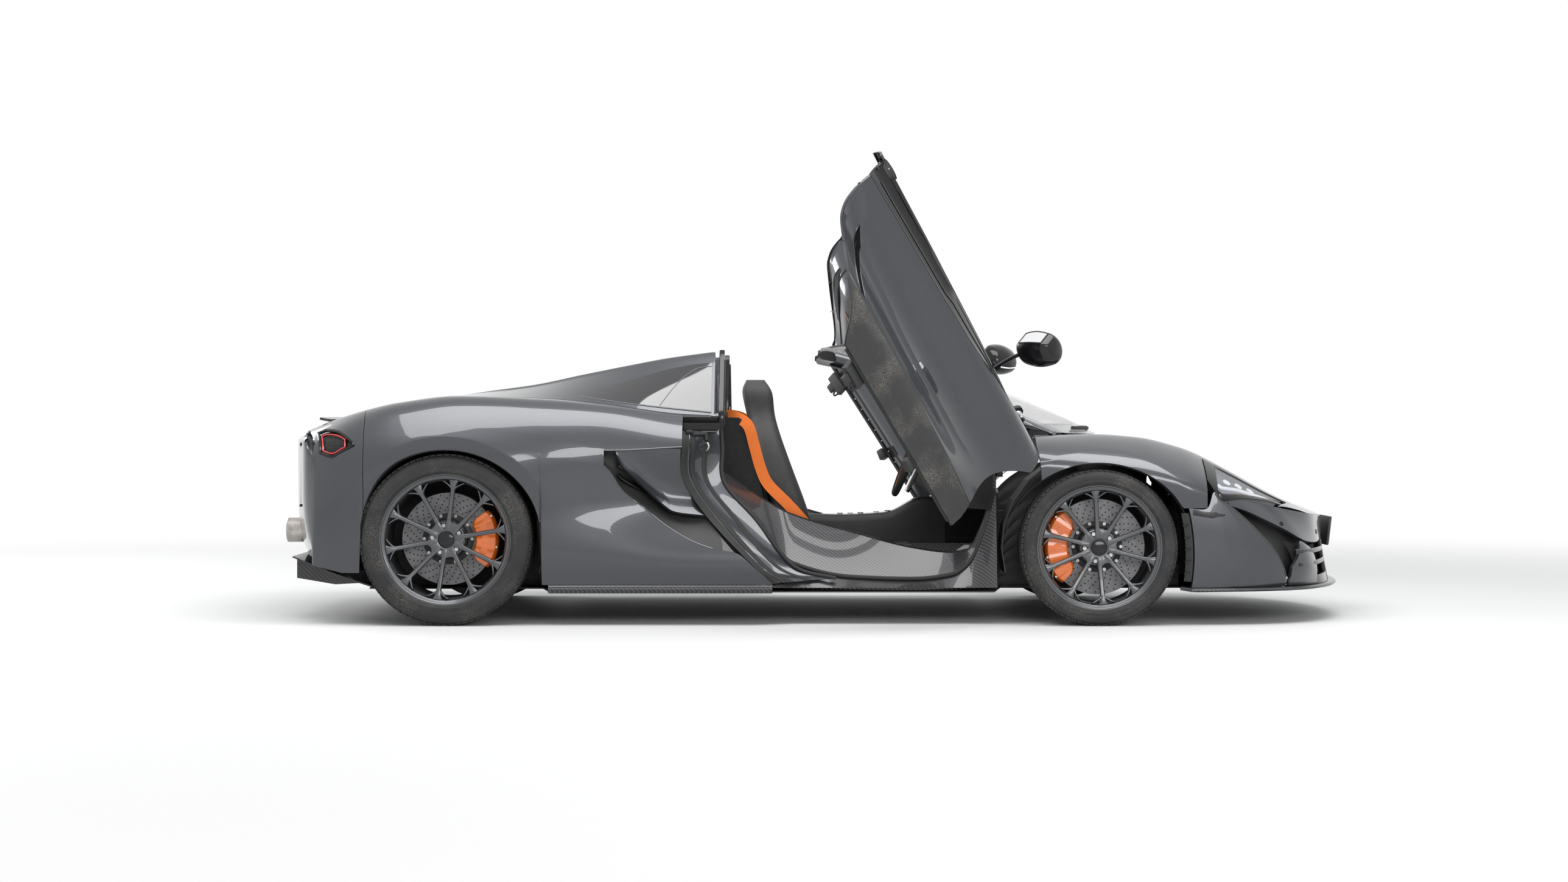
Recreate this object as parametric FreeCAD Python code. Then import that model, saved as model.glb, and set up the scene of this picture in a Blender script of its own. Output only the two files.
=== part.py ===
import FreeCAD, Part
import math
import os
from FreeCAD import Placement, Rotation, Vector

# Open two-seat sports car, roof stowed, both doors swung up. Millimetres.
# +X runs forward, +Y to the car's left, +Z up. The origin is on the ground at the middle of the plan.
# Pieces are made on the right side (Y below 0) or about the centre, then mirrored to the left.

# Driving dimensions
FRONT_OVERHANG = 1125.0
WHEELBASE = 2670.0
REAR_OVERHANG = 735.0
FRONT_AXLE_X = 1140.0
REAR_AXLE_X = FRONT_AXLE_X - WHEELBASE
NOSE_X = FRONT_AXLE_X + FRONT_OVERHANG
TAIL_X = REAR_AXLE_X - REAR_OVERHANG

FRONT_RIM_R = 256.0
FRONT_SIDEWALL = 63.0
FRONT_TYRE_R = FRONT_RIM_R + FRONT_SIDEWALL
FRONT_TYRE_W = 232.0
FRONT_WHEEL_Y = 836.0
FRONT_DISC_R = FRONT_RIM_R - 59.0
REAR_RIM_R = 269.0
REAR_SIDEWALL = 82.0
REAR_TYRE_R = REAR_RIM_R + REAR_SIDEWALL
REAR_TYRE_W = 292.0
REAR_WHEEL_Y = 806.0
REAR_DISC_R = REAR_RIM_R - 79.0
SPOKES = 10
SPOKE_W = 21.0
WHEEL_BOLTS = 5
BOLT_CIRCLE_R = 58.0
BOLT_HOLE_R = 7.0
RIM_INSET = 12.0
BEAD_DEPTH = 13.0
FLANGE_T = 7.0
HUB_BORE_R = 31.0
STUB_R = 26.0
DISC_THICK = 32.0
CALIPER_DEPTH = 78.0

# Flattened wheel arches: half width and rise above the axle
FRONT_ARCH_HALF = FRONT_TYRE_R + 66.0
FRONT_ARCH_RISE = FRONT_TYRE_R + 28.0
REAR_ARCH_HALF = REAR_TYRE_R + 41.0
REAR_ARCH_RISE = REAR_TYRE_R + 17.0
LINER_GAP = 5.0

PANEL_T = 3.0
GLASS_T = 5.0
FIXED_GAP = 0.8
SHUT_GAP = 6.0
FIT = 0.3
SHAFT_FIT = 0.06

DOOR_HINGE = Vector(841.0, -750.0, 828.5)
DOOR_AXIS = Vector(-0.2688, 0.7300, 0.6284)
DOOR_SWING = 64.5
DOOR_PIN_R = 9.0
DOOR_ALONG = Vector(DOOR_AXIS).normalize()
COLLAR_END = 84.0
COLLAR_R = 17.0
LID_HINGE_X = 1046.0
LID_HINGE_Z = 742.0
DECK_HINGE_Z = 838.0
HINGE_PIN_R = 6.0
HINGE_EYE_R = 11.0

WALL_T = 18.0
REAR_WALL_X = -421.0
FRONT_WALL_X = 730.0

# Stations are drawn for one size of car and moved with its axles and ends. Columns: drawn, placed.
DRAWN_NOSE_X = 2265.0
DRAWN_REAR_X = -1530.0
DRAWN_TAIL_X = -2265.0
AXLE_REACH = REAR_ARCH_HALF * 1.1
CABIN_REAR_X = -604.0
PLACES = (
    (DRAWN_TAIL_X, TAIL_X), (DRAWN_REAR_X - AXLE_REACH, REAR_AXLE_X - AXLE_REACH),
    (DRAWN_REAR_X + AXLE_REACH, REAR_AXLE_X + AXLE_REACH), (CABIN_REAR_X, CABIN_REAR_X),
    (FRONT_AXLE_X + AXLE_REACH, FRONT_AXLE_X + AXLE_REACH), (DRAWN_NOSE_X, NOSE_X),
)

STEER_HUB = Vector(395.0, -345.0, 690.0)
STEER_RAKE = 22.0
STEER_WHEEL_R = 178.0

# Cross sections of the body. Columns: station, then height on the centre line, then half width and
# height of the inner deck line, crest, shoulder, waist, belly and bottom edge.
BODY = (
    (-2265, 770, 500, 768, 690, 762, 790, 700, 822, 560, 815, 400, 780, 250),
    (-2200, 800, 560, 797, 725, 792, 850, 722, 885, 580, 880, 400, 845, 240),
    (-2036, 845, 590, 845, 780, 840, 912, 735, 938, 560, 928, 380, 895, 215),
    (-1877, 875, 610, 877, 815, 877, 938, 742, 950, 540, 942, 350, 905, 180),
    (-1750, 898, 620, 902, 832, 898, 950, 738, 953, 520, 947, 330, 908, 150),
    (-1500, 930, 635, 938, 850, 918, 958, 728, 952, 500, 948, 300, 912, 136),
    (-1126, 925, 650, 930, 842, 900, 942, 722, 930, 500, 938, 300, 905, 130),
    (-873, 905, 660, 905, 830, 878, 915, 715, 900, 500, 932, 290, 900, 130),
    (-560, 870, 670, 868, 818, 835, 900, 705, 852, 505, 930, 280, 900, 130),
    (0, 850, 670, 850, 812, 812, 900, 695, 838, 490, 930, 275, 898, 132),
    (450, 820, 660, 820, 805, 790, 905, 685, 852, 480, 925, 270, 895, 134),
    (750, 780, 620, 780, 780, 775, 915, 675, 880, 470, 915, 265, 890, 136),
    (884, 765, 560, 757, 765, 770, 922, 668, 905, 470, 910, 280, 890, 136),
    (1140, 752, 560, 752, 730, 777, 935, 660, 930, 480, 915, 300, 890, 136),
    (1320, 728, 560, 735, 715, 765, 932, 640, 930, 470, 910, 300, 885, 136),
    (1500, 690, 545, 700, 700, 722, 920, 600, 925, 460, 905, 290, 880, 136),
    (1750, 605, 500, 612, 680, 622, 885, 530, 905, 430, 890, 270, 860, 136),
    (1950, 520, 440, 530, 620, 538, 835, 492, 865, 400, 850, 260, 820, 136),
    (2150, 445, 350, 453, 545, 460, 740, 462, 770, 370, 760, 240, 730, 136),
    (2220, 415, 300, 422, 500, 432, 700, 438, 735, 340, 725, 230, 700, 136),
)
LINE_COUNT = 7
BLUNT_X = 2220.0
NOSE_BEND = 0.00042
NOSE_BEND_FROM = 1500.0
TAIL_BEND = 0.00020
TAIL_BEND_FROM = -1700.0


class Curve:
    """Smooth single-valued curve through (position, value) pairs that never overshoots them."""

    def __init__(self, pairs):
        self.xs = [float(p[0]) for p in pairs]
        self.ys = [float(p[1]) for p in pairs]
        gaps = [b - a for a, b in zip(self.xs, self.xs[1:])]
        rises = [(b - a) / g for a, b, g in zip(self.ys, self.ys[1:], gaps)]
        self.slopes = [rises[0]]
        for left, right in zip(rises, rises[1:]):
            if left * right <= 0:
                self.slopes.append(0.0)
            else:
                self.slopes.append(2 * left * right / (left + right))
        self.slopes.append(rises[-1])

    def __call__(self, x):
        if x <= self.xs[0]:
            return self.ys[0]
        if x >= self.xs[-1]:
            return self.ys[-1]
        i = 0
        while x > self.xs[i + 1]:
            i += 1
        h = self.xs[i + 1] - self.xs[i]
        t = (x - self.xs[i]) / h
        a = (1 + 2 * t) * (1 - t) ** 2
        b = t * (1 - t) ** 2 * h
        c = t * t * (3 - 2 * t)
        d = t * t * (t - 1) * h
        return a * self.ys[i] + b * self.slopes[i] + c * self.ys[i + 1] + d * self.slopes[i + 1]


def placed(s):
    """Where a drawn station lies on the car."""
    for (s0, x0), (s1, x1) in zip(PLACES, PLACES[1:]):
        if s <= s1 or s1 == PLACES[-1][0]:
            return x0 + (s - s0) * (x1 - x0) / (s1 - s0)


CENTRE_Z = Curve([(row[0], row[1]) for row in BODY])
LINE_Y = [Curve([(row[0], row[2 + 2 * k]) for row in BODY]) for k in range(LINE_COUNT - 1)]
LINE_Z = [Curve([(row[0], row[3 + 2 * k]) for row in BODY]) for k in range(LINE_COUNT - 1)]


def section(s):
    """Half width and height of each body line at station s, from the centre line to the bottom edge."""
    return [(0.0, CENTRE_Z(s))] + [(LINE_Y[k](s), LINE_Z[k](s)) for k in range(LINE_COUNT - 1)]


def body_point(s, u, side=-1):
    """Point on the body at station s and line parameter u (0 centre to 6 bottom edge)."""
    pts = section(s)
    u = min(max(u, 0.0), LINE_COUNT - 1.0)
    i = min(int(u), LINE_COUNT - 2)
    t = u - i
    p1, p2 = pts[i], pts[i + 1]
    p0 = pts[i - 1] if i > 0 else (-pts[1][0], pts[1][1])
    p3 = pts[i + 2] if i + 2 < LINE_COUNT else (2 * p2[0] - p1[0], 2 * p2[1] - p1[1])
    y, z = [
        0.5 * (2 * b + (c - a) * t + (2 * a - 5 * b + 4 * c - d) * t * t + (3 * b - a - 3 * c + d) * t ** 3)
        for a, b, c, d in zip(p0, p1, p2, p3)
    ]
    x = s
    if s > NOSE_BEND_FROM:
        x -= NOSE_BEND * ((s - NOSE_BEND_FROM) / (BLUNT_X - NOSE_BEND_FROM)) ** 1.5 * y * y
    if s < TAIL_BEND_FROM:
        x += TAIL_BEND * ((TAIL_BEND_FROM - s) / (TAIL_BEND_FROM - DRAWN_TAIL_X)) ** 1.5 * y * y
    return Vector(placed(x), side * y, z)


def flank_u(s, z, low=1.9):
    """Line parameter on the flank, below the crest, where the body has height z at station s."""
    a, b = low, LINE_COUNT - 1.0
    if z >= body_point(s, a).z:
        return a
    for _ in range(30):
        mid = (a + b) / 2
        if body_point(s, mid).z > z:
            a = mid
        else:
            b = mid
    return (a + b) / 2


def flank(s, z, side=-1):
    """Point on the body's flank at station s and height z."""
    return body_point(s, flank_u(s, z), side)


def mesh_solid(points, facets):
    """Closed solid from points and triangles, turned so that its faces look outwards."""
    volume = sum(points[a].dot(points[b].cross(points[c])) for a, b, c in facets)
    if volume < 0:
        facets = [(a, c, b) for a, b, c in facets]
    shell = Part.Shape()
    shell.makeShapeFromMesh((points, facets), 0.001)
    return Part.Solid(Part.Shell(shell.Faces))


def sheet(grid, thick, inward=Vector(0, 0, 400), cells=None):
    """Panel of even thickness under a grid of outer points.

    inward is a point on the panel's hidden side, and cells(i, j) says which cells exist.
    """
    rows, cols = len(grid), len(grid[0])
    middle = grid[rows // 2][cols // 2]
    normals = []
    for i in range(rows):
        line = []
        for j in range(cols):
            du = grid[min(i + 1, rows - 1)][j] - grid[max(i - 1, 0)][j]
            dv = grid[i][min(j + 1, cols - 1)] - grid[i][max(j - 1, 0)]
            normal = du.cross(dv)
            line.append(normal.normalize() if normal.Length > 1e-9 else Vector(0, 0, 1))
        normals.append(line)
    sign = 1 if normals[rows // 2][cols // 2].dot(inward - middle) > 0 else -1
    points = [p for line in grid for p in line]
    for i in range(rows):
        for j in range(cols):
            points.append(grid[i][j] + normals[i][j] * (sign * thick))
    under = rows * cols
    facets = []
    exists = {
        (i, j) for i in range(rows - 1) for j in range(cols - 1) if cells is None or cells(i, j)
    }
    for i, j in sorted(exists):
        a, b, c, d = i * cols + j, (i + 1) * cols + j, (i + 1) * cols + j + 1, i * cols + j + 1
        facets += [(a, b, c), (a, c, d)]
        facets += [(a + under, c + under, b + under), (a + under, d + under, c + under)]
        for p, q, beside in ((a, b, (i, j - 1)), (b, c, (i + 1, j)), (c, d, (i, j + 1)), (d, a, (i - 1, j))):
            if beside not in exists:
                facets += [(p, q + under, q), (p, p + under, q + under)]
    used = sorted({n for f in facets for n in f})
    place = {n: k for k, n in enumerate(used)}
    return mesh_solid([points[n] for n in used], [tuple(place[n] for n in f) for f in facets])


def rings(sections):
    """Solid through closed rings of points, with flat fans over the two ends."""
    count = len(sections[0])
    points = [p for ring in sections for p in ring]
    facets = []
    for i in range(len(sections) - 1):
        for j in range(count):
            k = (j + 1) % count
            a, b, c, d = i * count + j, i * count + k, (i + 1) * count + k, (i + 1) * count + j
            facets += [(a, b, c), (a, c, d)]
    last = (len(sections) - 1) * count
    for j in range(1, count - 1):
        facets += [(0, j + 1, j), (last, last + j, last + j + 1)]
    return mesh_solid(points, facets)


def tube(path, radius, sides=8):
    """Round bar along a path of points, mitred at its corners."""
    sections = []
    reference = Vector(0.13, 0.21, 1.0)
    for i, p in enumerate(path):
        before = path[i] - path[i - 1] if i else path[1] - path[0]
        after = path[i + 1] - path[i] if i + 1 < len(path) else before
        along = (Vector(before).normalize() + Vector(after).normalize()).normalize()
        across = along.cross(reference).normalize()
        up = across.cross(along)
        turns = [2 * math.pi * k / sides for k in range(sides)]
        sections.append([p + across * (radius * math.cos(t)) + up * (radius * math.sin(t)) for t in turns])
    return rings(sections)


def bar(a, b, radius):
    """Round bar with exact round faces from point a to point b."""
    return Part.makeCylinder(radius, (b - a).Length, a, b - a)


def bush(a, b, inner, outer):
    """Round sleeve from point a to point b."""
    return bar(a, b, outer).cut(bar(a - (b - a), b + (b - a), inner))


def box(low, high):
    """Plain box between two corners."""
    return Part.makeBox(high[0] - low[0], high[1] - low[1], high[2] - low[2], Vector(*low))


def prism(outline, y0, y1):
    """Solid with a side-view outline of (x, z) points from width y0 to width y1."""
    points = [Vector(x, y0, z) for x, z in outline]
    face = Part.Face(Part.makePolygon(points + points[:1]))
    return face.extrude(Vector(0, y1 - y0, 0))


def lathe(profile, centre):
    """Solid of a closed (radius, y) profile turned about an axle along Y through centre."""
    points = [Vector(centre[0] + r, centre[1] + y, centre[2]) for r, y in profile]
    face = Part.Face(Part.makePolygon(points + points[:1]))
    return face.revolve(Vector(*centre), Vector(0, 1, 0), 360)


def between(a, b, t):
    """Point a fraction t of the way from a to b."""
    return a + (b - a) * t


def span(low, high, steps):
    """Evenly spaced values from low to high."""
    return [low + (high - low) * i / steps for i in range(steps + 1)]


def ruled(first, second, steps):
    """Grid of points between two curves of as many points."""
    return [[between(a, b, i / steps) for a, b in zip(first, second)] for i in range(steps + 1)]


def mirrored(shape):
    """The same piece on the other side of the car."""
    return shape.mirror(Vector(0, 0, 0), Vector(0, 1, 0))


def both(*shapes):
    """Right-hand pieces with their left-hand mirror images."""
    return list(shapes) + [mirrored(shape) for shape in shapes]


NODES = {}
HINGES = []


def add(name, shapes):
    """Keep one or more solids that do not touch as one named piece."""
    shapes = shapes if isinstance(shapes, list) else [shapes]
    NODES[name] = shapes[0] if len(shapes) == 1 else Part.makeCompound(shapes)


# Wheels

def tyre(radius, width, rim_r, centre):
    """Low-profile road tyre with square shoulders, seated on the rim's beads."""
    half = width / 2
    flange = half - RIM_INSET
    seat = rim_r - BEAD_DEPTH + FIT
    outer_half = [
        (radius, half - 34), (radius - 9, half - 12), (radius - 30, half), (rim_r + 24, half - 1),
        (rim_r + 5, half - 5), (rim_r + FIT, flange - 1), (rim_r + FIT, flange - FLANGE_T - FIT),
        (seat, flange - 12 - FIT), (seat, half - 44), (radius - 16, half - 28),
    ]
    profile = outer_half + [(r, -y) for r, y in reversed(outer_half)]
    return lathe(profile, centre)


def window(inner_r, outer_r, width, centre):
    """Opening between two straight spokes, cut through the wheel's face."""
    half_turn = math.pi / SPOKES
    points = []
    for r in (inner_r, outer_r):
        half = half_turn - math.asin(width / 2 / r)
        points.append((r, -half))
        points.append((r, half))
    order = [points[0], points[2], (outer_r * 1.012, 0.0), points[3], points[1]]
    corners = [Vector(centre[0] + r * math.cos(a), centre[1] - 150, centre[2] + r * math.sin(a)) for r, a in order]
    face = Part.Face(Part.makePolygon(corners + corners[:1]))
    return face.extrude(Vector(0, 300, 0))


def rim(rim_r, width, centre, side, turn):
    """Ten-spoke wheel: barrel, dished face, hub with bolt holes between spokes and a centre bore."""
    half = width / 2 - RIM_INSET
    seat_r = rim_r - BEAD_DEPTH
    well_r = seat_r - 11
    inside_r = well_r - 7
    profile = [
        (rim_r, half), (rim_r, half - FLANGE_T), (seat_r, half - 12), (seat_r, half - 38), (well_r, half - 56),
        (well_r, -half + 56), (seat_r, -half + 38), (seat_r, -half + 12), (rim_r, -half + FLANGE_T), (rim_r, -half),
        (seat_r - 7, -half), (seat_r - 7, -half + 30), (inside_r, -half + 56), (inside_r, half - 62),
        (inside_r - 2, half - 46), (80, half - 68), (HUB_BORE_R, half - 74), (HUB_BORE_R, half - 36),
        (84, half - 30), (seat_r - 12, half - 10), (seat_r - 6, half),
    ]
    body = lathe([(r, side * y) for r, y in profile], centre)
    cutter = window(92, inside_r - 3, SPOKE_W, centre)
    cutters = []
    for k in range(SPOKES):
        cut = cutter.copy()
        cut.rotate(Vector(*centre), Vector(0, 1, 0), -turn - 360.0 * (k + 0.5) / SPOKES)
        cutters.append(cut)
    keep = lathe([(0, side * (half - 90)), (inside_r, side * (half - 90)), (inside_r, side * (half + 5)),
                  (0, side * (half + 5))], centre)
    cutters = [c.common(keep) for c in cutters]
    for k in range(WHEEL_BOLTS):
        a = math.radians(turn + 180.0 / SPOKES + 360.0 * k / WHEEL_BOLTS)
        at = Vector(centre[0] + BOLT_CIRCLE_R * math.cos(a), centre[1] - 150, centre[2] + BOLT_CIRCLE_R * math.sin(a))
        cutters.append(Part.makeCylinder(BOLT_HOLE_R, 300, at, Vector(0, 1, 0)))
    return body.cut(Part.makeCompound(cutters))


def disc(disc_r, width, centre, side):
    """Brake disc with its bell, hub flange, wheel spigot and stub shaft."""
    half = width / 2 - 12
    face = half - 74 - FIT
    profile = [
        (0, face + 30), (HUB_BORE_R - 1, face + 30), (HUB_BORE_R - 1, face), (78, face), (78, face - 34),
        (disc_r, face - 34), (disc_r, face - 34 - DISC_THICK), (72, face - 34 - DISC_THICK), (66, face - 10),
        (STUB_R, face - 10), (STUB_R, face - 118), (0, face - 118),
    ]
    return lathe([(r, side * y) for r, y in profile], centre)


def upright(width, centre, disc_r, side, steered):
    """Hub carrier: bearing sleeve with arms to the ball joints, the track rod and the caliper."""
    outer_end, inner_end = bearing_faces(width)
    y0 = centre[1] + side * outer_end
    y1 = centre[1] + side * inner_end
    sleeve = bush(Vector(centre[0], y0, centre[2]), Vector(centre[0], y1, centre[2]), STUB_R + SHAFT_FIT, 46)
    low, high = min(y0, y1), max(y0, y1)
    upper = box((centre[0] - 24, low, centre[2] + 38), (centre[0] + 24, high, centre[2] + 150))
    lower = box((centre[0] - 24, low, centre[2] - 150), (centre[0] + 24, high, centre[2] - 38))
    ahead = box((centre[0] + 40, low, centre[2] - 22), (centre[0] + 128, high, centre[2] + 22))
    behind = box((centre[0] - 128, low, centre[2] - 22), (centre[0] - 40, high, centre[2] + 22))
    rod_arm, caliper_arm = (ahead, behind) if steered else (behind, ahead)
    at = Vector(centre[0], low - 5, centre[2])
    seat = bar(at, at + Vector(0, high - low + 10, 0), disc_r - CALIPER_DEPTH - FIT)
    return sleeve.fuse([upper, lower, rod_arm, caliper_arm.common(seat)]).removeSplitter()


def caliper(disc_r, width, centre, side, middle_turn, spread):
    """Brake caliper that straddles the disc over part of a turn, about an angle from the front upwards."""
    half = width / 2 - 12
    face = half - 74 - FIT
    middle = face - 34 - DISC_THICK / 2
    inner, outer = disc_r - CALIPER_DEPTH, disc_r + 19
    wall = 30
    slot = DISC_THICK / 2 + 5.5
    profile = [
        (inner, middle - slot - wall), (outer, middle - slot - wall), (outer, middle + slot + wall - 8),
        (inner, middle + slot + wall - 8), (inner, middle + slot), (disc_r + 6, middle + slot),
        (disc_r + 6, middle - slot), (inner, middle - slot),
    ]
    points = [Vector(centre[0] + r, centre[1] + side * y, centre[2]) for r, y in profile]
    face_shape = Part.Face(Part.makePolygon(points + points[:1]))
    body = face_shape.revolve(Vector(*centre), Vector(0, 1, 0), spread)
    body.rotate(Vector(*centre), Vector(0, 1, 0), -spread / 2 - middle_turn)
    return body


WHEELS = {
    # name: (axle x, centre y, tyre radius, tyre width, rim radius, disc radius)
    "front": (FRONT_AXLE_X, FRONT_WHEEL_Y, FRONT_TYRE_R, FRONT_TYRE_W, FRONT_RIM_R, FRONT_DISC_R),
    "rear": (REAR_AXLE_X, REAR_WHEEL_Y, REAR_TYRE_R, REAR_TYRE_W, REAR_RIM_R, REAR_DISC_R),
}
# Degrees from the front upwards: turn of the first spoke, middle and spread of the caliper.
WHEEL_TURNS = {"front": (22.0, 187.0, 84.0), "rear": (10.0, 0.0, 72.0)}


def make_wheels():
    """Tyre, rim and disc for each corner, with the calipers and the steered hub carriers."""
    for end, (x, y, tyre_r, tyre_w, rim_r, disc_r) in WHEELS.items():
        for name, side in (("right", -1), ("left", 1)):
            centre = (x, side * y, tyre_r)
            add(f"tyre_{end}_{name}", tyre(tyre_r, tyre_w, rim_r, centre))
            add(f"rim_{end}_{name}", rim(rim_r, tyre_w, centre, side, WHEEL_TURNS[end][0]))
            add(f"disc_{end}_{name}", disc(disc_r, tyre_w, centre, side))
    for name, side in (("right", -1), ("left", 1)):
        centre = (FRONT_AXLE_X, side * FRONT_WHEEL_Y, FRONT_TYRE_R)
        add(f"knuckle_{name}", upright(FRONT_TYRE_W, centre, FRONT_DISC_R, side, True))
        add(f"caliper_front_{name}", caliper(FRONT_DISC_R, FRONT_TYRE_W, centre, side, *WHEEL_TURNS["front"][1:]))
    centre = (REAR_AXLE_X, -REAR_WHEEL_Y, REAR_TYRE_R)
    add("rear_calipers", both(caliper(REAR_DISC_R, REAR_TYRE_W, centre, -1, *WHEEL_TURNS["rear"][1:])))


# Running gear on the body

# Subframe rails. Columns: outer half width, rear x, front x of the lower and of the upper rail.
RAILS = {
    "front": (430.0, FRONT_WALL_X + WALL_T + FIT, placed(1960)),
    "rear": (372.0, placed(-1850), REAR_WALL_X - WALL_T - FIT),
}
RAIL_W = 44.0
ARM_SPREAD = 150.0
ARM_HALF_Z = 112.0
ARM_R = 13.0
CRASH_BEAM_X = placed(-2120)
TOW_SOCKET_R = 8.0
TOW_SOCKET_DEPTH = 40.0
TOW_OPENING_R = 15.0
TOW_SOCKET = Vector(RAILS["front"][2], -RAILS["front"][0] + RAIL_W / 2, FRONT_TYRE_R - ARM_HALF_Z)
EXHAUST_Y = 452.0
EXHAUST_Z = 372.0
EXHAUST_R = 52.0
DECK_ARM_Y = 470.0
DECK_HINGE_X = placed(-1975)


def bearing_faces(width):
    """Distances from the wheel's middle plane to the two ends of its bearing sleeve."""
    face = width / 2 - 12 - 74 - FIT
    return face - 34 - DISC_THICK - 6, face - 116


def make_suspension():
    """Subframe rails that carry the wishbones and spring struts, and the steering rack."""
    for end, (x, y, tyre_r, tyre_w, _, disc_r) in WHEELS.items():
        inner, rail_rear, rail_front = RAILS[end]
        outer = y + bearing_faces(tyre_w)[1]
        joint_y = -outer + FIT
        parts = []
        for sign in (1, -1):
            z = tyre_r + sign * ARM_HALF_Z
            rail = box((rail_rear, -inner, z - 22), (rail_front, -inner + RAIL_W, z + 22))
            arm = tube([Vector(x - ARM_SPREAD, -inner + 8, z), Vector(x, joint_y + ARM_R, z),
                        Vector(x + ARM_SPREAD, -inner + 8, z)], ARM_R, 6)
            parts.append((rail, arm))
        post_x = x - 20
        top_z = COWL_LOW_Z - FIT if end == "front" else tyre_r + 330
        post = box((post_x - 24, -inner, tyre_r - ARM_HALF_Z + 20), (post_x + 24, -inner + RAIL_W, top_z))
        strut = bar(Vector(post_x, -inner - 118, tyre_r - ARM_HALF_Z + 4), Vector(post_x, -inner + 10, top_z - 12), 30)
        frame = parts[0][0].fuse([parts[0][1], parts[1][0], parts[1][1], post, strut])
        pieces = [frame.removeSplitter()]
        across = box((x - 230, -inner + RAIL_W - 1, tyre_r - ARM_HALF_Z - 22),
                     (x - 180, inner - RAIL_W + 1, tyre_r - ARM_HALF_Z + 22))
        whole = pieces[0].fuse([mirrored(pieces[0]), across])
        upper_z = tyre_r + ARM_HALF_Z
        if end == "rear":
            rear_end = box((CRASH_BEAM_X, -inner, upper_z - 22), (rail_rear + 1, -inner + RAIL_W, upper_z + 22))
            stand = box((DECK_HINGE_X - 24, -DECK_ARM_Y - 24, upper_z - 22), (DECK_HINGE_X + 24, -inner + 1, upper_z + 22))
            post = box((DECK_HINGE_X - 24, -DECK_ARM_Y - 24, upper_z - 22),
                       (DECK_HINGE_X + 24, -DECK_ARM_Y + 24, DECK_HINGE_Z - 50 - 6 - FIT))
            beam = box((CRASH_BEAM_X - 40, -500, EXHAUST_Z + EXHAUST_R + FIT), (CRASH_BEAM_X, 500, upper_z + 22))
            whole = whole.fuse(both(rear_end, stand, post) + [beam])
        else:
            whole = whole.cut(bar(TOW_SOCKET - Vector(TOW_SOCKET_DEPTH, 0, 0), TOW_SOCKET + Vector(5, 0, 0), TOW_SOCKET_R))
        if end == "front":
            rack = bar(Vector(x + 178, -inner - 120, tyre_r + 4), Vector(x + 178, inner + 120, tyre_r + 4), 24)
            brackets = [box((x + 160, side * (inner - 30) - 14, tyre_r - ARM_HALF_Z), (x + 196, side * (inner - 30) + 14,
                        tyre_r + 4)) for side in (-1, 1)]
            whole = whole.fuse([rack] + brackets)
        else:
            carrier = upright(tyre_w, (x, -y, tyre_r), disc_r, -1, False)
            whole = [whole.removeSplitter()] + both(carrier)
        add(f"{end}_suspension", whole if isinstance(whole, list) else whole.removeSplitter())


# Body shell

# name: (drawn axle station, axle height, arch half width, arch rise)
ARCHES = {
    "front": (FRONT_AXLE_X, FRONT_TYRE_R, FRONT_ARCH_HALF, FRONT_ARCH_RISE),
    "rear": (DRAWN_REAR_X, REAR_TYRE_R, REAR_ARCH_HALF, REAR_ARCH_RISE),
}


def arch_z(s, end, floor):
    """Height of the wheel arch's lip at station s, or floor outside it."""
    axle_s, axle_z, half, rise = ARCHES[end]
    d = 1 - ((s - axle_s) / half) ** 2
    return max(floor, axle_z + rise * math.sqrt(d)) if d > 0 else floor


FENDER_REAR_S = 902.0
DOOR_EDGE_HIGH = Curve([(590, 899), (640, 895), (700, 890), (790, 884)])
FENDER_FRONT_S = 1600.0
LAMP_TOP_U = 2.1
LAMP_BOTTOM_Z = Curve([(1600, 596), (1650, 540), (1700, 508), (1800, 514), (1950, 505), (2080, 480)])
LAMP_FRONT_S = 2066.0
LID_EDGE_U = 1.45
LID_FRONT_S = 2070.0
LID_CORNER_X = 1062.0
LID_BOW = 188.0
LID_T = 16.0
LID_ARM_Y = 594.0
COWL_TROUGH_Z = 692.0
COWL_LOW_Z = 664.0
FENDER_LOW_Z = 480.0


def make_front_fenders():
    """Front wings from the windscreen's foot to the nose, cut by the wheel arch and the lamp."""
    stations = span(FENDER_REAR_S, 1150, 5) + span(1200, 1460, 6) + [1500, 1550, FENDER_FRONT_S - FIXED_GAP]
    strip = span(FENDER_FRONT_S, LID_FRONT_S, 6)
    gap_u = 0.012
    grid = []
    for s in stations + strip:
        edge_u = LAMP_TOP_U - 0.004
        line_u = [LID_EDGE_U + gap_u, 1.75, edge_u]
        low = arch_z(s, "front", FENDER_LOW_Z) if s < FENDER_FRONT_S else FENDER_LOW_Z
        u_low = flank_u(s, low)
        line_u += [edge_u + (u_low - edge_u) * t for t in (0.3, 0.65, 1.0)]
        line = [body_point(s, u) for u in line_u]
        if s == FENDER_REAR_S:
            line = [body_point(DOOR_EDGE_HIGH(p.z) + SHUT_GAP, u) for p, u in zip(line, line_u)]
        grid.append(line)
    cut = len(stations) - 1
    fender = sheet(grid, PANEL_T, cells=lambda i, j: i < cut or j < 2)
    add("front_fenders", both(fender))


def make_headlamps():
    """Lamp pods in the corners of the nose."""
    grid = []
    for s in span(FENDER_FRONT_S + 6, LAMP_FRONT_S, 8):
        u_low = flank_u(s, LAMP_BOTTOM_Z(s) + 5)
        grid.append([body_point(s, LAMP_TOP_U + (u_low - LAMP_TOP_U) * t) for t in (0, 0.33, 0.66, 1)])
    add("headlamps", both(sheet(grid, 26, inward=Vector(1500, 0, 300))))


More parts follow.
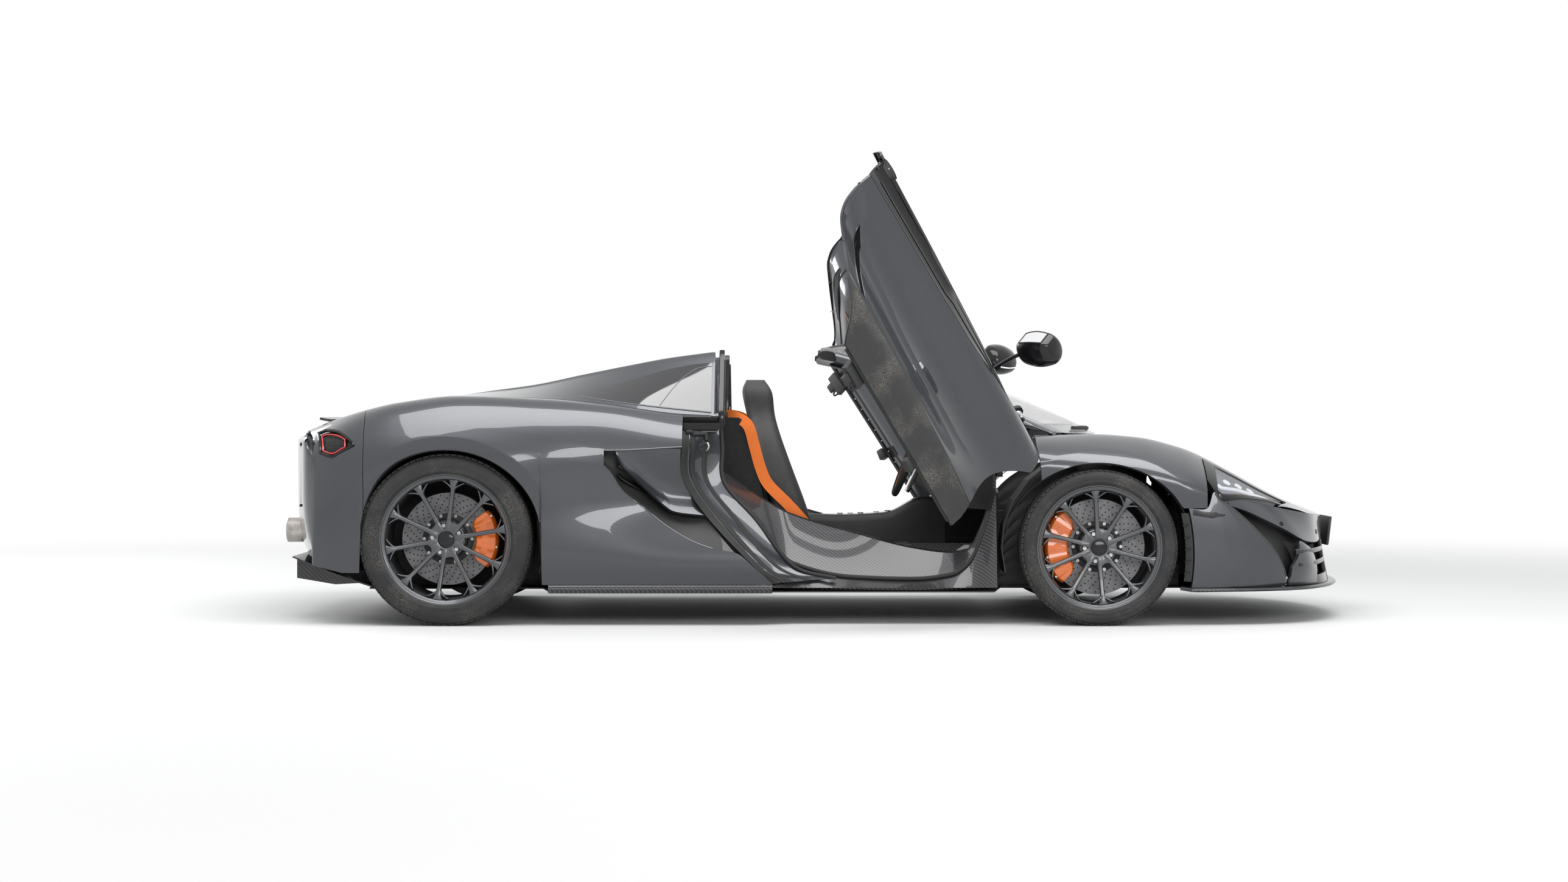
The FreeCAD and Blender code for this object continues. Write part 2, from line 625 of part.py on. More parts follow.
def lid_rear_x(share):
    """Rear edge of the luggage lid at a share of its half width."""
    return LID_CORNER_X + LID_BOW * math.cos(math.pi / 2 * share)


def make_front_lid():
    """Luggage lid between the front wings, hinged at the windscreen side, with its hinge arms."""
    grid = []
    for u in span(-LID_EDGE_U + 0.03, LID_EDGE_U - 0.03, 14):
        side = 1 if u > 0 else -1
        rear = lid_rear_x(abs(u) / LID_EDGE_U)
        front = LID_FRONT_S - SHUT_GAP
        grid.append([body_point(s, abs(u), side) for s in span(rear, front, 9)])
    skin = sheet(grid, LID_T, inward=Vector(1500, 0, 0))
    arms = []
    for y in (-LID_ARM_Y, LID_ARM_Y):
        eye = hinge_eye(LID_HINGE_X, LID_HINGE_Z, y)
        arm = prism([(LID_HINGE_X, LID_HINGE_Z - 9), (LID_HINGE_X, LID_HINGE_Z + 5), (LID_CORNER_X + 90, 742),
                     (LID_CORNER_X + 96, 724)], y - 9, y + 9)
        arms.append(eye.fuse(arm.cut(bar(Vector(LID_HINGE_X, y - 30, LID_HINGE_Z),
                                         Vector(LID_HINGE_X, y + 30, LID_HINGE_Z), HINGE_EYE_R - 2))))
    add("front_lid", skin.fuse(arms))
    HINGES.extend(hinge_pin(LID_HINGE_X, LID_HINGE_Z, y, COWL_TROUGH_Z + 6 + FIT) for y in (-LID_ARM_Y, LID_ARM_Y))


def hinge_eye(x, z, y):
    """Eye of a hinge arm, round an axis along Y."""
    return bush(Vector(x, y - 9, z), Vector(x, y + 9, z), HINGE_PIN_R + SHAFT_FIT, HINGE_EYE_R)


def hinge_pin(x, z, y, foot_z):
    """Fixed hinge pin with two cheeks that stand on a foot."""
    pin = bar(Vector(x, y - 24, z), Vector(x, y + 24, z), HINGE_PIN_R)
    cheeks = [box((x - 9, y + a, foot_z), (x + 9, y + a + 8, z + 8)) for a in (-24, 16)]
    foot = box((x - 24, y - 24, foot_z - 6), (x + 24, y + 24, foot_z))
    return pin.fuse(cheeks + [foot]).removeSplitter()


# The nose wrap's ribs. Columns: top station, top line (None for the lamp's lower edge), middle x, y, z,
# bottom x, y.
NOSE_RIBS = (
    (1506, None, 1528, 930, 315, 1520, 905), (1598, None, 1640, 926, 318, 1640, 893),
    (1640, None, 1690, 918, 320, 1700, 882), (1700, None, 1765, 900, 320, 1780, 860),
    (1800, None, 1862, 858, 320, 1885, 812), (1930, None, 1965, 775, 315, 1990, 735),
    (2066, None, 2035, 685, 312, 2066, 645), (2200, 2.5, 2100, 545, 310, 2136, 515),
    (2200, 1.6, 2152, 375, 310, 2186, 352), (2200, 0.75, 2190, 190, 310, 2220, 175),
    (2200, 0.0, 2204, 0, 310, 2232, 0),
)
BLADE_LOW_Z = 136.0
BLADE_T = 16.0


def make_front_bumper():
    """Nose wrap round the corners with its two side intakes."""
    levels = (0.0, 0.22, 0.36, 0.62, 0.86, 1.0)
    grid = []
    for station, u, mx, my, mz, lx, ly in NOSE_RIBS:
        if u is not None:
            top = body_point(station, u)
        elif station < FENDER_FRONT_S:
            top = flank(station, FENDER_LOW_Z - FIXED_GAP)
        else:
            top = flank(station, LAMP_BOTTOM_Z(station) - 4)
        mid, low = Vector(placed(mx), -my, mz), Vector(placed(lx), -ly, BLADE_LOW_Z + BLADE_T + 1.4)
        grid.append([top * ((1 - t) * (1 - 2 * t)) + mid * (4 * t * (1 - t)) + low * (t * (2 * t - 1))
                     for t in levels])
    grid += [[Vector(p.x, -p.y, p.z) for p in line] for line in grid[-2::-1]]
    last = len(grid) - 1

    def cells(i, j):
        k = min(i, last - 1 - i)
        return not (4 <= k <= 7 and 2 <= j <= 3)

    wrap = sheet(grid, 5, inward=Vector(1500, 0, 300), cells=cells)
    wrap = wrap.cut(bar(TOW_SOCKET, Vector(NOSE_X, TOW_SOCKET.y, TOW_SOCKET.z), TOW_OPENING_R))
    nose = [[body_point(s, abs(u), 1 if u > 0 else -1) for u in span(-edge, edge, 16)]
            for s, edge in ((LID_FRONT_S + FIXED_GAP, 2.84), (2110, 2.72), (2150, 2.6), (NOSE_RIBS[-1][0] - 3, 2.44))]
    add("front_bumper", wrap.fuse(sheet(nose, PANEL_T, inward=Vector(1500, 0, 0))))


def make_splitter():
    """Carbon splitter blade under the nose."""
    top_z = BLADE_LOW_Z + BLADE_T
    reach = DRAWN_NOSE_X - NOSE_RIBS[-1][5]
    right = []
    for i, rib in enumerate(NOSE_RIBS):
        out = reach * min(1.0, i / 4)
        right.append(Vector(placed(rib[5] + out), -rib[6] - 10 * (1 if i < 6 else 0), top_z))
    outer = right + [Vector(p.x, -p.y, p.z) for p in reversed(right[:-1])]
    inner = [Vector(p.x - 150 if abs(p.y) < 800 else p.x - 30, p.y * 0.86, top_z) for p in outer]
    add("splitter", sheet(ruled(outer, inner, 1), BLADE_T, inward=Vector(1500, 0, -400)))


QUARTER_TOP_U = 1.35
INTAKE_TOP_Z = Curve([(-1960, 800), (-1530, 812), (-1150, 775), (-870, 716), (-560, 730)])
INTAKE_LOW_Z = Curve([
    (-1960, 775), (-1530, 778), (-1300, 752), (-1150, 712), (-900, 662), (-860, 627), (-810, 550), (-720, 477),
    (-620, 400), (-520, 343), (-440, 315), (-347, 298), (-255, 224), (-197, 172),
])
QUARTER_REAR_S = -1900.0


def make_quarter_panels():
    """Rear wings round the arches, open at the side intakes."""
    stations = [-197, -255, -347, -440, -520, -566, -640, -720, -810, -885, -1000, -1132, -1142, -1160, -1200, -1260, -1340,
                -1440, -1530, -1620, -1710, -1790, -1850, QUARTER_REAR_S]
    grid = []
    for s in stations:
        low = arch_z(s, "rear", 166)
        upper = INTAKE_TOP_Z(s)
        lower = max(min(INTAKE_LOW_Z(s), upper - 6), low + 2)
        upper = max(upper, lower + 4)
        middle = (lower + low) / 2
        line = [body_point(s, QUARTER_TOP_U + 0.012), body_point(s, 1.7), body_point(s, 2.05)]
        line.append(between(body_point(s, 2.05), flank(s, upper), 0.5) if s < -1960 else
                    body_point(s, (2.05 + flank_u(s, upper)) / 2))
        line += [flank(s, upper), flank(s, lower), flank(s, middle), flank(s, low)]
        grid.append(line)

    def cells(i, j):
        s = stations[i + 1]
        if j < 4:
            return s < -566
        if j == 4:
            return s < -885
        return True

    add("quarter_panels", both(sheet(grid, PANEL_T, cells=cells)))


WING_T = 12.0


POD_STATIONS = (-1952.0, -2036.0, -2110.0, -2172.0)
POD_TOP_Z = Curve([(-2172, 790), (-2110, 804), (-2060, 800), (-1952, 748)])
POD_GAP = 3.0
POD_LOW_Z = Curve([(-2172, 700), (-2095, 684), (-2030, 706), (-1952, 732)])


def make_rear_bumper():
    """Tail corners and the face between them, open for the lamp pods and the grille."""
    corner = []
    for s in (QUARTER_REAR_S - 3.5, *POD_STATIONS, -2210):
        low = arch_z(s, "rear", 215)
        corner.append([body_point(s, 1.4), body_point(s, 1.7), body_point(s, 2.05)]
                      + [flank(s, z) for z in (POD_TOP_Z(s), POD_LOW_Z(s), 640)]
                      + [flank(s, low + (640 - low) * t) for t in (0.66, 0.33, 0.0)])
    across = []
    for y in (820, 720, 560, 380, 190, 0):
        x = TAIL_X + TAIL_BEND * y * y + 6
        across.append([Vector(x + dx, -y, z) for dx, z in (
            (12, 768), (8, 764), (4, 760), (2, 752), (0, 736), (0, 610), (2, 480), (14, 360), (44, 272))])
    right = corner + across
    grid = right + [[Vector(p.x, -p.y, p.z) for p in line] for line in right[-2::-1]]
    last = len(grid) - 1

    def cells(i, j):
        k = min(i, last - 1 - i)
        return not (k >= 7 and j in (3, 4, 5) or 1 <= k <= 3 and j == 3)

    cover = sheet(grid, 5, inward=Vector(-1700, 0, 450), cells=cells)
    holes = [bar(Vector(TAIL_X - 50, y, EXHAUST_Z), Vector(placed(-1900), y, EXHAUST_Z), EXHAUST_R + FIT)
             for y in (-EXHAUST_Y, EXHAUST_Y)]
    add("rear_bumper", cover.cut(holes))
    mesh = [[Vector(TAIL_X + TAIL_BEND * y * y + 42, y, z) for y in span(-700, 700, 8)] for z in (470, 610, 721.6)]
    add("rear_grille", sheet(mesh, 6, inward=Vector(-1700, 0, 450)))


def make_tail():
    """Lamp strips, spoiler, diffuser and exhaust tips."""
    strip = [[Vector(TAIL_X + TAIL_BEND * y * y + 9, -y, z) for y in span(430, 716, 5)] for z in (750.8, 722)]
    pod = []
    for s in POD_STATIONS:
        s_in = min(max(s, POD_STATIONS[-1] + POD_GAP), POD_STATIONS[0] - POD_GAP)
        top, low = POD_TOP_Z(s_in) - POD_GAP, POD_LOW_Z(s_in) + POD_GAP
        pod.append([flank(s_in, top + (low - top) * t) for t in (0, 0.5, 1)])
    inward = Vector(-1700, 0, 700)
    add("tail_lamps", both(sheet(strip, 33, inward=inward), sheet(pod, 30, inward=inward)))
    sink = WING_T + FIT
    lines = span(-1.388, 1.388, 12)
    shapes = []
    for thick, rows in ((WING_T, ((-2050, 0), (-2095, 12), (-2150, 36))),
                        (PANEL_T, ((-1953, 0), (-2040, 0), (-2046, -sink), (-2150, -sink), (-2232, -sink)))):
        grid = [[body_point(s, abs(u), 1 if u > 0 else -1) + Vector(0, 0, lift) for u in lines] for s, lift in rows]
        shapes.append(sheet(grid, thick, inward=Vector(-2100, 0, 0)))
    add("spoiler", shapes)
    tray = [[Vector(placed(s), y, z) for s, z in ((-1880, BLADE_LOW_Z + FIT), (-2040, 190), (-2215, 262))]
            for y in span(-600, 600, 6)]
    add("diffuser", sheet(tray, 6, inward=Vector(-2000, 0, 800)))
    tip = bush(Vector(TAIL_X + 6, -EXHAUST_Y, EXHAUST_Z), Vector(placed(-2060), -EXHAUST_Y, EXHAUST_Z), EXHAUST_R - 3, EXHAUST_R)
    add("exhaust_tips", both(tip))


# Rear deck

DECK_FRONT_S = -456.0
# Flying buttress. Columns: station, ridge half width, ridge height.
BUTTRESS = (
    (DECK_FRONT_S, 505, 1127), (-640, 505, 1102), (-800, 503, 1072), (-1000, 500, 1032), (-1200, 496, 990),
    (-1400, 500, 962), (-1600, 505, 930),
)
BUTTRESS_NOSE = 18.0
DECK_STATIONS = [row[0] for row in BUTTRESS] + [-1780, -1940]
DECK_EDGE_U = QUARTER_TOP_U - 0.04
DECK_COLUMNS = 12


def deck_row(s):
    """Points across the rear deck at station s, from the right edge to the left."""
    return [body_point(s, abs(u), 1 if u > 0 else -1) for u in span(-DECK_EDGE_U, DECK_EDGE_U, DECK_COLUMNS)]


def make_tonneau():
    """Rear deck that lifts to stow the roof, and the buttresses that ride on it."""
    skin = sheet([deck_row(s) for s in DECK_STATIONS], 10, inward=Vector(-1200, 0, 300))
    arms = []
    for y in (-DECK_ARM_Y, DECK_ARM_Y):
        eye = hinge_eye(DECK_HINGE_X, DECK_HINGE_Z, y)
        arm = prism([(DECK_HINGE_X + dx, DECK_HINGE_Z + dz) for dx, dz in (
            (0, -9), (0, 5), (50, -8), (110, 30), (122, 18), (62, -24))], y - 9, y + 9)
        arms.append(eye.fuse(arm.cut(bar(Vector(DECK_HINGE_X, y - 30, DECK_HINGE_Z),
                                         Vector(DECK_HINGE_X, y + 30, DECK_HINGE_Z), HINGE_EYE_R - 2))))
    add("tonneau", skin.fuse(arms))
    HINGES.extend(hinge_pin(DECK_HINGE_X, DECK_HINGE_Z, y, DECK_HINGE_Z - 50) for y in (-DECK_ARM_Y, DECK_ARM_Y))
    sections = []
    for s, ridge_y, ridge_z in BUTTRESS:
        row = deck_row(s)
        seat = [row[3], row[2], row[1], between(row[1], row[0], 0.86)]
        x = placed(s)
        sections.append([Vector(x, -ridge_y, ridge_z), Vector(x, -ridge_y + 22, ridge_z - 14)]
                        + [p + Vector(0, 0, FIXED_GAP) for p in seat] + [Vector(x, -ridge_y - 26, ridge_z - 8)])
    sections.insert(0, [p + Vector(BUTTRESS_NOSE, 0, 0.5) for p in sections[0]])
    add("buttresses", both(rings(sections)))


def make_door_jambs():
    """Painted rear door frames between the cabin seal and the door's shut line."""
    inner = [(-414, 745.5, 800), (-408, 750, 720), (-400, 768, 580), (-270, 788, 430), (-117, 806, 240), (60, 820, 188)]
    levels = (790, 735, 600, 441, 250, 170)
    first = [Vector(x, -y, z) for x, y, z in inner]
    second = []
    for z in levels:
        p = flank(DOOR_REAR_S(z) - 5, z)
        second.append(Vector(p.x, p.y + 36, p.z))
    add("door_jambs", both(sheet(ruled(first, second, 3), 4, inward=Vector(-900, -600, 300))))


def make_skirts():
    """Dark blades along the bottom edges between the wheel arches."""
    grid = []
    for s in span(-1112, -196, 6):
        p = flank(s, 164)
        grid.append([Vector(p.x, p.y + 2, 165), Vector(p.x, p.y - 8, 148), Vector(p.x, p.y + 6, 131)])
    top_z = BLADE_LOW_Z - FIT
    rear_x = placed(-1104)
    rear_sill = box((rear_x, -899, 130), (-196, -850, 146)).fuse(box((rear_x, -852, 130), (-196, -820 - FIT, top_z)))
    front_sill = box((-200, -838, 130), (716, -820 - FIT, top_z))
    add("skirts", both(sheet(grid, 22, inward=Vector(-600, 0, 150)).fuse([rear_sill, front_sill])))


# Tub

# Carbon sill. Columns: station, inner wall y, top z, lower seal y, seal z.
SILL = (
    (REAR_WALL_X + FIT, 640, 640, 760, 560), (REAR_WALL_X + 12, 640, 640, 760, 560), (-270, 640, 530, 772, 430), (-117, 645, 445, 786, 237), (137, 650, 370, 792, 178),
    (390, 650, 305, 792, 170), (545, 650, 286, 790, 188), (620, 650, 300, 784, 240), (676, 650, 400, 776, 360),
    (FRONT_WALL_X - 12, 640, 560, 760, 540), (FRONT_WALL_X - FIT, 640, 560, 760, 540),
)
FLOOR_Z = 150.0


def make_tub():
    """Carbon tub: floor, tunnel, sills, and the bulkheads at each end."""
    grid = []
    for x, wall_y, top_z, seal_y, seal_z in SILL:
        half = [(840, 150), (seal_y + 4, seal_z), (wall_y + 18, top_z), (wall_y, top_z - 6), (560, FLOOR_Z + 40),
                (520, FLOOR_Z), (150, FLOOR_Z), (120, 300)]
        line = [Vector(x, -y, z) for y, z in half] + [Vector(x, y, z) for y, z in reversed(half)]
        grid.append(line)
    pan = sheet(grid, 14, inward=Vector(100, 0, -500))
    rear = box((REAR_WALL_X - WALL_T, -590, 166), (REAR_WALL_X, 590, 850))
    front = box((FRONT_WALL_X, -540, 166), (FRONT_WALL_X + WALL_T, 540, 690))
    add("tub", pan)
    add("bulkheads", [rear, front])


# Windscreen edge. Columns: fraction up, middle x, middle z, edge x, edge y, edge z.
SCREEN = (
    (0.0, 1224, 782, 990, 668, 792), (0.25, 985, 895, 760, 638, 888), (0.5, 720, 1000, 530, 606, 982),
    (0.75, 440, 1092, 300, 572, 1066), (1.0, 165, 1160, 70, 540, 1132),
)


def screen_row(t, widen=0.0, lift=0.0):
    """Points across the windscreen at fraction t up the glass."""
    i = min(int(t * 4), 3)
    f = t * 4 - i
    lower, upper = SCREEN[i], SCREEN[i + 1]
    xm, zm, xe, ye, ze = [a + (b - a) * f for a, b in zip(lower[1:], upper[1:])]
    ye += widen
    row = []
    for k in range(-5, 6):
        q = (k / 5) ** 2
        row.append(Vector(xm - (xm - xe) * q, ye * k / 5, zm - (zm - ze) * q + lift))
    return row


def make_windscreen():
    """Bowed windscreen with its pillars and header."""
    glass = [screen_row(t) for t in span(0, 1, 8)]
    add("windscreen", sheet(glass, GLASS_T, inward=Vector(200, 0, 300)))
    pillars = []
    for t in span(0, 1, 8):
        row = screen_row(t)
        edge, near = row[0], row[1]
        outward = (edge - near).normalize()
        drop = min(1.0, 0.36 + 3 * t)
        pillars.append([edge + outward * (FIT + 0.4), edge + outward * 40 + Vector(0, 0, -14 * drop),
                        edge + outward * 34 + Vector(0, 0, -46 * drop), edge + outward * 2 + Vector(0, 0, -34 * drop)])
    header_rings = []
    top = screen_row(1.0)
    wide = [top[0] + Vector(0, -44, -14)] + top + [top[-1] + Vector(0, 44, -14)]
    for p in wide:
        q = Vector(p.x - 2.5, p.y, p.z)
        header_rings.append([q, q + Vector(-62, 0, 12), q + Vector(-66, 0, -18), q + Vector(4, 0, -36)])
    frame = both(rings(pillars)) + [rings(header_rings)]
    brace = tube([Vector(872, -660, 820), Vector(762, -560, 664)], 17, 6)
    plate_x = FRONT_WALL_X + WALL_T + FIT
    plate = box((plate_x, -590, 600), (plate_x + 24, -500, 690))
    lug = bar(DOOR_HINGE + DOOR_ALONG * 67, DOOR_HINGE + DOOR_ALONG * 82, 27)
    stay = tube([DOOR_HINGE + DOOR_ALONG * 75, Vector(840, -655, 838)], 13, 6)
    merged = frame[2].fuse(frame[:2] + both(brace, plate, lug, stay))
    socket = bar(DOOR_HINGE + DOOR_ALONG * 60, DOOR_HINGE + DOOR_ALONG * (COLLAR_END + FIT), COLLAR_R + FIT)
    add("windscreen_frame", merged.cut(both(socket)))


# Cabin

# Seat back sections. Columns: x, z, half width, depth.
SEAT_BACK = (
    (-80, 268, 200, 110), (-125, 440, 235, 100), (-180, 620, 225, 85), (-222, 760, 190, 75), (-250, 860, 130, 75),
    (-266, 960, 118, 80), (-272, 1010, 80, 50),
)
# Seat cushion sections. Columns: x, z, half width, depth.
SEAT_BASE = ((-60, 244.1, 196, 78), (120, 244.1, 200, 78), (280, 276, 198, 84), (390, 292, 176, 66))
SEAT_Y = 345.0


def make_seats():
    """Two fixed-back bucket seats: back with its head pad, and cushion."""
    shapes = []
    for table, upright_pad in ((SEAT_BACK, True), (SEAT_BASE, False)):
        sections = []
        for x, z, half, depth in table:
            ring = []
            for fy, fd in ((-1, 0.3), (-1, 1.0), (-0.74, 1.3), (-0.45, 1.0), (0.45, 1.0), (0.74, 1.3), (1, 1.0),
                           (1, 0.3), (0.84, -0.2), (-0.84, -0.2)):
                shift = Vector(fd * depth, 0, 0) if upright_pad else Vector(0, 0, fd * depth)
                ring.append(Vector(x, -SEAT_Y + fy * half, z) + shift - (
                    Vector(depth * 0.5, 0, 0) if upright_pad else Vector(0, 0, depth)))
            sections.append(ring)
        shapes.append(rings(sections))
    add("seats", both(*shapes))


def make_cabin():
    """Dashboard, centre console, steering column and steering wheel."""
    wall = FRONT_WALL_X - FIT
    outline = [(wall, 690), (690, 735), (570, 745), (480, 706), (462, 640), (520, 560), (600, 500), (wall, 480)]
    rows = []
    for y in span(-600, 600, 6):
        rows.append([Vector(x - (40 * (abs(y) / 600) ** 2 if x < wall else 0), y, z - 18 * (abs(y) / 600) ** 2)
                     for x, z in outline])
    dash = rings(rows)
    console = []
    for x, z, half in ((-418, 420, 90), (-200, 430, 92), (100, 420, 88), (300, 430, 84), (470, 500, 80), (560, 500, 78)):
        foot = 300 + FIT
        console.append([Vector(x, -half, foot), Vector(x, -half, z), Vector(x, half, z), Vector(x, half, foot)])
    add("console", rings(console))
    axis = Vector(-math.cos(math.radians(STEER_RAKE)), 0, math.sin(math.radians(STEER_RAKE)))
    ring = Part.makeTorus(STEER_WHEEL_R, 15, STEER_HUB, axis)
    hub = Part.makeCylinder(62, 46, STEER_HUB - axis * 40, axis)
    side = Vector(0, 1, 0)
    up = axis.cross(side)
    shapes = [hub]
    for direction in (side, side * -1, up * (-1 if up.z > 0 else 1)):
        shapes.append(Part.makeCylinder(12, STEER_WHEEL_R - 50, STEER_HUB - axis * 8 + direction * 48, direction))
    shaft = Part.makeCylinder(17, 60, STEER_HUB - axis * 98, axis)
    add("steering_wheel", ring.fuse(shapes + [shaft]).removeSplitter())
    column = bar(STEER_HUB - axis * 200, STEER_HUB - axis * 52, 38)
    bore = bar(STEER_HUB - axis * 160, STEER_HUB, 17 + SHAFT_FIT)
    add("dashboard", dash.fuse(column).cut(bore).removeSplitter())


def make_cowl():
    """Cowl box under the windscreen's foot, with a trough between the glass and the luggage lid."""
    row = screen_row(0.0)
    rise = (SCREEN[1][2] - SCREEN[0][2]) / (SCREEN[1][1] - SCREEN[0][1])
    row[0], row[-1] = between(row[0], row[1], 0.25), between(row[-1], row[-2], 0.25)
    sections = []
    for p in row:
        x, z = p.x, p.z - GLASS_T - 5.0
        lid_x = lid_rear_x(min(1.0, abs(p.y) / 640)) - SHUT_GAP - 2
        sections.append([
            Vector(x - 50, p.y, COWL_LOW_Z), Vector(x - 50, p.y, z - 50 * rise), Vector(x - 6, p.y, z - 6 * rise),
            Vector(x, p.y, COWL_TROUGH_Z), Vector(lid_x, p.y, COWL_TROUGH_Z), Vector(lid_x, p.y, COWL_LOW_Z),
        ])
    notches = both(box((LID_HINGE_X - 30, -LID_ARM_Y - 32, COWL_TROUGH_Z), (LID_HINGE_X + 40, -LID_ARM_Y + 32, 900)))
    add("cowl", rings(sections).cut(notches))


def make_roll_hoops():
    """Roll hoops behind the seats with the upright rear window between them."""
    x = REAR_WALL_X + FIT
    outline = [(-742, 700), (-742, 872), (-534, 1118), (-505, 1130), (-478, 1116), (-440, 880), (-440, 700)]
    hoop = [Vector(x, y, z) for y, z in outline]
    face = Part.Face(Part.makePolygon(hoop + hoop[:1]))
    seat = body_point(-590, 1.38)
    top_z = min(body_point(s, u).z for s in (-566, CABIN_REAR_X) for u in (1.33, 1.42)) - PANEL_T - 2.5
    bracket = box((CABIN_REAR_X, seat.y - 8, top_z - 30), (x + 10, seat.y + 8, top_z))
    tie = box((x - 30, seat.y - 8, top_z - 30), (x + 10, outline[0][0] + 6, top_z - 14))
    shapes = both(face.extrude(Vector(22, 0, 0)).fuse([bracket, tie]).removeSplitter())
    pane = box((REAR_WALL_X - 12, -440, 850 + FIT), (REAR_WALL_X - 6, 440, 1040))
    add("roll_hoops", shapes)
    add("rear_window", pane)


BOOT_WALL = 5.0
BOOT_FLANGE_T = 16.7
RAIL_TOP_Z = FRONT_TYRE_R + ARM_HALF_Z + RAIL_W / 2
BOOT_LOW = (1352.0, -372.0, 250.0)
BOOT_HIGH = (placed(1930), 372.0, RAIL_TOP_Z + FIT + BOOT_FLANGE_T)


def make_front_boot():
    """Open luggage tub under the front lid, held between the subframe rails."""
    outer = box(BOOT_LOW, BOOT_HIGH)
    low = [v + BOOT_WALL for v in BOOT_LOW]
    inner = box(low, (BOOT_HIGH[0] - BOOT_WALL, BOOT_HIGH[1] - BOOT_WALL, BOOT_HIGH[2] + 1))
    flange = box((BOOT_LOW[0] - 20, BOOT_LOW[1] - 40, RAIL_TOP_Z + FIT),
                 (BOOT_HIGH[0] + 20, BOOT_HIGH[1] + 40, BOOT_HIGH[2]))
    add("front_boot", outer.fuse(flange).cut(inner).removeSplitter())


def make_door_hinges():
    """Fixed door hinge pins at the feet of the windscreen pillars."""
    high = DOOR_HINGE + DOOR_ALONG * COLLAR_END
    pin = bar(DOOR_HINGE + DOOR_ALONG * 12, high, DOOR_PIN_R)
    collar = bar(DOOR_HINGE + DOOR_ALONG * 66, high, COLLAR_R)
    HINGES.extend(both(pin.fuse(collar)))
    add("hinge_pins", HINGES)


def make_engine():
    """Engine and gearbox as one block."""
    front_x = REAR_WALL_X - WALL_T - FIT
    bell_x = REAR_AXLE_X + 380
    engine = box((bell_x, -300, 210), (front_x, 300, 720))
    gearbox = box((REAR_AXLE_X - 130, -180, 220), (bell_x, 180, 520))
    add("engine", engine.fuse(gearbox).removeSplitter())


def make_underbody():
    """Flat undertray between the bumpers, and the wheel-arch liners."""
    pan = [[Vector(placed(s), y, BLADE_LOW_Z - FIT) for y in span(-half, half, 2)] for s, half in (
        (-1890, 600), (-1160, 600), (-1115, 820), (720, 820), (765, 540), (1520, 540), (1550, 820), (1700, 790),
        (1960, 640))]
    add("undertray", sheet(pan, 6, inward=Vector(0, 0, -900)))
    liners = []
    for axle_x, axle_z, radius, inner, outer, start, end in (
            (FRONT_AXLE_X, FRONT_TYRE_R, FRONT_ARCH_HALF + LINER_GAP, 560, 835, -14, 196),
            (REAR_AXLE_X, REAR_TYRE_R, REAR_ARCH_HALF + LINER_GAP + LINER_GAP, 600, 880, -20, 200)):
        grid = []
        for a in span(start, end, 14):
            c, s = math.cos(math.radians(a)), math.sin(math.radians(a))
            edge = inner + (90 * max(0.0, s) if axle_x > 0 else 0)
            grid.append([Vector(axle_x + radius * c, -y, axle_z + radius * s) for y in (outer, edge)])
        liners.append(sheet(grid, 3, inward=Vector(axle_x, -700, axle_z + 2000)))
    stay = box((1000, -700, 678), (1040, -634.8, 704))
    rib = box((1130, -706, 706), (1150, -698, body_point(1150, 1.86).z - PANEL_T - 2.4))
    liners[0] = liners[0].fuse([stay, rib])
    top = body_point(DRAWN_REAR_X, 1.75)
    liners[1] = liners[1].fuse(box((REAR_AXLE_X - 6, top.y - 4, REAR_TYRE_R + REAR_ARCH_HALF + LINER_GAP * 2 + 1),
                                   (REAR_AXLE_X + 6, top.y + 4, top.z - PANEL_T - 5.0)))
    add("arch_liners", both(*liners))


# Doors, made closed and then swung up

DOOR_REAR_S = Curve([(136, -150), (165, -186), (227, -249), (300, -341), (441, -461), (491, -511), (566, -549),
                     (641, -566), (735, -563), (850, -556)])
DOOR_EDGE_LOW_Z = 200.0
DOOR_SKIN_T = 5.0
SLOT_TOP_Z = 778.0
SLOT_LOW_Z = 752.0
SLOT_FRONT_S = 50.0
CLADDING_Z = Curve([(-350, 310), (0, 302), (450, 278), (900, 240)])


def door_front_s(z):
    """Front edge of the door: the wheel arch's lip, then the shut line above it."""
    d = 1 - ((max(z, DOOR_EDGE_LOW_Z) - FRONT_TYRE_R) / FRONT_ARCH_RISE) ** 2
    arch = FRONT_AXLE_X - FRONT_ARCH_HALF * math.sqrt(max(d, 0.0))
    return min(arch, DOOR_EDGE_HIGH(z))


def swing_matrix():
    """Placement that swings a closed right-hand door up to its open place."""
    turn = Rotation(DOOR_AXIS, DOOR_SWING)
    return Placement(DOOR_HINGE - turn.multVec(DOOR_HINGE), turn)


def opened(shape):
    """A closed right-hand door piece in its open place."""
    shape.Placement = swing_matrix().multiply(shape.Placement)
    return shape


def door_row(z, count, inset=0.0):
    """Points along the closed door's outer face at height z, or the height a Curve gives."""
    row = []
    for t in span(0, 1, count):
        z_here = z(0) if callable(z) else z
        rear, front = DOOR_REAR_S(z_here), door_front_s(z_here)
        s = rear + (front - rear) * t
        if callable(z):
            z_here = z(s)
            rear, front = DOOR_REAR_S(z_here), door_front_s(z_here)
            s = rear + (front - rear) * t
        p = flank(s, z_here)
        row.append(Vector(p.x, p.y + inset, p.z))
    return row


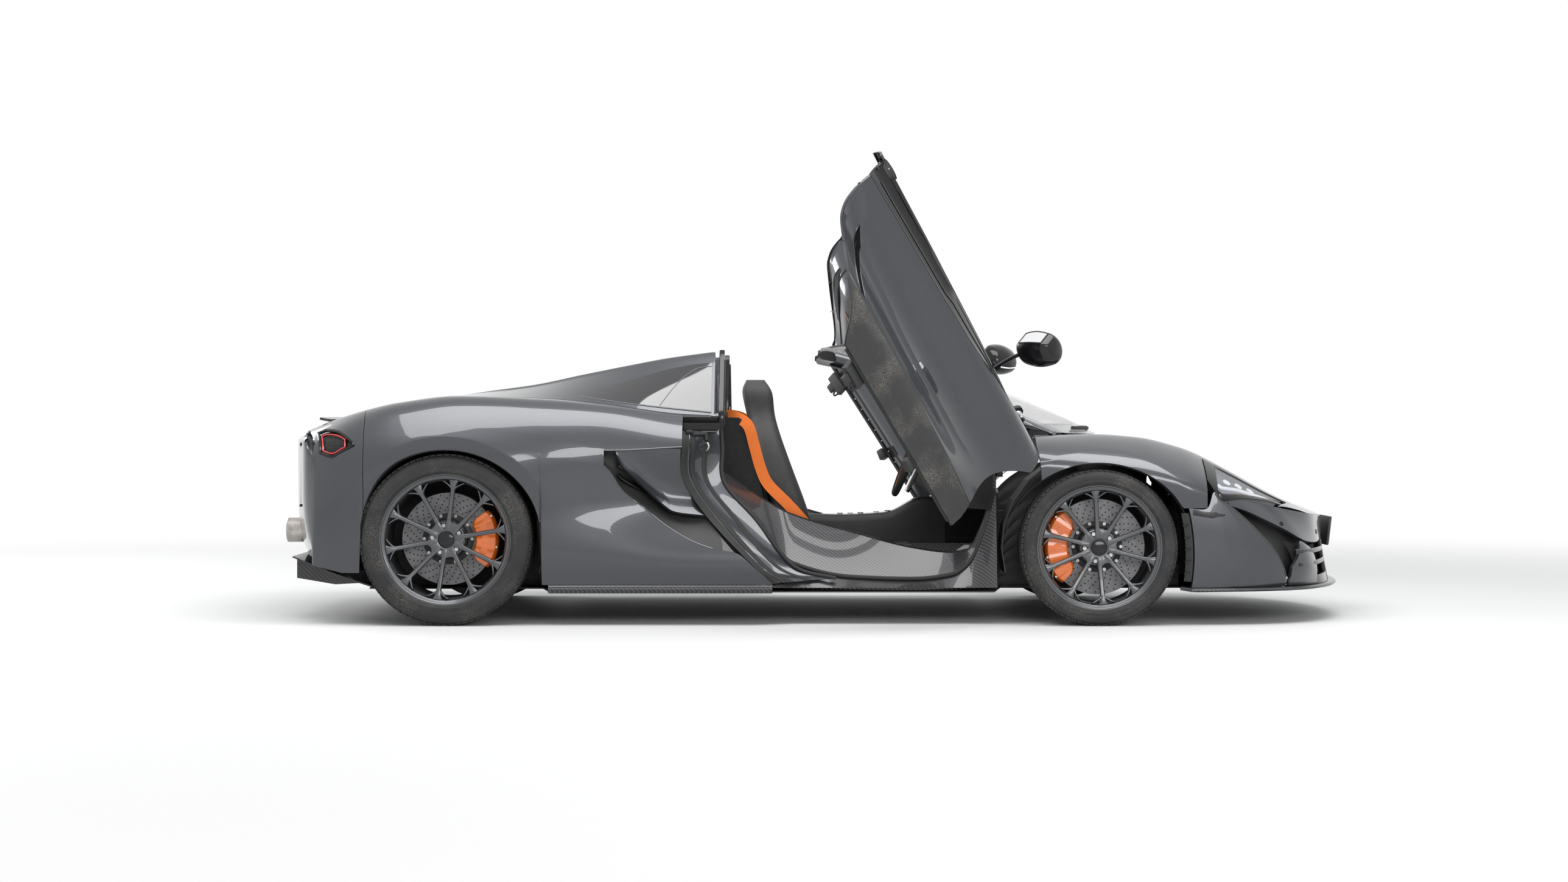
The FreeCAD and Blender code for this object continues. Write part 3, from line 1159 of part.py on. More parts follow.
def make_doors():
    """Each door: skin, upper blade, lower cladding, inner panel, mirror and hinge arm."""
    top_z = Curve([(-560, 829), (0, 804), (450, 781), (884, 762)])
    columns = 12
    pieces = {}
    blade = [door_row(top_z, columns), door_row(lambda s: SLOT_TOP_Z - 22 * max(0.0, s - 50) / 840, columns)]
    crest = [Vector(p.x, p.y + 46, p.z + 4) for p in blade[0]]
    upper = sheet([crest] + blade, 12)
    rows = [door_row(lambda s: SLOT_LOW_Z + (SLOT_TOP_Z - SLOT_LOW_Z - 5) * min(1.0, max(0.0, (s - SLOT_FRONT_S) / 60))
                     - 22 * max(0.0, s - 50) / 840, columns)]
    for z in (690, 610, 530, 450, 370):
        rows.append(door_row(z, columns))
    rows.append(door_row(lambda s: CLADDING_Z(s) + 2.4, columns))
    lower = [door_row(CLADDING_Z, columns), door_row(215, columns), door_row(142, columns)]
    pieces["door_cladding"] = sheet(lower, DOOR_SKIN_T)
    edge_depth = DOOR_SKIN_T + 0.9
    inner = []
    for z, depth in ((690, edge_depth + 2.6), (610, 58), (530, 56), (450, 56), (370, 56), (CLADDING_Z, 58), (215, 56),
                     (142, edge_depth)):
        row = door_row(z, columns)
        end_depth = depth if depth < 30 else edge_depth
        depths = [end_depth, min(depth, 34)] + [depth] * (columns - 2) + [end_depth]
        inner.append([p + Vector(0, d, 0) for p, d in zip(row, depths)])
    pieces["door_liner"] = sheet(inner, 4, inward=Vector(0, 0, 400))
    eye_low, eye_high = DOOR_HINGE + DOOR_ALONG * 16, DOOR_HINGE + DOOR_ALONG * 60
    eye = bush(eye_low, eye_high, DOOR_PIN_R + SHAFT_FIT, 17)
    arm = tube([between(eye_low, eye_high, 0.5) + Vector(-10, -12, -6), Vector(775, -772, 806), Vector(725, -792, 768)], 11, 6)
    upper = upper.fuse([eye, arm.cut(bar(eye_low - DOOR_ALONG * 40, eye_high + DOOR_ALONG * 40, 14))])
    joint = []
    for s in span(170, 830, 6):
        z = SLOT_TOP_Z - 22 * (s - 50) / 840
        joint.append([flank(s, z + 8) + Vector(0, 2.5, 0), flank(s, z - 20) + Vector(0, 2.5, 0)])
    pieces["door_skin"] = upper.fuse([sheet(joint, 8), sheet(rows, DOOR_SKIN_T)])
    seat = flank(520, top_z(520))
    foot = Vector(seat.x, seat.y + 24, seat.z + 3.6)
    stalk = tube([foot, foot + Vector(0, 0, 10), Vector(500, -880, 842), Vector(496, -940, 872)], 10, 6)
    shell = []
    for y, h, w in ((-905, 40, 60), (-930, 58, 92), (-990, 66, 104), (-1050, 56, 92), (-1078, 34, 58)):
        shell.append([Vector(500 + w * 0.75 * math.cos(a), y, 898 + h * math.sin(a))
                      for a in [2 * math.pi * k / 8 for k in range(8)]])
    pieces["mirror"] = rings(shell).fuse(stalk)
    for base, shape in pieces.items():
        right = opened(shape)
        add(f"{base}_right", right)
        add(f"{base}_left", mirrored(right))


def main():
    make_wheels()
    make_suspension()
    make_front_fenders()
    make_headlamps()
    make_front_lid()
    make_front_bumper()
    make_splitter()
    make_quarter_panels()
    make_rear_bumper()
    make_tail()
    make_tonneau()
    make_door_jambs()
    make_skirts()
    make_tub()
    make_windscreen()
    make_seats()
    make_cabin()
    make_cowl()
    make_roll_hoops()
    make_front_boot()
    make_door_hinges()
    make_engine()
    make_underbody()
    make_doors()
    os.makedirs("parts", exist_ok=True)
    for name, shape in NODES.items():
        shape.exportStep(f"parts/{name}.step")
        print(name, shape.isValid(), len(shape.Solids), len(shape.Faces), round(shape.Volume / 1e6, 2))


main()
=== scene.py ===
"""Looks of an open two-seat mid-engined sports car, laid over its packed construction frame.

Lengths are metres in the row frame: +X forwards, +Y to the car's left, +Z up. Body sections are given in
millimetres, as the construction gives them, and turned into metres where they are read.
"""
import logging
import math
from dataclasses import dataclass
from enum import Enum
from typing import Callable, ClassVar, Optional, Sequence, Union

import bpy
import numpy as np
from mathutils import Matrix, Vector


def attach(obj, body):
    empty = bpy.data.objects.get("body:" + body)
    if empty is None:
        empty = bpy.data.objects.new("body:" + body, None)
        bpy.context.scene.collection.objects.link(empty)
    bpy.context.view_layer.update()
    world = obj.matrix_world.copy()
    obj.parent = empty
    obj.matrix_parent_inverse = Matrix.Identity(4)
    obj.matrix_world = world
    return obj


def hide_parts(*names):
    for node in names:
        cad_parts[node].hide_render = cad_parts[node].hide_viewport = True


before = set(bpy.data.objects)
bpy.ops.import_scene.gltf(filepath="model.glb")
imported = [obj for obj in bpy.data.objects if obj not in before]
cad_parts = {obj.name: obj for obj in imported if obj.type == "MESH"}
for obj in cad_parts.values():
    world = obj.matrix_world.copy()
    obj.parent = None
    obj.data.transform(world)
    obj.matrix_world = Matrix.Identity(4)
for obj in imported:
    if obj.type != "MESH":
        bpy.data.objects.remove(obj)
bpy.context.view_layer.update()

LOG = logging.getLogger("car")
MM = 0.001
CHASSIS = "chassis"
MIRROR = np.array([1.0, -1.0, 1.0])
UP = np.array([0.0, 0.0, 1.0])
ACROSS = np.array([0.0, 1.0, 0.0])
REAR_WALL = -0.4207
FRONT_WALL = 0.7297
TUNNEL_TOP = 0.300
SEAT_Y = 0.345
DISC_INSET = 0.034
Number = Union[float, np.ndarray]


class Side(Enum):
    """Side of the car, with the sign of its Y."""

    RIGHT = -1
    LEFT = 1

    @property
    def label(self) -> str:
        """Word used in the frame's node and body names."""
        return self.name.lower()


class Axle(Enum):
    """Axle, with its place along the car, wheel centre Y, tyre radius, tyre width, rim and disc radius."""

    FRONT = (1.140, 0.836, 0.319, 0.232, 0.256, 0.197)
    REAR = (-1.530, 0.806, 0.351, 0.292, 0.269, 0.190)

    @property
    def label(self) -> str:
        """Word used in the frame's node and body names."""
        return self.name.lower()

    @property
    def arch(self) -> tuple[float, float]:
        """Half width and rise of the wheel arch above the axle."""
        return (0.385, 0.347) if self is Axle.FRONT else (0.392, 0.368)

    @property
    def bell_face(self) -> float:
        """Depth of the brake bell's outer face from the wheel's middle, less rim lip, hub and a fit."""
        return self.value[3] / 2 - 0.012 - 0.074 - 0.0003

    @property
    def spoke_turn(self) -> float:
        """Angle of the first spoke, in degrees from +X towards +Z."""
        return 22.0 if self is Axle.FRONT else 10.0


def write_sizes() -> None:
    """Bring the view layer up to date.
    """
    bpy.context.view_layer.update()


# Finishes

class Nodes:
    """Shader node tree that is built by short calls."""

    def __init__(self, material: bpy.types.Material) -> None:
        material.use_nodes = True
        self.tree = material.node_tree
        self.tree.nodes.clear()
        self.place: Optional[bpy.types.NodeSocket] = None

    def add(self, kind: str, inputs: Optional[dict] = None, **settings: object) -> bpy.types.Node:
        """Add one node.

        Args:
            kind: Node type without its ShaderNode prefix.
            inputs: Values or source sockets by input name or number.
            settings: Properties of the node.

        Returns:
            The new node.
        """
        node = self.tree.nodes.new("ShaderNode" + kind)
        for key, value in settings.items():
            setattr(node, key, value)
        for key, value in (inputs or {}).items():
            if isinstance(value, bpy.types.NodeSocket):
                self.tree.links.new(value, node.inputs[key])
            else:
                node.inputs[key].default_value = value
        return node

    def here(self) -> bpy.types.NodeSocket:
        """Object coordinates, the only ones that the finishes use."""
        if self.place is None:
            self.place = self.add("TexCoord").outputs["Object"]
        return self.place

    def noise(self, scale: float, detail: float = 3.0) -> bpy.types.NodeSocket:
        """Noise factor at a scale in cells per metre."""
        return self.add("TexNoise", {"Vector": self.here(), "Scale": scale, "Detail": detail}).outputs["Fac"]

    def ramp(self, factor: bpy.types.NodeSocket, low: float, high: float) -> bpy.types.NodeSocket:
        """Factor stretched so that low becomes 0 and high becomes 1."""
        inputs = {"Value": factor, "From Min": low, "From Max": high}
        return self.add("MapRange", inputs, clamp=True).outputs["Result"]

    def math(self, operation: str, *values: Union[float, bpy.types.NodeSocket]) -> bpy.types.NodeSocket:
        """Result of one maths node."""
        return self.add("Math", dict(enumerate(values)), operation=operation).outputs[0]


@dataclass(frozen=True)
class Finish:
    """A surface finish made of one principled shader with a few procedural layers.

    Lengths of the layers are given as cells per metre. A strength of 0 leaves the layer out.
    """

    name: str
    slot: str
    color: tuple[float, float, float]
    metallic: float = 0.0
    roughness: float = 0.5
    coat: float = 0.0
    flake: float = 0.0
    grain: float = 0.0
    grain_scale: float = 900.0
    wear: float = 0.0
    dust: float = 0.0
    weave: float = 0.0
    alpha: float = 1.0
    transmission: float = 0.0
    glow: float = 0.0
    film: float = 0.0
    brushed: float = 0.0
    fade: tuple[float, float] = (0.0, 0.0)
    specular: float = 0.5

    WEAVE_SCALE: ClassVar[float] = 210.0
    DUST_COLOR: ClassVar[tuple[float, float, float]] = (0.30, 0.27, 0.22)

    def material(self) -> bpy.types.Material:
        """Make the material once and give it back afterwards."""
        known = bpy.data.materials.get(self.name)
        if known is not None:
            return known
        material = bpy.data.materials.new(self.name)
        nodes = Nodes(material)
        shader = nodes.add("BsdfPrincipled", {
            "Base Color": (*self.color, 1.0), "Metallic": self.metallic, "Roughness": self.roughness,
            "Coat Weight": self.coat, "Coat Roughness": 0.03, "Transmission Weight": self.transmission,
            "Alpha": self.alpha, "Specular IOR Level": self.specular,
        })
        if self.glow:
            shader.inputs["Emission Color"].default_value = (*self.color, 1.0)
            shader.inputs["Emission Strength"].default_value = self.glow
        if self.film:
            shader.inputs["Thin Film Thickness"].default_value = self.film
        color = self._color(nodes)
        if color is not None:
            nodes.tree.links.new(color, shader.inputs["Base Color"])
        rough = self._roughness(nodes)
        if rough is not None:
            nodes.tree.links.new(rough, shader.inputs["Roughness"])
        normal = self._normal(nodes)
        if normal is not None:
            nodes.tree.links.new(normal, shader.inputs["Normal"])
        if self.fade[1]:
            parts = nodes.add("SeparateXYZ", {"Vector": nodes.here()})
            far = nodes.math("SQRT",
                             nodes.math("ADD", *(nodes.math("MULTIPLY", parts.outputs[k], parts.outputs[k])
                                                         for k in ("X", "Y"))))
            inputs = {"Value": far, "From Min": self.fade[0], "From Max": self.fade[1], "To Min": 1.0,
                      "To Max": 0.0}
            clear = nodes.add("MapRange", inputs, interpolation_type="SMOOTHSTEP")
            nodes.tree.links.new(clear.outputs["Result"], shader.inputs["Alpha"])
        output = nodes.add("OutputMaterial")
        nodes.tree.links.new(shader.outputs["BSDF"], output.inputs["Surface"])
        material.diffuse_color = (*self.color, 1.0)
        return material

    def _color(self, nodes: Nodes) -> Optional[bpy.types.NodeSocket]:
        """Base colour with twill, flake, wear and dust, or None where it is plain."""
        color: Optional[bpy.types.NodeSocket] = None
        if self.weave:
            mask = self._twill(nodes)
            light = tuple(min(1.0, c * (1 + 6 * self.weave) + 0.02) for c in self.color)
            mix = nodes.add("MixRGB", {"Fac": mask, "Color1": (*self.color, 1.0), "Color2": (*light, 1.0)})
            color = mix.outputs[0]
        if self.flake:
            cells = nodes.add("TexVoronoi", {"Vector": nodes.here(), "Scale": 2600.0})
            amount = nodes.ramp(cells.outputs["Color"], 0.72, 1.0)
            bright = tuple(min(1.0, c * 2.6 + 0.03) for c in self.color)
            mix = nodes.add("MixRGB", {"Fac": nodes.math("MULTIPLY", amount, self.flake),
                                       "Color1": (*self.color, 1.0), "Color2": (*bright, 1.0)})
            color = mix.outputs[0]
        if self.wear:
            darker = tuple(c * (1 - self.wear) for c in self.color)
            source = color if color is not None else (*self.color, 1.0)
            spots = nodes.ramp(nodes.noise(34.0, 6.0), 0.42, 0.66)
            mix = nodes.add("MixRGB", {"Fac": spots, "Color1": source, "Color2": (*darker, 1.0)})
            color = mix.outputs[0]
        if self.dust:
            source = color if color is not None else (*self.color, 1.0)
            broad = nodes.ramp(nodes.noise(7.0, 8.0), 0.46, 0.72)
            fine = nodes.ramp(nodes.noise(240.0, 4.0), 0.45, 0.62)
            splash = nodes.math("MULTIPLY", nodes.math("MULTIPLY", broad, fine), self.dust)
            mix = nodes.add("MixRGB", {"Fac": splash, "Color1": source, "Color2": (*self.DUST_COLOR, 1.0)})
            color = mix.outputs[0]
        return color

    def _twill(self, nodes: Nodes) -> bpy.types.NodeSocket:
        """Mask of a two-by-two twill, laid on the two widest directions."""
        parts = nodes.add("SeparateXYZ", {"Vector": nodes.here()})
        across = nodes.math("ADD", parts.outputs["Y"], parts.outputs["Z"])
        warp = nodes.math("FLOOR", nodes.math("MULTIPLY", parts.outputs["X"], self.WEAVE_SCALE))
        weft = nodes.math("FLOOR", nodes.math("MULTIPLY", across, self.WEAVE_SCALE))
        step = nodes.math("FLOORED_MODULO", nodes.math("ADD", warp, weft), 4.0)
        return nodes.math("MULTIPLY", nodes.math("LESS_THAN", step, 2.0), 0.8)

    def _roughness(self, nodes: Nodes) -> Optional[bpy.types.NodeSocket]:
        """Roughness that varies with wear, dust or brushing, or None where it is even."""
        spread = max(self.wear, self.dust) * 0.3
        if self.brushed:
            stretched = nodes.add("Mapping", {"Vector": nodes.here(), "Scale": (12.0, 900.0, 900.0)})
            lines = nodes.add("TexNoise", {"Vector": stretched.outputs[0], "Scale": 1.0, "Detail": 4.0})
            low, high = self.roughness - self.brushed, self.roughness + self.brushed
            inputs = {"Value": lines.outputs["Fac"], "From Min": 0.3, "From Max": 0.7, "To Min": low,
                      "To Max": high}
            return nodes.add("MapRange", inputs).outputs["Result"]
        if not spread:
            return None
        inputs = {"Value": nodes.noise(18.0, 6.0), "From Min": 0.3, "From Max": 0.7,
                  "To Min": self.roughness, "To Max": min(1.0, self.roughness + spread)}
        return nodes.add("MapRange", inputs).outputs["Result"]

    def _normal(self, nodes: Nodes) -> Optional[bpy.types.NodeSocket]:
        """Bump of the surface's grain, or None where it is smooth."""
        if not self.grain:
            return None
        cells = nodes.add("TexVoronoi", {"Vector": nodes.here(), "Scale": self.grain_scale})
        bump = nodes.add("Bump", {"Height": cells.outputs["Distance"], "Strength": self.grain,
                                  "Distance": 0.0006})
        return bump.outputs["Normal"]


class Look:
    """Every finish of the car, by the job it does."""

    PAINT = Finish("dark grey metallic paint", "paint", (0.036, 0.039, 0.045), 0.6, 0.33, 0.9, flake=0.8)
    CARBON = Finish("clear-coated carbon twill", "carbon", (0.008, 0.008, 0.009), 0.3, 0.4, 0.55, weave=0.5)
    GLOSS = Finish("gloss black", "black_trim", (0.005, 0.005, 0.006), 0.0, 0.16, 0.2, grain=0.02,
                   grain_scale=40.0,
                   specular=0.3)
    PLASTIC = Finish("grained black plastic", "black_plastic", (0.018, 0.018, 0.019), 0.0, 0.55, grain=0.5)
    SEAL = Finish("rubber seal", "black_plastic", (0.012, 0.012, 0.012), 0.0, 0.72, grain=0.25,
                  grain_scale=1500.0)
    CLADDING = Finish("splashed black cladding", "black_plastic", (0.016, 0.016, 0.017), 0.0, 0.46, 0.15,
                      grain=0.2, dust=0.55)
    TYRE = Finish("tyre rubber", "tyre", (0.017, 0.017, 0.018), 0.0, 0.78, grain=0.3,
                  grain_scale=700.0, dust=0.28)
    WHEEL = Finish("satin dark grey wheel", "wheel_alloy", (0.085, 0.087, 0.092), 0.75, 0.36, 0.35, flake=0.3)
    STEEL = Finish("zinc-plated screw", "bare_alloy", (0.48, 0.48, 0.47), 1.0, 0.32, wear=0.3)
    DISC = Finish("carbon ceramic disc", "disc_ceramic", (0.17, 0.17, 0.175), 0.35, 0.42,
                  wear=0.25, brushed=0.08)
    # Near-black painted shade for the insides of the disc's drilled holes and the exhaust bores, and for the
    # space behind the rear mesh.
    HOLE = Finish("shadow in a hole", "disc_ceramic", (0.006, 0.006, 0.006), 0.0, 0.9, wear=0.2)
    CALIPER = Finish("orange caliper paint", "caliper_orange", (0.83, 0.17, 0.018), 0.0, 0.3, 0.8, grain=0.03,
                     grain_scale=300.0)
    ALLOY = Finish("cast alloy", "bare_alloy", (0.42, 0.43, 0.44), 0.95, 0.42, grain=0.3, wear=0.35)
    BLACK_METAL = Finish("black coated steel", "bare_alloy", (0.03, 0.03, 0.032), 0.5, 0.5,
                         grain=0.2, wear=0.2)
    GLASS = Finish("clear glass", "glass_clear", (0.86, 0.92, 0.90), 0.0, 0.02, transmission=1.0, alpha=0.30,
                   grain=0.002, grain_scale=3.0)
    DARK_GLASS = Finish("black tinted glass", "glass_clear", (0.01, 0.01, 0.012), 0.0, 0.05, 1.0, grain=0.004,
                        grain_scale=4.0)
    LENS = Finish("smoked lamp lens", "lamp_lens", (0.30, 0.34, 0.38), 0.0, 0.03, 1.0, alpha=0.28, grain=0.01,
                  grain_scale=30.0, film=380.0)
    LAMP_BLACK = Finish("lamp housing", "lamp_lens", (0.012, 0.013, 0.016), 0.4, 0.24, 0.4,
                        grain=0.1, film=320.0)
    LAMP_LIGHT = Finish("lamp element", "lamp_lens", (0.82, 0.86, 0.9), 0.2, 0.12, 0.5, grain=0.5, glow=0.5)
    RED = Finish("red lamp lens", "lamp_red", (0.42, 0.008, 0.008), 0.0, 0.1, 1.0, grain=0.25,
                 grain_scale=500.0)
    LEATHER = Finish("black leather", "leather", (0.018, 0.018, 0.019), 0.0, 0.5, grain=0.7,
                     grain_scale=1300.0,
                     wear=0.2)
    SUEDE = Finish("black suede", "leather", (0.014, 0.014, 0.015), 0.0, 0.92, grain=0.5,
                   grain_scale=4200.0, wear=0.3)
    STITCH = Finish("orange thread", "leather", (0.86, 0.2, 0.02), 0.0, 0.62, grain=0.4, grain_scale=3000.0)
    WEBBING = Finish("orange belt webbing", "leather", (0.78, 0.17, 0.02), 0.0, 0.7, grain=0.8,
                     grain_scale=1600.0)
    SCREEN = Finish("display glass", "leather", (0.01, 0.012, 0.016), 0.0, 0.07, 1.0, grain=0.003,
                    grain_scale=5.0)
    EXHAUST = Finish("exhaust steel", "exhaust_steel", (0.46, 0.43, 0.40), 1.0, 0.3, brushed=0.1, wear=0.3)
    MIRROR = Finish("mirror glass", "glass_clear", (0.9, 0.91, 0.92), 1.0, 0.02, grain=0.003, grain_scale=3.0)
    PLATE = Finish("blank plate", "black_trim", (0.72, 0.72, 0.70), 0.0, 0.4, grain=0.1, wear=0.1)


# Mesh building

@dataclass
class Form:
    """Vertices and faces of a mesh that is being put together."""

    vertices: np.ndarray
    faces: list[tuple[int, ...]]

    def joined(self, *others: "Form") -> "Form":
        """This form with others in one mesh."""
        points, faces = [self.vertices], list(self.faces)
        count = len(self.vertices)
        for other in others:
            faces += [tuple(i + count for i in f) for f in other.faces]
            points.append(other.vertices)
            count += len(other.vertices)
        return Form(np.concatenate(points), faces)

    def mirrored(self) -> "Form":
        """This form on the other side of the car."""
        return Form(self.vertices * MIRROR, [f[::-1] for f in self.faces])

    def on(self, side: Side) -> "Form":
        """This right-hand form, or its mirror image for the left side."""
        return self if side is Side.RIGHT else self.mirrored()

    def moved(self, matrix: Matrix) -> "Form":
        """This form through a placement."""
        m = np.array(matrix)
        return Form(self.vertices @ m[:3, :3].T + m[:3, 3], self.faces)

    def both(self) -> "Form":
        """This right-hand form together with its mirror image."""
        return self.joined(self.mirrored())


def grid_form(grid: np.ndarray, around: bool = False,
              keep: Optional[Callable[[int, int], bool]] = None) -> Form:
    """Quads over a grid of points.

    Args:
        grid: Points, shaped (rows, columns, 3).
        around: Whether the last column joins the first.
        keep: Tells which cells exist.

    Returns:
        The open surface.
    """
    rows, cols = grid.shape[:2]
    faces = []
    for i in range(rows - 1):
        for j in range(cols if around else cols - 1):
            if keep is None or keep(i, j):
                k = (j + 1) % cols
                faces.append((i * cols + j, (i + 1) * cols + j, (i + 1) * cols + k, i * cols + k))
    return Form(grid.reshape(-1, 3), faces)


def loft(rings: Sequence[np.ndarray], caps: bool = True) -> Form:
    """Closed skin through rings of as many points, with flat ends."""
    grid = np.array(rings, dtype=float)
    form = grid_form(grid, around=True)
    if caps:
        count = grid.shape[1]
        last = (grid.shape[0] - 1) * count
        form.faces.append(tuple(range(count)))
        form.faces.append(tuple(last + k for k in reversed(range(count))))
    return form


def turned(profile: Sequence[tuple[float, float]], centre: Sequence[float], steps: int = 96,
           arc: tuple[float, float] = (0.0, 360.0)) -> Form:
    """Surface of a closed (radius, y) profile turned about an axle along Y.

    Args:
        profile: Closed outline, its points in order.
        centre: Middle of the wheel.
        steps: Divisions of the turn.
        arc: First and last angle in degrees, from +X towards +Z.

    Returns:
        The turned form, closed at its ends where it is not a whole turn.
    """
    whole = abs(arc[1] - arc[0]) > 359.9
    angles = np.radians(np.linspace(arc[0], arc[1], steps + 1))
    radius = np.array([p[0] for p in profile])
    across = np.array([p[1] for p in profile])
    rings = [np.stack([centre[0] + radius * math.cos(a), centre[1] + across,
                       centre[2] + radius * math.sin(a)], 1)
             for a in angles]
    return loft(rings, caps=not whole)


def pipe(path: np.ndarray, radius: Union[float, Sequence[float]], sides: int = 12, flat: float = 1.0) -> Form:
    """Round or flattened bar along a path.

    Args:
        path: Points, shaped (count, 3).
        radius: One radius, or one for each point.
        sides: Facets round the bar.
        flat: Height of the cross section over its width.

    Returns:
        The closed bar.
    """
    path = np.asarray(path, dtype=float)
    radii = np.broadcast_to(np.asarray(radius, dtype=float), (len(path),))
    tangents = np.gradient(path, axis=0)
    tangents /= np.linalg.norm(tangents, axis=1)[:, None]
    reference = np.array([0.13, 0.21, 1.0]) if abs(tangents[0, 2]) < 0.9 else np.array([1.0, 0.21, 0.13])
    turns = np.linspace(0, 2 * math.pi, sides, endpoint=False)
    rings = []
    for point, tangent, r in zip(path, tangents, radii):
        across = np.cross(tangent, reference)
        across /= np.linalg.norm(across)
        up = np.cross(across, tangent)
        rings.append(point + r * (np.cos(turns)[:, None] * across + flat * np.sin(turns)[:, None] * up))
    return loft(rings)


def block(low: Sequence[float], high: Sequence[float]) -> Form:
    """Plain box between two corners."""
    (x0, y0, z0), (x1, y1, z1) = low, high
    points = np.array([[x, y, z] for x in (x0, x1) for y in (y0, y1) for z in (z0, z1)], dtype=float)
    return Form(points, [(0, 1, 3, 2), (4, 6, 7, 5), (0, 4, 5, 1), (2, 3, 7, 6), (0, 2, 6, 4), (1, 5, 7, 3)])


def extruded(outline: Sequence[tuple[float, float]], y0: float, y1: float) -> Form:
    """Prism with a side-view outline of (x, z) points between two widths."""
    rings = [np.array([[x, y, z] for x, z in outline]) for y in (y0, y1)]
    return loft(rings)


def catmull(a: np.ndarray, b: np.ndarray, c: np.ndarray, d: np.ndarray, t: Number) -> np.ndarray:
    """Catmull-Rom point a share t of the way from b to c."""
    return 0.5 * (2 * b + (c - a) * t + (2 * a - 5 * b + 4 * c - d) * t ** 2
                  + (3 * b - a - 3 * c + d) * t ** 3)


def bezier(points: Sequence[Sequence[float]], count: int) -> np.ndarray:
    """Smooth path of count points through given points, by Catmull-Rom spans."""
    pts = np.asarray(points, dtype=float)
    ends = np.concatenate([[2 * pts[0] - pts[1]], pts, [2 * pts[-1] - pts[-2]]])
    places = np.linspace(0, len(pts) - 1 - 1e-9, count)
    rows = []
    for t in places:
        i = int(t)
        rows.append(catmull(*ends[i:i + 4], t - i))
    return np.array(rows)


def between(a: np.ndarray, b: np.ndarray, t: Number) -> np.ndarray:
    """Point or points a share t of the way from a to b."""
    return a + (b - a) * t


@dataclass
class Dress:
    """Turns forms into finished objects that ride on the car's bodies."""

    made: int = 0

    def put(self, name: str, form: Form, look: Finish, body: str = CHASSIS, replaces: Sequence[str] = (),
            solid: float = 0.0, bevel: float = 0.0, angle: float = 32.0, smooth: int = 0,
            padded: Optional[float] = None) -> bpy.types.Object:
        """Make one object.

        Args:
            name: Name of the object.
            form: Its mesh, in the row frame.
            look: Its finish.
            body: Body that carries it.
            replaces: Frame nodes that it stands for.
            solid: Thickness given to an open surface, on its hidden side.
            bevel: Width of the rounding on its sharp edges.
            angle: Edges sharper than this many degrees stay crisp.
            smooth: Levels of subdivision.
            padded: Fill of a stuffed piece, or None; not used.

        Returns:
            The object, with its modifiers baked in.
        """
        name = name.replace(" ", "_")
        mesh = bpy.data.meshes.new(name)
        mesh.from_pydata(form.vertices.tolist(), [], [list(f) for f in form.faces])
        mesh.validate()
        mesh.materials.append(look.material())
        obj = bpy.data.objects.new(name, mesh)
        bpy.context.scene.collection.objects.link(obj)
        if smooth:
            part = obj.modifiers.new("subdivision", "SUBSURF")
            part.levels = part.render_levels = smooth
        if solid:
            part = obj.modifiers.new("thickness", "SOLIDIFY")
            part.thickness = solid
            part.offset = -1.0
            part.use_even_offset = False
        if bevel:
            part = obj.modifiers.new("edges", "BEVEL")
            part.width = bevel
            part.segments = 2
            part.limit_method = "ANGLE"
            part.angle_limit = math.radians(50.0)
            part.harden_normals = False
        self.bake(obj)
        obj.data.shade_smooth()
        obj.data.set_sharp_from_angle(angle=math.radians(angle))
        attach(obj, body)
        if replaces:
            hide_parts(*replaces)
        self.made += 1
        return obj

    @staticmethod
    def bake(obj: bpy.types.Object) -> None:
        """Put the result of an object's modifiers into its mesh."""
        if not obj.modifiers:
            return
        graph = bpy.context.evaluated_depsgraph_get()
        mesh = bpy.data.meshes.new_from_object(obj.evaluated_get(graph))
        obj.modifiers.clear()
        obj.data = mesh

    @staticmethod
    def keep(node: str, look: Finish) -> None:
        """Show a frame node as it is, in a finish of its own."""
        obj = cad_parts[node]
        obj.data.materials.clear()
        obj.data.materials.append(look.material())


DRESS = Dress()


# Geometry Nodes

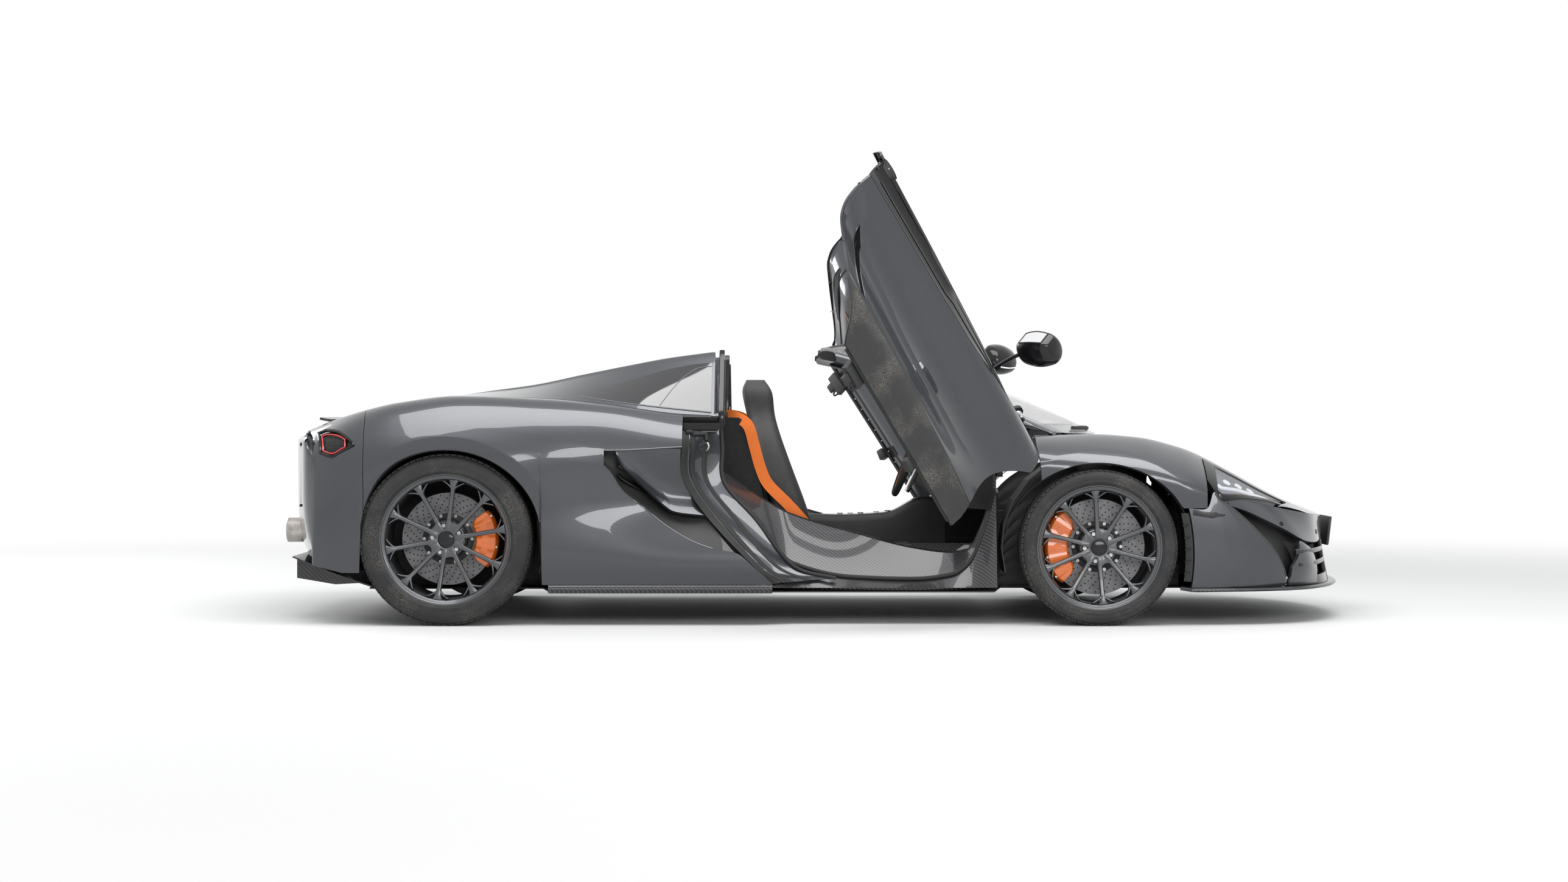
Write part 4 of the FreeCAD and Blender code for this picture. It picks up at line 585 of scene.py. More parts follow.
class Repeater:
    """Node groups that put one small shape on every point of a mesh."""

    @staticmethod
    def _group(name: str, inputs: Sequence[tuple[str, str, float]]) -> bpy.types.GeometryNodeTree:
        """Empty geometry group with named inputs besides its geometry."""
        tree = bpy.data.node_groups.new(name, "GeometryNodeTree")
        tree.interface.new_socket("Geometry", in_out="INPUT", socket_type="NodeSocketGeometry")
        for label, kind, value in inputs:
            socket = tree.interface.new_socket(label, in_out="INPUT", socket_type=kind)
            if kind != "NodeSocketMaterial":
                socket.default_value = value
        tree.interface.new_socket("Geometry", in_out="OUTPUT", socket_type="NodeSocketGeometry")
        return tree

    @classmethod
    def pegs(cls) -> bpy.types.GeometryNodeTree:
        """Group that stands a short cylinder on each point, along its stored direction."""
        known = bpy.data.node_groups.get("pegs")
        if known is not None:
            return known
        tree = cls._group("pegs", [("Radius", "NodeSocketFloat", 0.003), ("Depth", "NodeSocketFloat", 0.002),
                                   ("Sides", "NodeSocketInt", 12), ("Finish", "NodeSocketMaterial", 0)])
        new, link = tree.nodes.new, tree.links.new
        entry, leave = new("NodeGroupInput"), new("NodeGroupOutput")
        shape = new("GeometryNodeMeshCylinder")
        link(entry.outputs["Radius"], shape.inputs["Radius"])
        link(entry.outputs["Depth"], shape.inputs["Depth"])
        link(entry.outputs["Sides"], shape.inputs["Vertices"])
        direction = new("GeometryNodeInputNamedAttribute")
        direction.data_type = "FLOAT_VECTOR"
        direction.inputs["Name"].default_value = "direction"
        turn = new("FunctionNodeAlignRotationToVector")
        turn.axis = "Z"
        link(direction.outputs["Attribute"], turn.inputs["Vector"])
        place = new("GeometryNodeInstanceOnPoints")
        link(entry.outputs["Geometry"], place.inputs["Points"])
        link(shape.outputs["Mesh"], place.inputs["Instance"])
        link(turn.outputs["Rotation"], place.inputs["Rotation"])
        cls._close(tree, entry, leave, place.outputs["Instances"])
        return tree

    @classmethod
    def bars(cls) -> bpy.types.GeometryNodeTree:
        """Group that lays a short box on each point, along its stored direction and with its stored up."""
        known = bpy.data.node_groups.get("bars")
        if known is not None:
            return known
        tree = cls._group("bars", [("Length", "NodeSocketFloat", 0.006), ("Width", "NodeSocketFloat", 0.001),
                                   ("Height", "NodeSocketFloat", 0.001), ("Finish", "NodeSocketMaterial", 0)])
        new, link = tree.nodes.new, tree.links.new
        entry, leave = new("NodeGroupInput"), new("NodeGroupOutput")
        size = new("ShaderNodeCombineXYZ")
        link(entry.outputs["Length"], size.inputs["X"])
        link(entry.outputs["Width"], size.inputs["Y"])
        link(entry.outputs["Height"], size.inputs["Z"])
        shape = new("GeometryNodeMeshCube")
        link(size.outputs[0], shape.inputs["Size"])
        turns = []
        for label, axis in (("direction", "X"), ("up", "Z")):
            vector = new("GeometryNodeInputNamedAttribute")
            vector.data_type = "FLOAT_VECTOR"
            vector.inputs["Name"].default_value = label
            turn = new("FunctionNodeAlignRotationToVector")
            turn.axis = axis
            if turns:
                turn.pivot_axis = "X"
                link(turns[-1].outputs["Rotation"], turn.inputs["Rotation"])
            link(vector.outputs["Attribute"], turn.inputs["Vector"])
            turns.append(turn)
        place = new("GeometryNodeInstanceOnPoints")
        link(entry.outputs["Geometry"], place.inputs["Points"])
        link(shape.outputs["Mesh"], place.inputs["Instance"])
        link(turns[-1].outputs["Rotation"], place.inputs["Rotation"])
        cls._close(tree, entry, leave, place.outputs["Instances"])
        return tree

    @classmethod
    def mesh_wires(cls) -> bpy.types.GeometryNodeTree:
        """Group that turns a surface into a honeycomb of round wires."""
        known = bpy.data.node_groups.get("wires")
        if known is not None:
            return known
        tree = cls._group("wires", [("Wire", "NodeSocketFloat", 0.0012), ("Sides", "NodeSocketInt", 4),
                                    ("Finish", "NodeSocketMaterial", 0)])
        new, link = tree.nodes.new, tree.links.new
        entry, leave = new("NodeGroupInput"), new("NodeGroupOutput")
        split = new("GeometryNodeTriangulate")
        dual = new("GeometryNodeDualMesh")
        curve = new("GeometryNodeMeshToCurve")
        ring = new("GeometryNodeCurvePrimitiveCircle")
        sweep = new("GeometryNodeCurveToMesh")
        link(entry.outputs["Geometry"], split.inputs["Mesh"])
        link(split.outputs["Mesh"], dual.inputs["Mesh"])
        link(dual.outputs["Dual Mesh"], curve.inputs["Mesh"])
        link(entry.outputs["Wire"], ring.inputs["Radius"])
        link(entry.outputs["Sides"], ring.inputs["Resolution"])
        link(curve.outputs["Curve"], sweep.inputs["Curve"])
        link(ring.outputs["Curve"], sweep.inputs["Profile Curve"])
        cls._close(tree, entry, leave, sweep.outputs["Mesh"])
        return tree

    @staticmethod
    def _close(tree: bpy.types.GeometryNodeTree, entry: bpy.types.Node, leave: bpy.types.Node,
               made: bpy.types.NodeSocket) -> None:
        """End a group with its instances made real and its material set."""
        real = tree.nodes.new("GeometryNodeRealizeInstances")
        coat = tree.nodes.new("GeometryNodeSetMaterial")
        tree.links.new(made, real.inputs["Geometry"])
        tree.links.new(real.outputs["Geometry"], coat.inputs["Geometry"])
        tree.links.new(entry.outputs["Finish"], coat.inputs["Material"])
        tree.links.new(coat.outputs["Geometry"], leave.inputs["Geometry"])

    @staticmethod
    def _apply(obj: bpy.types.Object, tree: bpy.types.GeometryNodeTree, values: dict[str, object]) -> None:
        """Run a group on an object and keep the result as its mesh."""
        part = obj.modifiers.new(tree.name, "NODES")
        part.node_group = tree
        for item in tree.interface.items_tree:
            if item.in_out == "INPUT" and item.name in values:
                part[item.identifier] = values[item.name]
        DRESS.bake(obj)

    @classmethod
    def on_points(cls, name: str, points: np.ndarray, directions: np.ndarray, look: Finish, body: str,
                  radius: float = 0.003, depth: float = 0.002, sides: int = 12) -> bpy.types.Object:
        """Stand pegs such as screws, rivets or drilled holes on points.

        Args:
            name: Name of the object.
            points: Places, shaped (count, 3).
            directions: Axis of each peg.
            look: Finish of the pegs.
            body: Body that carries them.
            radius: Radius of a peg.
            depth: Its length, half of it on each side of the point.
            sides: Its facets.

        Returns:
            The object that holds all the pegs.
        """
        obj = cls._cloud(name, points, {"direction": directions})
        values = {"Radius": radius, "Depth": depth, "Sides": sides, "Finish": look.material()}
        cls._apply(obj, cls.pegs(), values)
        return cls._finish(obj, look, body)

    @classmethod
    def along(cls, name: str, points: np.ndarray, directions: np.ndarray, ups: np.ndarray, look: Finish,
              body: str, size: tuple[float, float, float]) -> bpy.types.Object:
        """Lay bars such as stitches, tread blocks or louvres on points.

        Args:
            name: Name of the object.
            points: Places, shaped (count, 3).
            directions: Long direction of each bar.
            ups: Direction that each bar's height takes.
            look: Finish of the bars.
            body: Body that carries them.
            size: Length, width and height of a bar.

        Returns:
            The object that holds all the bars.
        """
        obj = cls._cloud(name, points, {"direction": directions, "up": ups})
        values = {"Length": size[0], "Width": size[1], "Height": size[2], "Finish": look.material()}
        cls._apply(obj, cls.bars(), values)
        return cls._finish(obj, look, body)

    @classmethod
    def grille(cls, name: str, form: Form, look: Finish, body: str, wire: float = 0.0012,
               replaces: Sequence[str] = ()) -> bpy.types.Object:
        """Honeycomb mesh over a surface of quads."""
        mesh = bpy.data.meshes.new(name)
        mesh.from_pydata(form.vertices.tolist(), [], [list(f) for f in form.faces])
        obj = bpy.data.objects.new(name, mesh)
        bpy.context.scene.collection.objects.link(obj)
        cls._apply(obj, cls.mesh_wires(), {"Wire": wire, "Sides": 4, "Finish": look.material()})
        made = cls._finish(obj, look, body)
        if replaces:
            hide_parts(*replaces)
        return made

    @staticmethod
    def _cloud(name: str, points: np.ndarray, vectors: dict[str, np.ndarray]) -> bpy.types.Object:
        """Object of loose points that carry named directions."""
        mesh = bpy.data.meshes.new(name)
        mesh.from_pydata(np.asarray(points).tolist(), [], [])
        for label, values in vectors.items():
            layer = mesh.attributes.new(label, "FLOAT_VECTOR", "POINT")
            full = np.broadcast_to(np.asarray(values, dtype=float), (len(points), 3))
            layer.data.foreach_set("vector", full.ravel())
        obj = bpy.data.objects.new(name, mesh)
        bpy.context.scene.collection.objects.link(obj)
        return obj

    @staticmethod
    def _finish(obj: bpy.types.Object, look: Finish, body: str) -> bpy.types.Object:
        """Name, shade and hand over a repeated piece."""
        obj.name = obj.name.replace(" ", "_")
        obj.data.shade_smooth()
        obj.data.set_sharp_from_angle(angle=math.radians(40.0))
        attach(obj, body)
        DRESS.made += 1
        return obj


# Body surface

class Curve:
    """Smooth single-valued curve through (position, value) pairs that never overshoots them."""

    def __init__(self, pairs: Sequence[tuple[float, float]]) -> None:
        self.xs = np.array([p[0] for p in pairs], dtype=float)
        self.ys = np.array([p[1] for p in pairs], dtype=float)
        rises = np.diff(self.ys) / np.diff(self.xs)
        slopes = [rises[0]]
        for left, right in zip(rises, rises[1:]):
            slopes.append(0.0 if left * right <= 0 else 2 * left * right / (left + right))
        self.slopes = np.array(slopes + [rises[-1]])

    def __call__(self, x: Number) -> Number:
        x = np.clip(x, self.xs[0], self.xs[-1])
        i = np.clip(np.searchsorted(self.xs, x, side="right") - 1, 0, len(self.xs) - 2)
        h = self.xs[i + 1] - self.xs[i]
        t = (x - self.xs[i]) / h
        return ((1 + 2 * t) * (1 - t) ** 2 * self.ys[i] + t * (1 - t) ** 2 * h * self.slopes[i]
                + t * t * (3 - 2 * t) * self.ys[i + 1] + t * t * (t - 1) * h * self.slopes[i + 1])


class Shell:
    """The car's outer surface: half sections at stations, joined by smooth lines along its length.

    The lines run at parameter 0 on the centre line, 1 inner deck line, 2 crest, 3 shoulder, 4 waist, 5 belly
    and 6 bottom edge.
    """

    SECTIONS: ClassVar = (
        (-2265, 770, 500, 768, 690, 762, 790, 700, 822, 560, 815, 400, 780, 250),
        (-2200, 800, 560, 797, 725, 792, 850, 722, 885, 580, 880, 400, 845, 240),
        (-2036, 845, 590, 845, 780, 840, 912, 735, 938, 560, 928, 380, 895, 215),
        (-1877, 875, 610, 877, 815, 877, 938, 742, 950, 540, 942, 350, 905, 180),
        (-1750, 898, 620, 902, 832, 898, 950, 738, 953, 520, 947, 330, 908, 150),
        (-1500, 930, 635, 938, 850, 918, 958, 728, 952, 500, 948, 300, 912, 136),
        (-1126, 925, 650, 930, 842, 900, 942, 722, 930, 500, 938, 300, 905, 130),
        (-873, 905, 660, 905, 830, 878, 915, 715, 900, 500, 932, 290, 900, 130),
        (-560, 870, 670, 868, 818, 835, 900, 705, 852, 505, 930, 280, 900, 130),
        (0, 850, 670, 850, 812, 812, 900, 695, 838, 490, 930, 275, 898, 132),
        (450, 820, 660, 820, 805, 790, 905, 685, 852, 480, 925, 270, 895, 134),
        (750, 780, 620, 780, 780, 775, 915, 675, 880, 470, 915, 265, 890, 136),
        (884, 765, 560, 757, 765, 770, 922, 668, 905, 470, 910, 280, 890, 136),
        (1140, 752, 560, 752, 730, 777, 935, 660, 930, 480, 915, 300, 890, 136),
        (1320, 728, 560, 735, 715, 765, 932, 640, 930, 470, 910, 300, 885, 136),
        (1500, 690, 545, 700, 700, 722, 920, 600, 925, 460, 905, 290, 880, 136),
        (1750, 605, 500, 612, 680, 622, 885, 530, 905, 430, 890, 270, 860, 136),
        (1950, 520, 440, 530, 620, 538, 835, 492, 865, 400, 850, 260, 820, 136),
        (2150, 445, 350, 453, 545, 460, 740, 462, 770, 370, 760, 240, 730, 136),
        (2220, 415, 300, 422, 500, 432, 700, 438, 735, 340, 725, 230, 700, 136),
    )
    LINES: ClassVar[int] = 7
    NOSE_BEND: ClassVar[float] = 0.42
    NOSE_FROM: ClassVar[float] = 1.5
    NOSE_TO: ClassVar[float] = 2.22
    TAIL_BEND: ClassVar[float] = 0.20
    TAIL_FROM: ClassVar[float] = -1.7
    TAIL_TO: ClassVar[float] = -2.265

    def __init__(self) -> None:
        rows = np.array(self.SECTIONS, dtype=float) * MM
        ys = [np.zeros(len(rows))] + [rows[:, 2 + 2 * k] for k in range(self.LINES - 1)]
        zs = [rows[:, 1]] + [rows[:, 3 + 2 * k] for k in range(self.LINES - 1)]
        self.y_lines = [Curve(list(zip(rows[:, 0], y))) for y in ys]
        self.z_lines = [Curve(list(zip(rows[:, 0], z))) for z in zs]

    def point(self, s: Number, u: Number, side: int = -1) -> np.ndarray:
        """Point or points on the surface.

        Args:
            s: Station along the car.
            u: Line parameter, 0 to 6.
            side: Sign of Y.

        Returns:
            Points with a last axis of three.
        """
        s, u = np.broadcast_arrays(np.asarray(s, dtype=float), np.asarray(u, dtype=float))
        u = np.clip(u, 0.0, self.LINES - 1.0)
        ys = np.stack([line(s) for line in self.y_lines])
        zs = np.stack([line(s) for line in self.z_lines])
        i = np.minimum(u.astype(int), self.LINES - 2)
        t = u - i

        def pick(values: np.ndarray, offset: int, sign: float) -> np.ndarray:
            k = i + offset
            inner = np.take_along_axis(values, np.clip(k, 0, self.LINES - 1)[None], 0)[0]
            before = sign * values[1]
            after = 2 * values[-1] - values[-2]
            return np.where(k < 0, before, np.where(k > self.LINES - 1, after, inner))

        out = []
        for values, sign in ((ys, -1.0), (zs, 1.0)):
            a, b, c, d = (pick(values, k, sign) for k in (-1, 0, 1, 2))
            out.append(0.5 * (2 * b + (c - a) * t + (2 * a - 5 * b + 4 * c - d) * t * t
                              + (3 * b - a - 3 * c + d) * t ** 3))
        y, z = out
        nose = np.clip((s - self.NOSE_FROM) / (self.NOSE_TO - self.NOSE_FROM), 0, None) ** 1.5
        tail = np.clip((self.TAIL_FROM - s) / (self.TAIL_FROM - self.TAIL_TO), 0, None) ** 1.5
        x = s - self.NOSE_BEND * nose * y * y + self.TAIL_BEND * tail * y * y
        return np.stack([x, side * y, z], axis=-1)

    def flank_u(self, s: Number, z: Number, low: float = 1.9) -> np.ndarray:
        """Line parameter below the crest where the body has height z at station s."""
        s, z = np.broadcast_arrays(np.asarray(s, dtype=float), np.asarray(z, dtype=float))
        a = np.full(s.shape, low)
        b = np.full(s.shape, self.LINES - 1.0)
        for _ in range(30):
            mid = (a + b) / 2
            above = self.point(s, mid)[..., 2] > z
            a = np.where(above, mid, a)
            b = np.where(above, b, mid)
        return (a + b) / 2

    def flank(self, s: Number, z: Number, side: int = -1) -> np.ndarray:
        """Point or points on the flank at station s and height z."""
        return self.point(s, self.flank_u(s, z), side)


SHELL = Shell()


def arch_z(s: Number, axle: Axle, floor: float, more: float = 0.0) -> np.ndarray:
    """Height of a wheel arch's lip at station s, or floor outside it.

    Args:
        s: Station along the car.
        axle: Whose arch it is.
        floor: Lowest height given back.
        more: Added to the arch's half width and rise.

    Returns:
        The heights.
    """
    half, rise = (v + more for v in axle.arch)
    share = 1 - ((np.asarray(s, dtype=float) - axle.value[0]) / half) ** 2
    return np.where(share > 0, np.maximum(floor, axle.value[2] + rise * np.sqrt(np.maximum(share, 0))), floor)


def flared(points: np.ndarray, ridge: float = 0.054, lift: float = 0.010, reach: float = 0.17) -> np.ndarray:
    """Points pushed out into a crisp ridge that follows the wheel arches a hand's width above their lips."""
    x, y, z = points[..., 0], points[..., 1], points[..., 2]
    push = np.zeros_like(x)
    for axle in Axle:
        half, rise = axle.arch
        far = np.hypot((x - axle.value[0]) / half, (z - axle.value[2]) / rise) - 1
        d = far * (half + rise) / 2
        inside = np.clip(d / ridge, 0, 1)
        outside = np.clip(1 - (d - ridge) / reach, 0, 1) ** 2
        fade = np.clip((z - 0.42) / 0.2, 0, 1)
        fade = fade * fade * (3 - 2 * fade)
        push += np.where(d < ridge, inside, outside) * lift * fade
    out = points.copy()
    out[..., 1] = y + np.sign(y) * push
    return out


def smooth_grid(grid: np.ndarray, times: int) -> np.ndarray:
    """Grid refined by Catmull-Rom curves in both directions, so that the given points stay on it.

    Args:
        grid: Points, shaped (rows, columns, 3).
        times: New cells for each old one.

    Returns:
        The finer grid.
    """
    for _ in range(2):
        count = grid.shape[0]
        ends = np.concatenate([2 * grid[:1] - grid[1:2], grid, 2 * grid[-1:] - grid[-2:-1]])
        rows = []
        for i in range(count - 1):
            rows += [catmull(*ends[i:i + 4], k / times) for k in range(times)]
        rows.append(grid[-1])
        grid = np.array(rows).transpose(1, 0, 2)
    return grid


def refined(line: np.ndarray, times: int) -> np.ndarray:
    """Line with more points on a smooth curve through the given ones."""
    return smooth_grid(line[:, None].repeat(2, 1), times)[:, 0]


def rim_of(grid: np.ndarray) -> np.ndarray:
    """Closed line round a grid, its first point given again at its end."""
    return np.concatenate([grid[0], grid[1:, -1], grid[-1, -2::-1], grid[-2::-1, 0]])


def distinct(line: np.ndarray) -> np.ndarray:
    """Line without the points that repeat the one before them."""
    return line[np.concatenate([[True], np.linalg.norm(np.diff(line, axis=0), axis=1) > 1e-5])]


def normals_of(grid: np.ndarray, inward: Sequence[float]) -> np.ndarray:
    """Unit normals of a grid that point to its hidden side, where inward lies."""
    normal = np.cross(np.gradient(grid, axis=0), np.gradient(grid, axis=1))
    normal /= np.maximum(np.linalg.norm(normal, axis=2), 1e-12)[..., None]
    i, j = grid.shape[0] // 2, grid.shape[1] // 2
    return normal if np.dot(normal[i, j], np.array(inward) - grid[i, j]) > 0 else -normal


def sunk(grid: np.ndarray, depth: float, inward: Sequence[float]) -> np.ndarray:
    """Grid moved by a depth towards its hidden side."""
    return grid + normals_of(grid, inward) * depth


def rolled(grid: np.ndarray, depth: float, inward: Sequence[float], edges: str = "NSEW") -> np.ndarray:
    """Grid with strips folded inwards along its edges, so that a panel shows a thick rounded rim.

    Args:
        grid: Outer points, shaped (rows, columns, 3).
        depth: How far the fold goes in.
        inward: A point on the panel's hidden side.
        edges: N and S for the first and last row, W and E for the first and last column.

    Returns:
        The larger grid.
    """
    normal = normals_of(grid, inward)
    steps = ((0.0012, 0.0004), (0.0030, 0.0012), (depth, 0.0018))
    for edge, axis, at in (("N", 0, 0), ("S", 0, -1), ("W", 1, 0), ("E", 1, -1)):
        if edge not in edges:
            continue
        line = np.take(grid, at, axis=axis)
        inner = np.take(grid, 1 if at == 0 else -2, axis=axis)
        way = np.take(normal, at, axis=axis)
        back = line - inner
        back /= np.maximum(np.linalg.norm(back, axis=1), 1e-12)[:, None]
        strips = [line + way * down + back * out for down, out in steps]
        strips = [np.expand_dims(s, axis) for s in strips]
        more_normal = np.expand_dims(way, axis)
        if at == 0:
            grid = np.concatenate(strips[::-1] + [grid], axis=axis)
            normal = np.concatenate([more_normal] * 3 + [normal], axis=axis)
        else:
            grid = np.concatenate([grid] + strips, axis=axis)
            normal = np.concatenate([normal] + [more_normal] * 3, axis=axis)
    return grid


# Wheels and brakes

@dataclass
class Wheel:
    """One wheel: tyre with its tread, ten-spoke rim, drilled disc, nuts and cap."""

    axle: Axle
    side: Side
    spokes: int = 10
    bolts: int = 5
    bolt_circle: float = 0.058
    cap_radius: float = 0.030
    rim_inset: float = 0.012
    disc_thick: float = 0.032

    @property
    def body(self) -> str:
        """Body that carries the wheel."""
        return f"wheel_{self.axle.label}_{self.side.label}"

    @property
    def centre(self) -> np.ndarray:
        """Middle of the wheel."""
        x, y, r = self.axle.value[:3]
        return np.array([x, self.side.value * y, r])

    def build(self) -> None:
        """Make every piece of the wheel."""
        self._tyre()
        self._tread()
        self._rim()
        self._nuts()
        self._disc()

    def _turned(self, profile: Sequence[tuple[float, float]], steps: int = 120) -> Form:
        """Turned form whose profile's second value points outwards from the car."""
        sign = self.side.value
        return turned([(r, sign * y) for r, y in profile], self.centre, steps)

    def _tyre(self) -> None:
        """Carcass with its sidewall steps, rim protector and the floor of the tread."""
        _, _, radius, width, rim_r, _ = self.axle.value
        half = width / 2
        floor = radius - 0.0065
        seat = rim_r - 0.012
        wall = [(floor, half - 0.036), (radius - 0.007, half - 0.024), (radius - 0.013, half - 0.013),
                (radius - 0.020, half - 0.0065), (radius - 0.026, half - 0.0028),
                (radius - 0.030, half - 0.0030),
                (radius - 0.033, half - 0.0012), (rim_r + 0.030, half - 0.0004),
                (rim_r + 0.022, half - 0.0010),
                (rim_r + 0.018, half - 0.0002), (rim_r + 0.011, half - 0.0004),
                (rim_r + 0.008, half - 0.0036),
                (rim_r + 0.003, half - 0.0080), (rim_r - 0.002, half - 0.0125), (seat, half - 0.0220)]
        profile = wall + [(seat, half - 0.040), (seat, -half + 0.040)] + [(r, -y) for r, y in reversed(wall)]
        DRESS.put(f"tyre {self.body}", self._turned(profile, 128), Look.TYRE, self.body,
                  replaces=[f"tyre_{self.axle.label}_{self.side.label}"], angle=40)

    def _tread(self) -> None:
        """Tread blocks in five ribs, laid by one node group."""
        _, _, radius, width, _, _ = self.axle.value
        ribs = (-0.40, -0.2, 0.0, 0.2, 0.40)
        count = 76
        points, directions, ups = [], [], []
        for row, share in enumerate(ribs):
            slant = 0.28 * (1 if share > 0 else -1 if share < 0 else 0)
            drop = 0.0042 if abs(share) > 0.3 else 0.0032
            for k in range(count):
                a = 2 * math.pi * (k + 0.5 * (row % 2)) / count
                out = np.array([math.cos(a), 0, math.sin(a)])
                along = np.array([-math.sin(a), 0, math.cos(a)])
                points.append(self.centre + out * (radius - drop) + np.array([0, share * (width - 0.036), 0]))
                directions.append(along + np.array([0, slant, 0]))
                ups.append(out)
        pitch = 2 * math.pi * radius / count
        size = (pitch * 0.84, (width - 0.036) * 0.17, 0.0062)
        Repeater.along(f"tread {self.body}", np.array(points), np.array(directions), np.array(ups), Look.TYRE,
                       self.body, size)

    def _spoke(self, angle: float, out_y: Callable[[float], float], barrel: float) -> Form:
        """One spoke, straight from the hub and forked in two before the rim."""
        sign = self.side.value
        fork = barrel * 0.885

        def ring(r: float, turn: float, width: float, depth: float, crown: float) -> np.ndarray:
            y = out_y(r)
            shape = ((-1.0, -depth), (-0.92, -0.004), (-0.62, 0.0), (0.62, 0.0), (0.92, -0.004),
                     (1.0, -depth),
                     (0.6, -depth - 0.004), (-0.6, -depth - 0.004))
            c, s = math.cos(angle + turn), math.sin(angle + turn)
            rows = []
            for across, down in shape:
                w = across * width / 2
                y_here = sign * (y + down + crown)
                rows.append([self.centre[0] + r * c - w * s, self.centre[1] + y_here,
                             self.centre[2] + r * s + w * c])
            return np.array(rows)

        main = [ring(r, 0.0, w, d, 0.0) for r, w, d in (
            (0.040, 0.030, 0.026), (0.075, 0.0225, 0.026), (barrel * 0.5, 0.0185, 0.024),
            (fork - 0.012, 0.0195, 0.022),
            (fork + 0.006, 0.026, 0.020), (barrel + 0.002, 0.040, 0.018))]
        form = loft(main)
        for way in (-1, 1):
            prong = []
            for t in np.linspace(0, 1, 6):
                r = fork - 0.006 + (barrel + 0.004 - fork) * t
                spread = way * (0.004 + 0.040 * t ** 1.25) / r
                prong.append(ring(r, spread, 0.0125 - 0.002 * t, 0.021 - 0.004 * t, -0.0004))
            form = form.joined(loft(prong))
        return form

    def _web(self, angle: float, out_y: Callable[[float], float]) -> Form:
        """Web that joins a pair of spokes near the hub."""
        half_gap = math.pi / self.spokes
        rings = []
        for depth in (0.0015, 0.022):
            row = []
            for r, share in ((0.040, -1.0), (0.082, -0.86), (0.069, 0.0), (0.082, 0.86), (0.040, 1.0)):
                a = angle + half_gap * share
                row.append([self.centre[0] + r * math.cos(a),
                            self.centre[1] + self.side.value * (out_y(r) - depth),
                            self.centre[2] + r * math.sin(a)])
            rings.append(np.array(row))
        return loft(rings)

    def _rim(self) -> None:
        """Barrel with its lips, spokes and hub."""
        _, _, _, width, rim_r, _ = self.axle.value
        half = width / 2 - self.rim_inset
        barrel = rim_r - 0.031
        profile = [(rim_r, half - 0.001), (rim_r - 0.001, half), (rim_r - 0.005, half - 0.0004),
                   (rim_r - 0.0065, half - 0.003), (rim_r - 0.010, half - 0.006),
                   (rim_r - 0.018, half - 0.0085),
                   (rim_r - 0.022, half - 0.013), (barrel + 0.004, half - 0.030), (barrel, half - 0.060),
                   (barrel, -half + 0.056), (rim_r - 0.020, -half + 0.030), (rim_r - 0.018, -half + 0.002),
                   (rim_r - 0.004, -half), (rim_r, -half + 0.003), (rim_r, -half + 0.007),
                   (rim_r - 0.013, -half + 0.012),
                   (rim_r - 0.013, -half + 0.038), (rim_r - 0.024, -half + 0.056),
                   (rim_r - 0.024, half - 0.056),
                   (rim_r - 0.013, half - 0.038), (rim_r - 0.013, half - 0.012), (rim_r, half - 0.007)]
        DRESS.put(f"barrel {self.body}", self._turned(profile, 128), Look.WHEEL, self.body,
                  replaces=[f"rim_{self.axle.label}_{self.side.label}"], angle=38)

        def out_y(r: float) -> float:
            t = min(1.0, max(0.0, (r - 0.05) / (barrel - 0.05)))
            return half - 0.034 + 0.024 * t ** 1.7

        start = math.radians(self.axle.spoke_turn)
        spokes = [self._spoke(start + 2 * math.pi * k / self.spokes, out_y,
                              barrel + 0.006) for k in range(self.spokes)]
        spokes += [self._web(start + math.pi * (4 * k + 3) / self.spokes,
                             out_y) for k in range(self.spokes // 2)]
        DRESS.put(f"spokes {self.body}", spokes[0].joined(*spokes[1:]), Look.WHEEL, self.body, bevel=0.0016,
                  angle=40)
        face = half - 0.036
        hub = [(0.0, face - 0.012), (self.cap_radius + 0.002, face - 0.012),
               (self.cap_radius + 0.005, face - 0.002),
               (0.041, face), (0.046, face - 0.004), (0.052, face - 0.016), (0.074, face - 0.020),
               (0.077, face - 0.026), (0.077, face - 0.038), (0.0, face - 0.038)]
        DRESS.put(f"hub {self.body}", self._turned(hub, 72), Look.WHEEL, self.body, angle=35)
        cap = [(0.0, face + 0.002), (self.cap_radius - 0.006, face + 0.0014),
               (self.cap_radius - 0.001, face - 0.001),
               (self.cap_radius, face - 0.004), (self.cap_radius, face - 0.014), (0.0, face - 0.014)]
        DRESS.put(f"cap {self.body}", self._turned(cap, 60), Look.GLOSS, self.body, angle=35)

    def _nuts(self) -> None:
        """Wheel bolts with their cones, and the tyre valve."""
        _, _, _, width, rim_r, _ = self.axle.value
        half = width / 2 - self.rim_inset
        sign = self.side.value
        start = math.radians(self.axle.spoke_turn) + math.pi / self.spokes
        angles = np.array([start + 2 * math.pi * k / self.bolts for k in range(self.bolts)])
        around = np.stack([np.cos(angles), np.zeros_like(angles), np.sin(angles)], 1) * self.bolt_circle
        for name, lift, radius, depth, sides, look in (("bolt seats", 0.0462, 0.0125, 0.003, 20,
                                                        Look.BLACK_METAL),
                                                       ("bolts", 0.0440, 0.0085, 0.014, 6, Look.STEEL)):
            points = self.centre + around + np.array([0, sign * (half - lift), 0])
            Repeater.on_points(f"{name} {self.body}", points, np.array([0.0, sign, 0.0]), look, self.body,
                               radius, depth, sides)
        stem = self.centre + np.array([0, sign * (half - 0.020), -(rim_r - 0.030)])
        tip = stem + np.array([0, sign * 0.014, 0.008])
        DRESS.put(f"valve {self.body}", pipe(np.array([stem, tip]), 0.0032, 10), Look.BLACK_METAL, self.body)

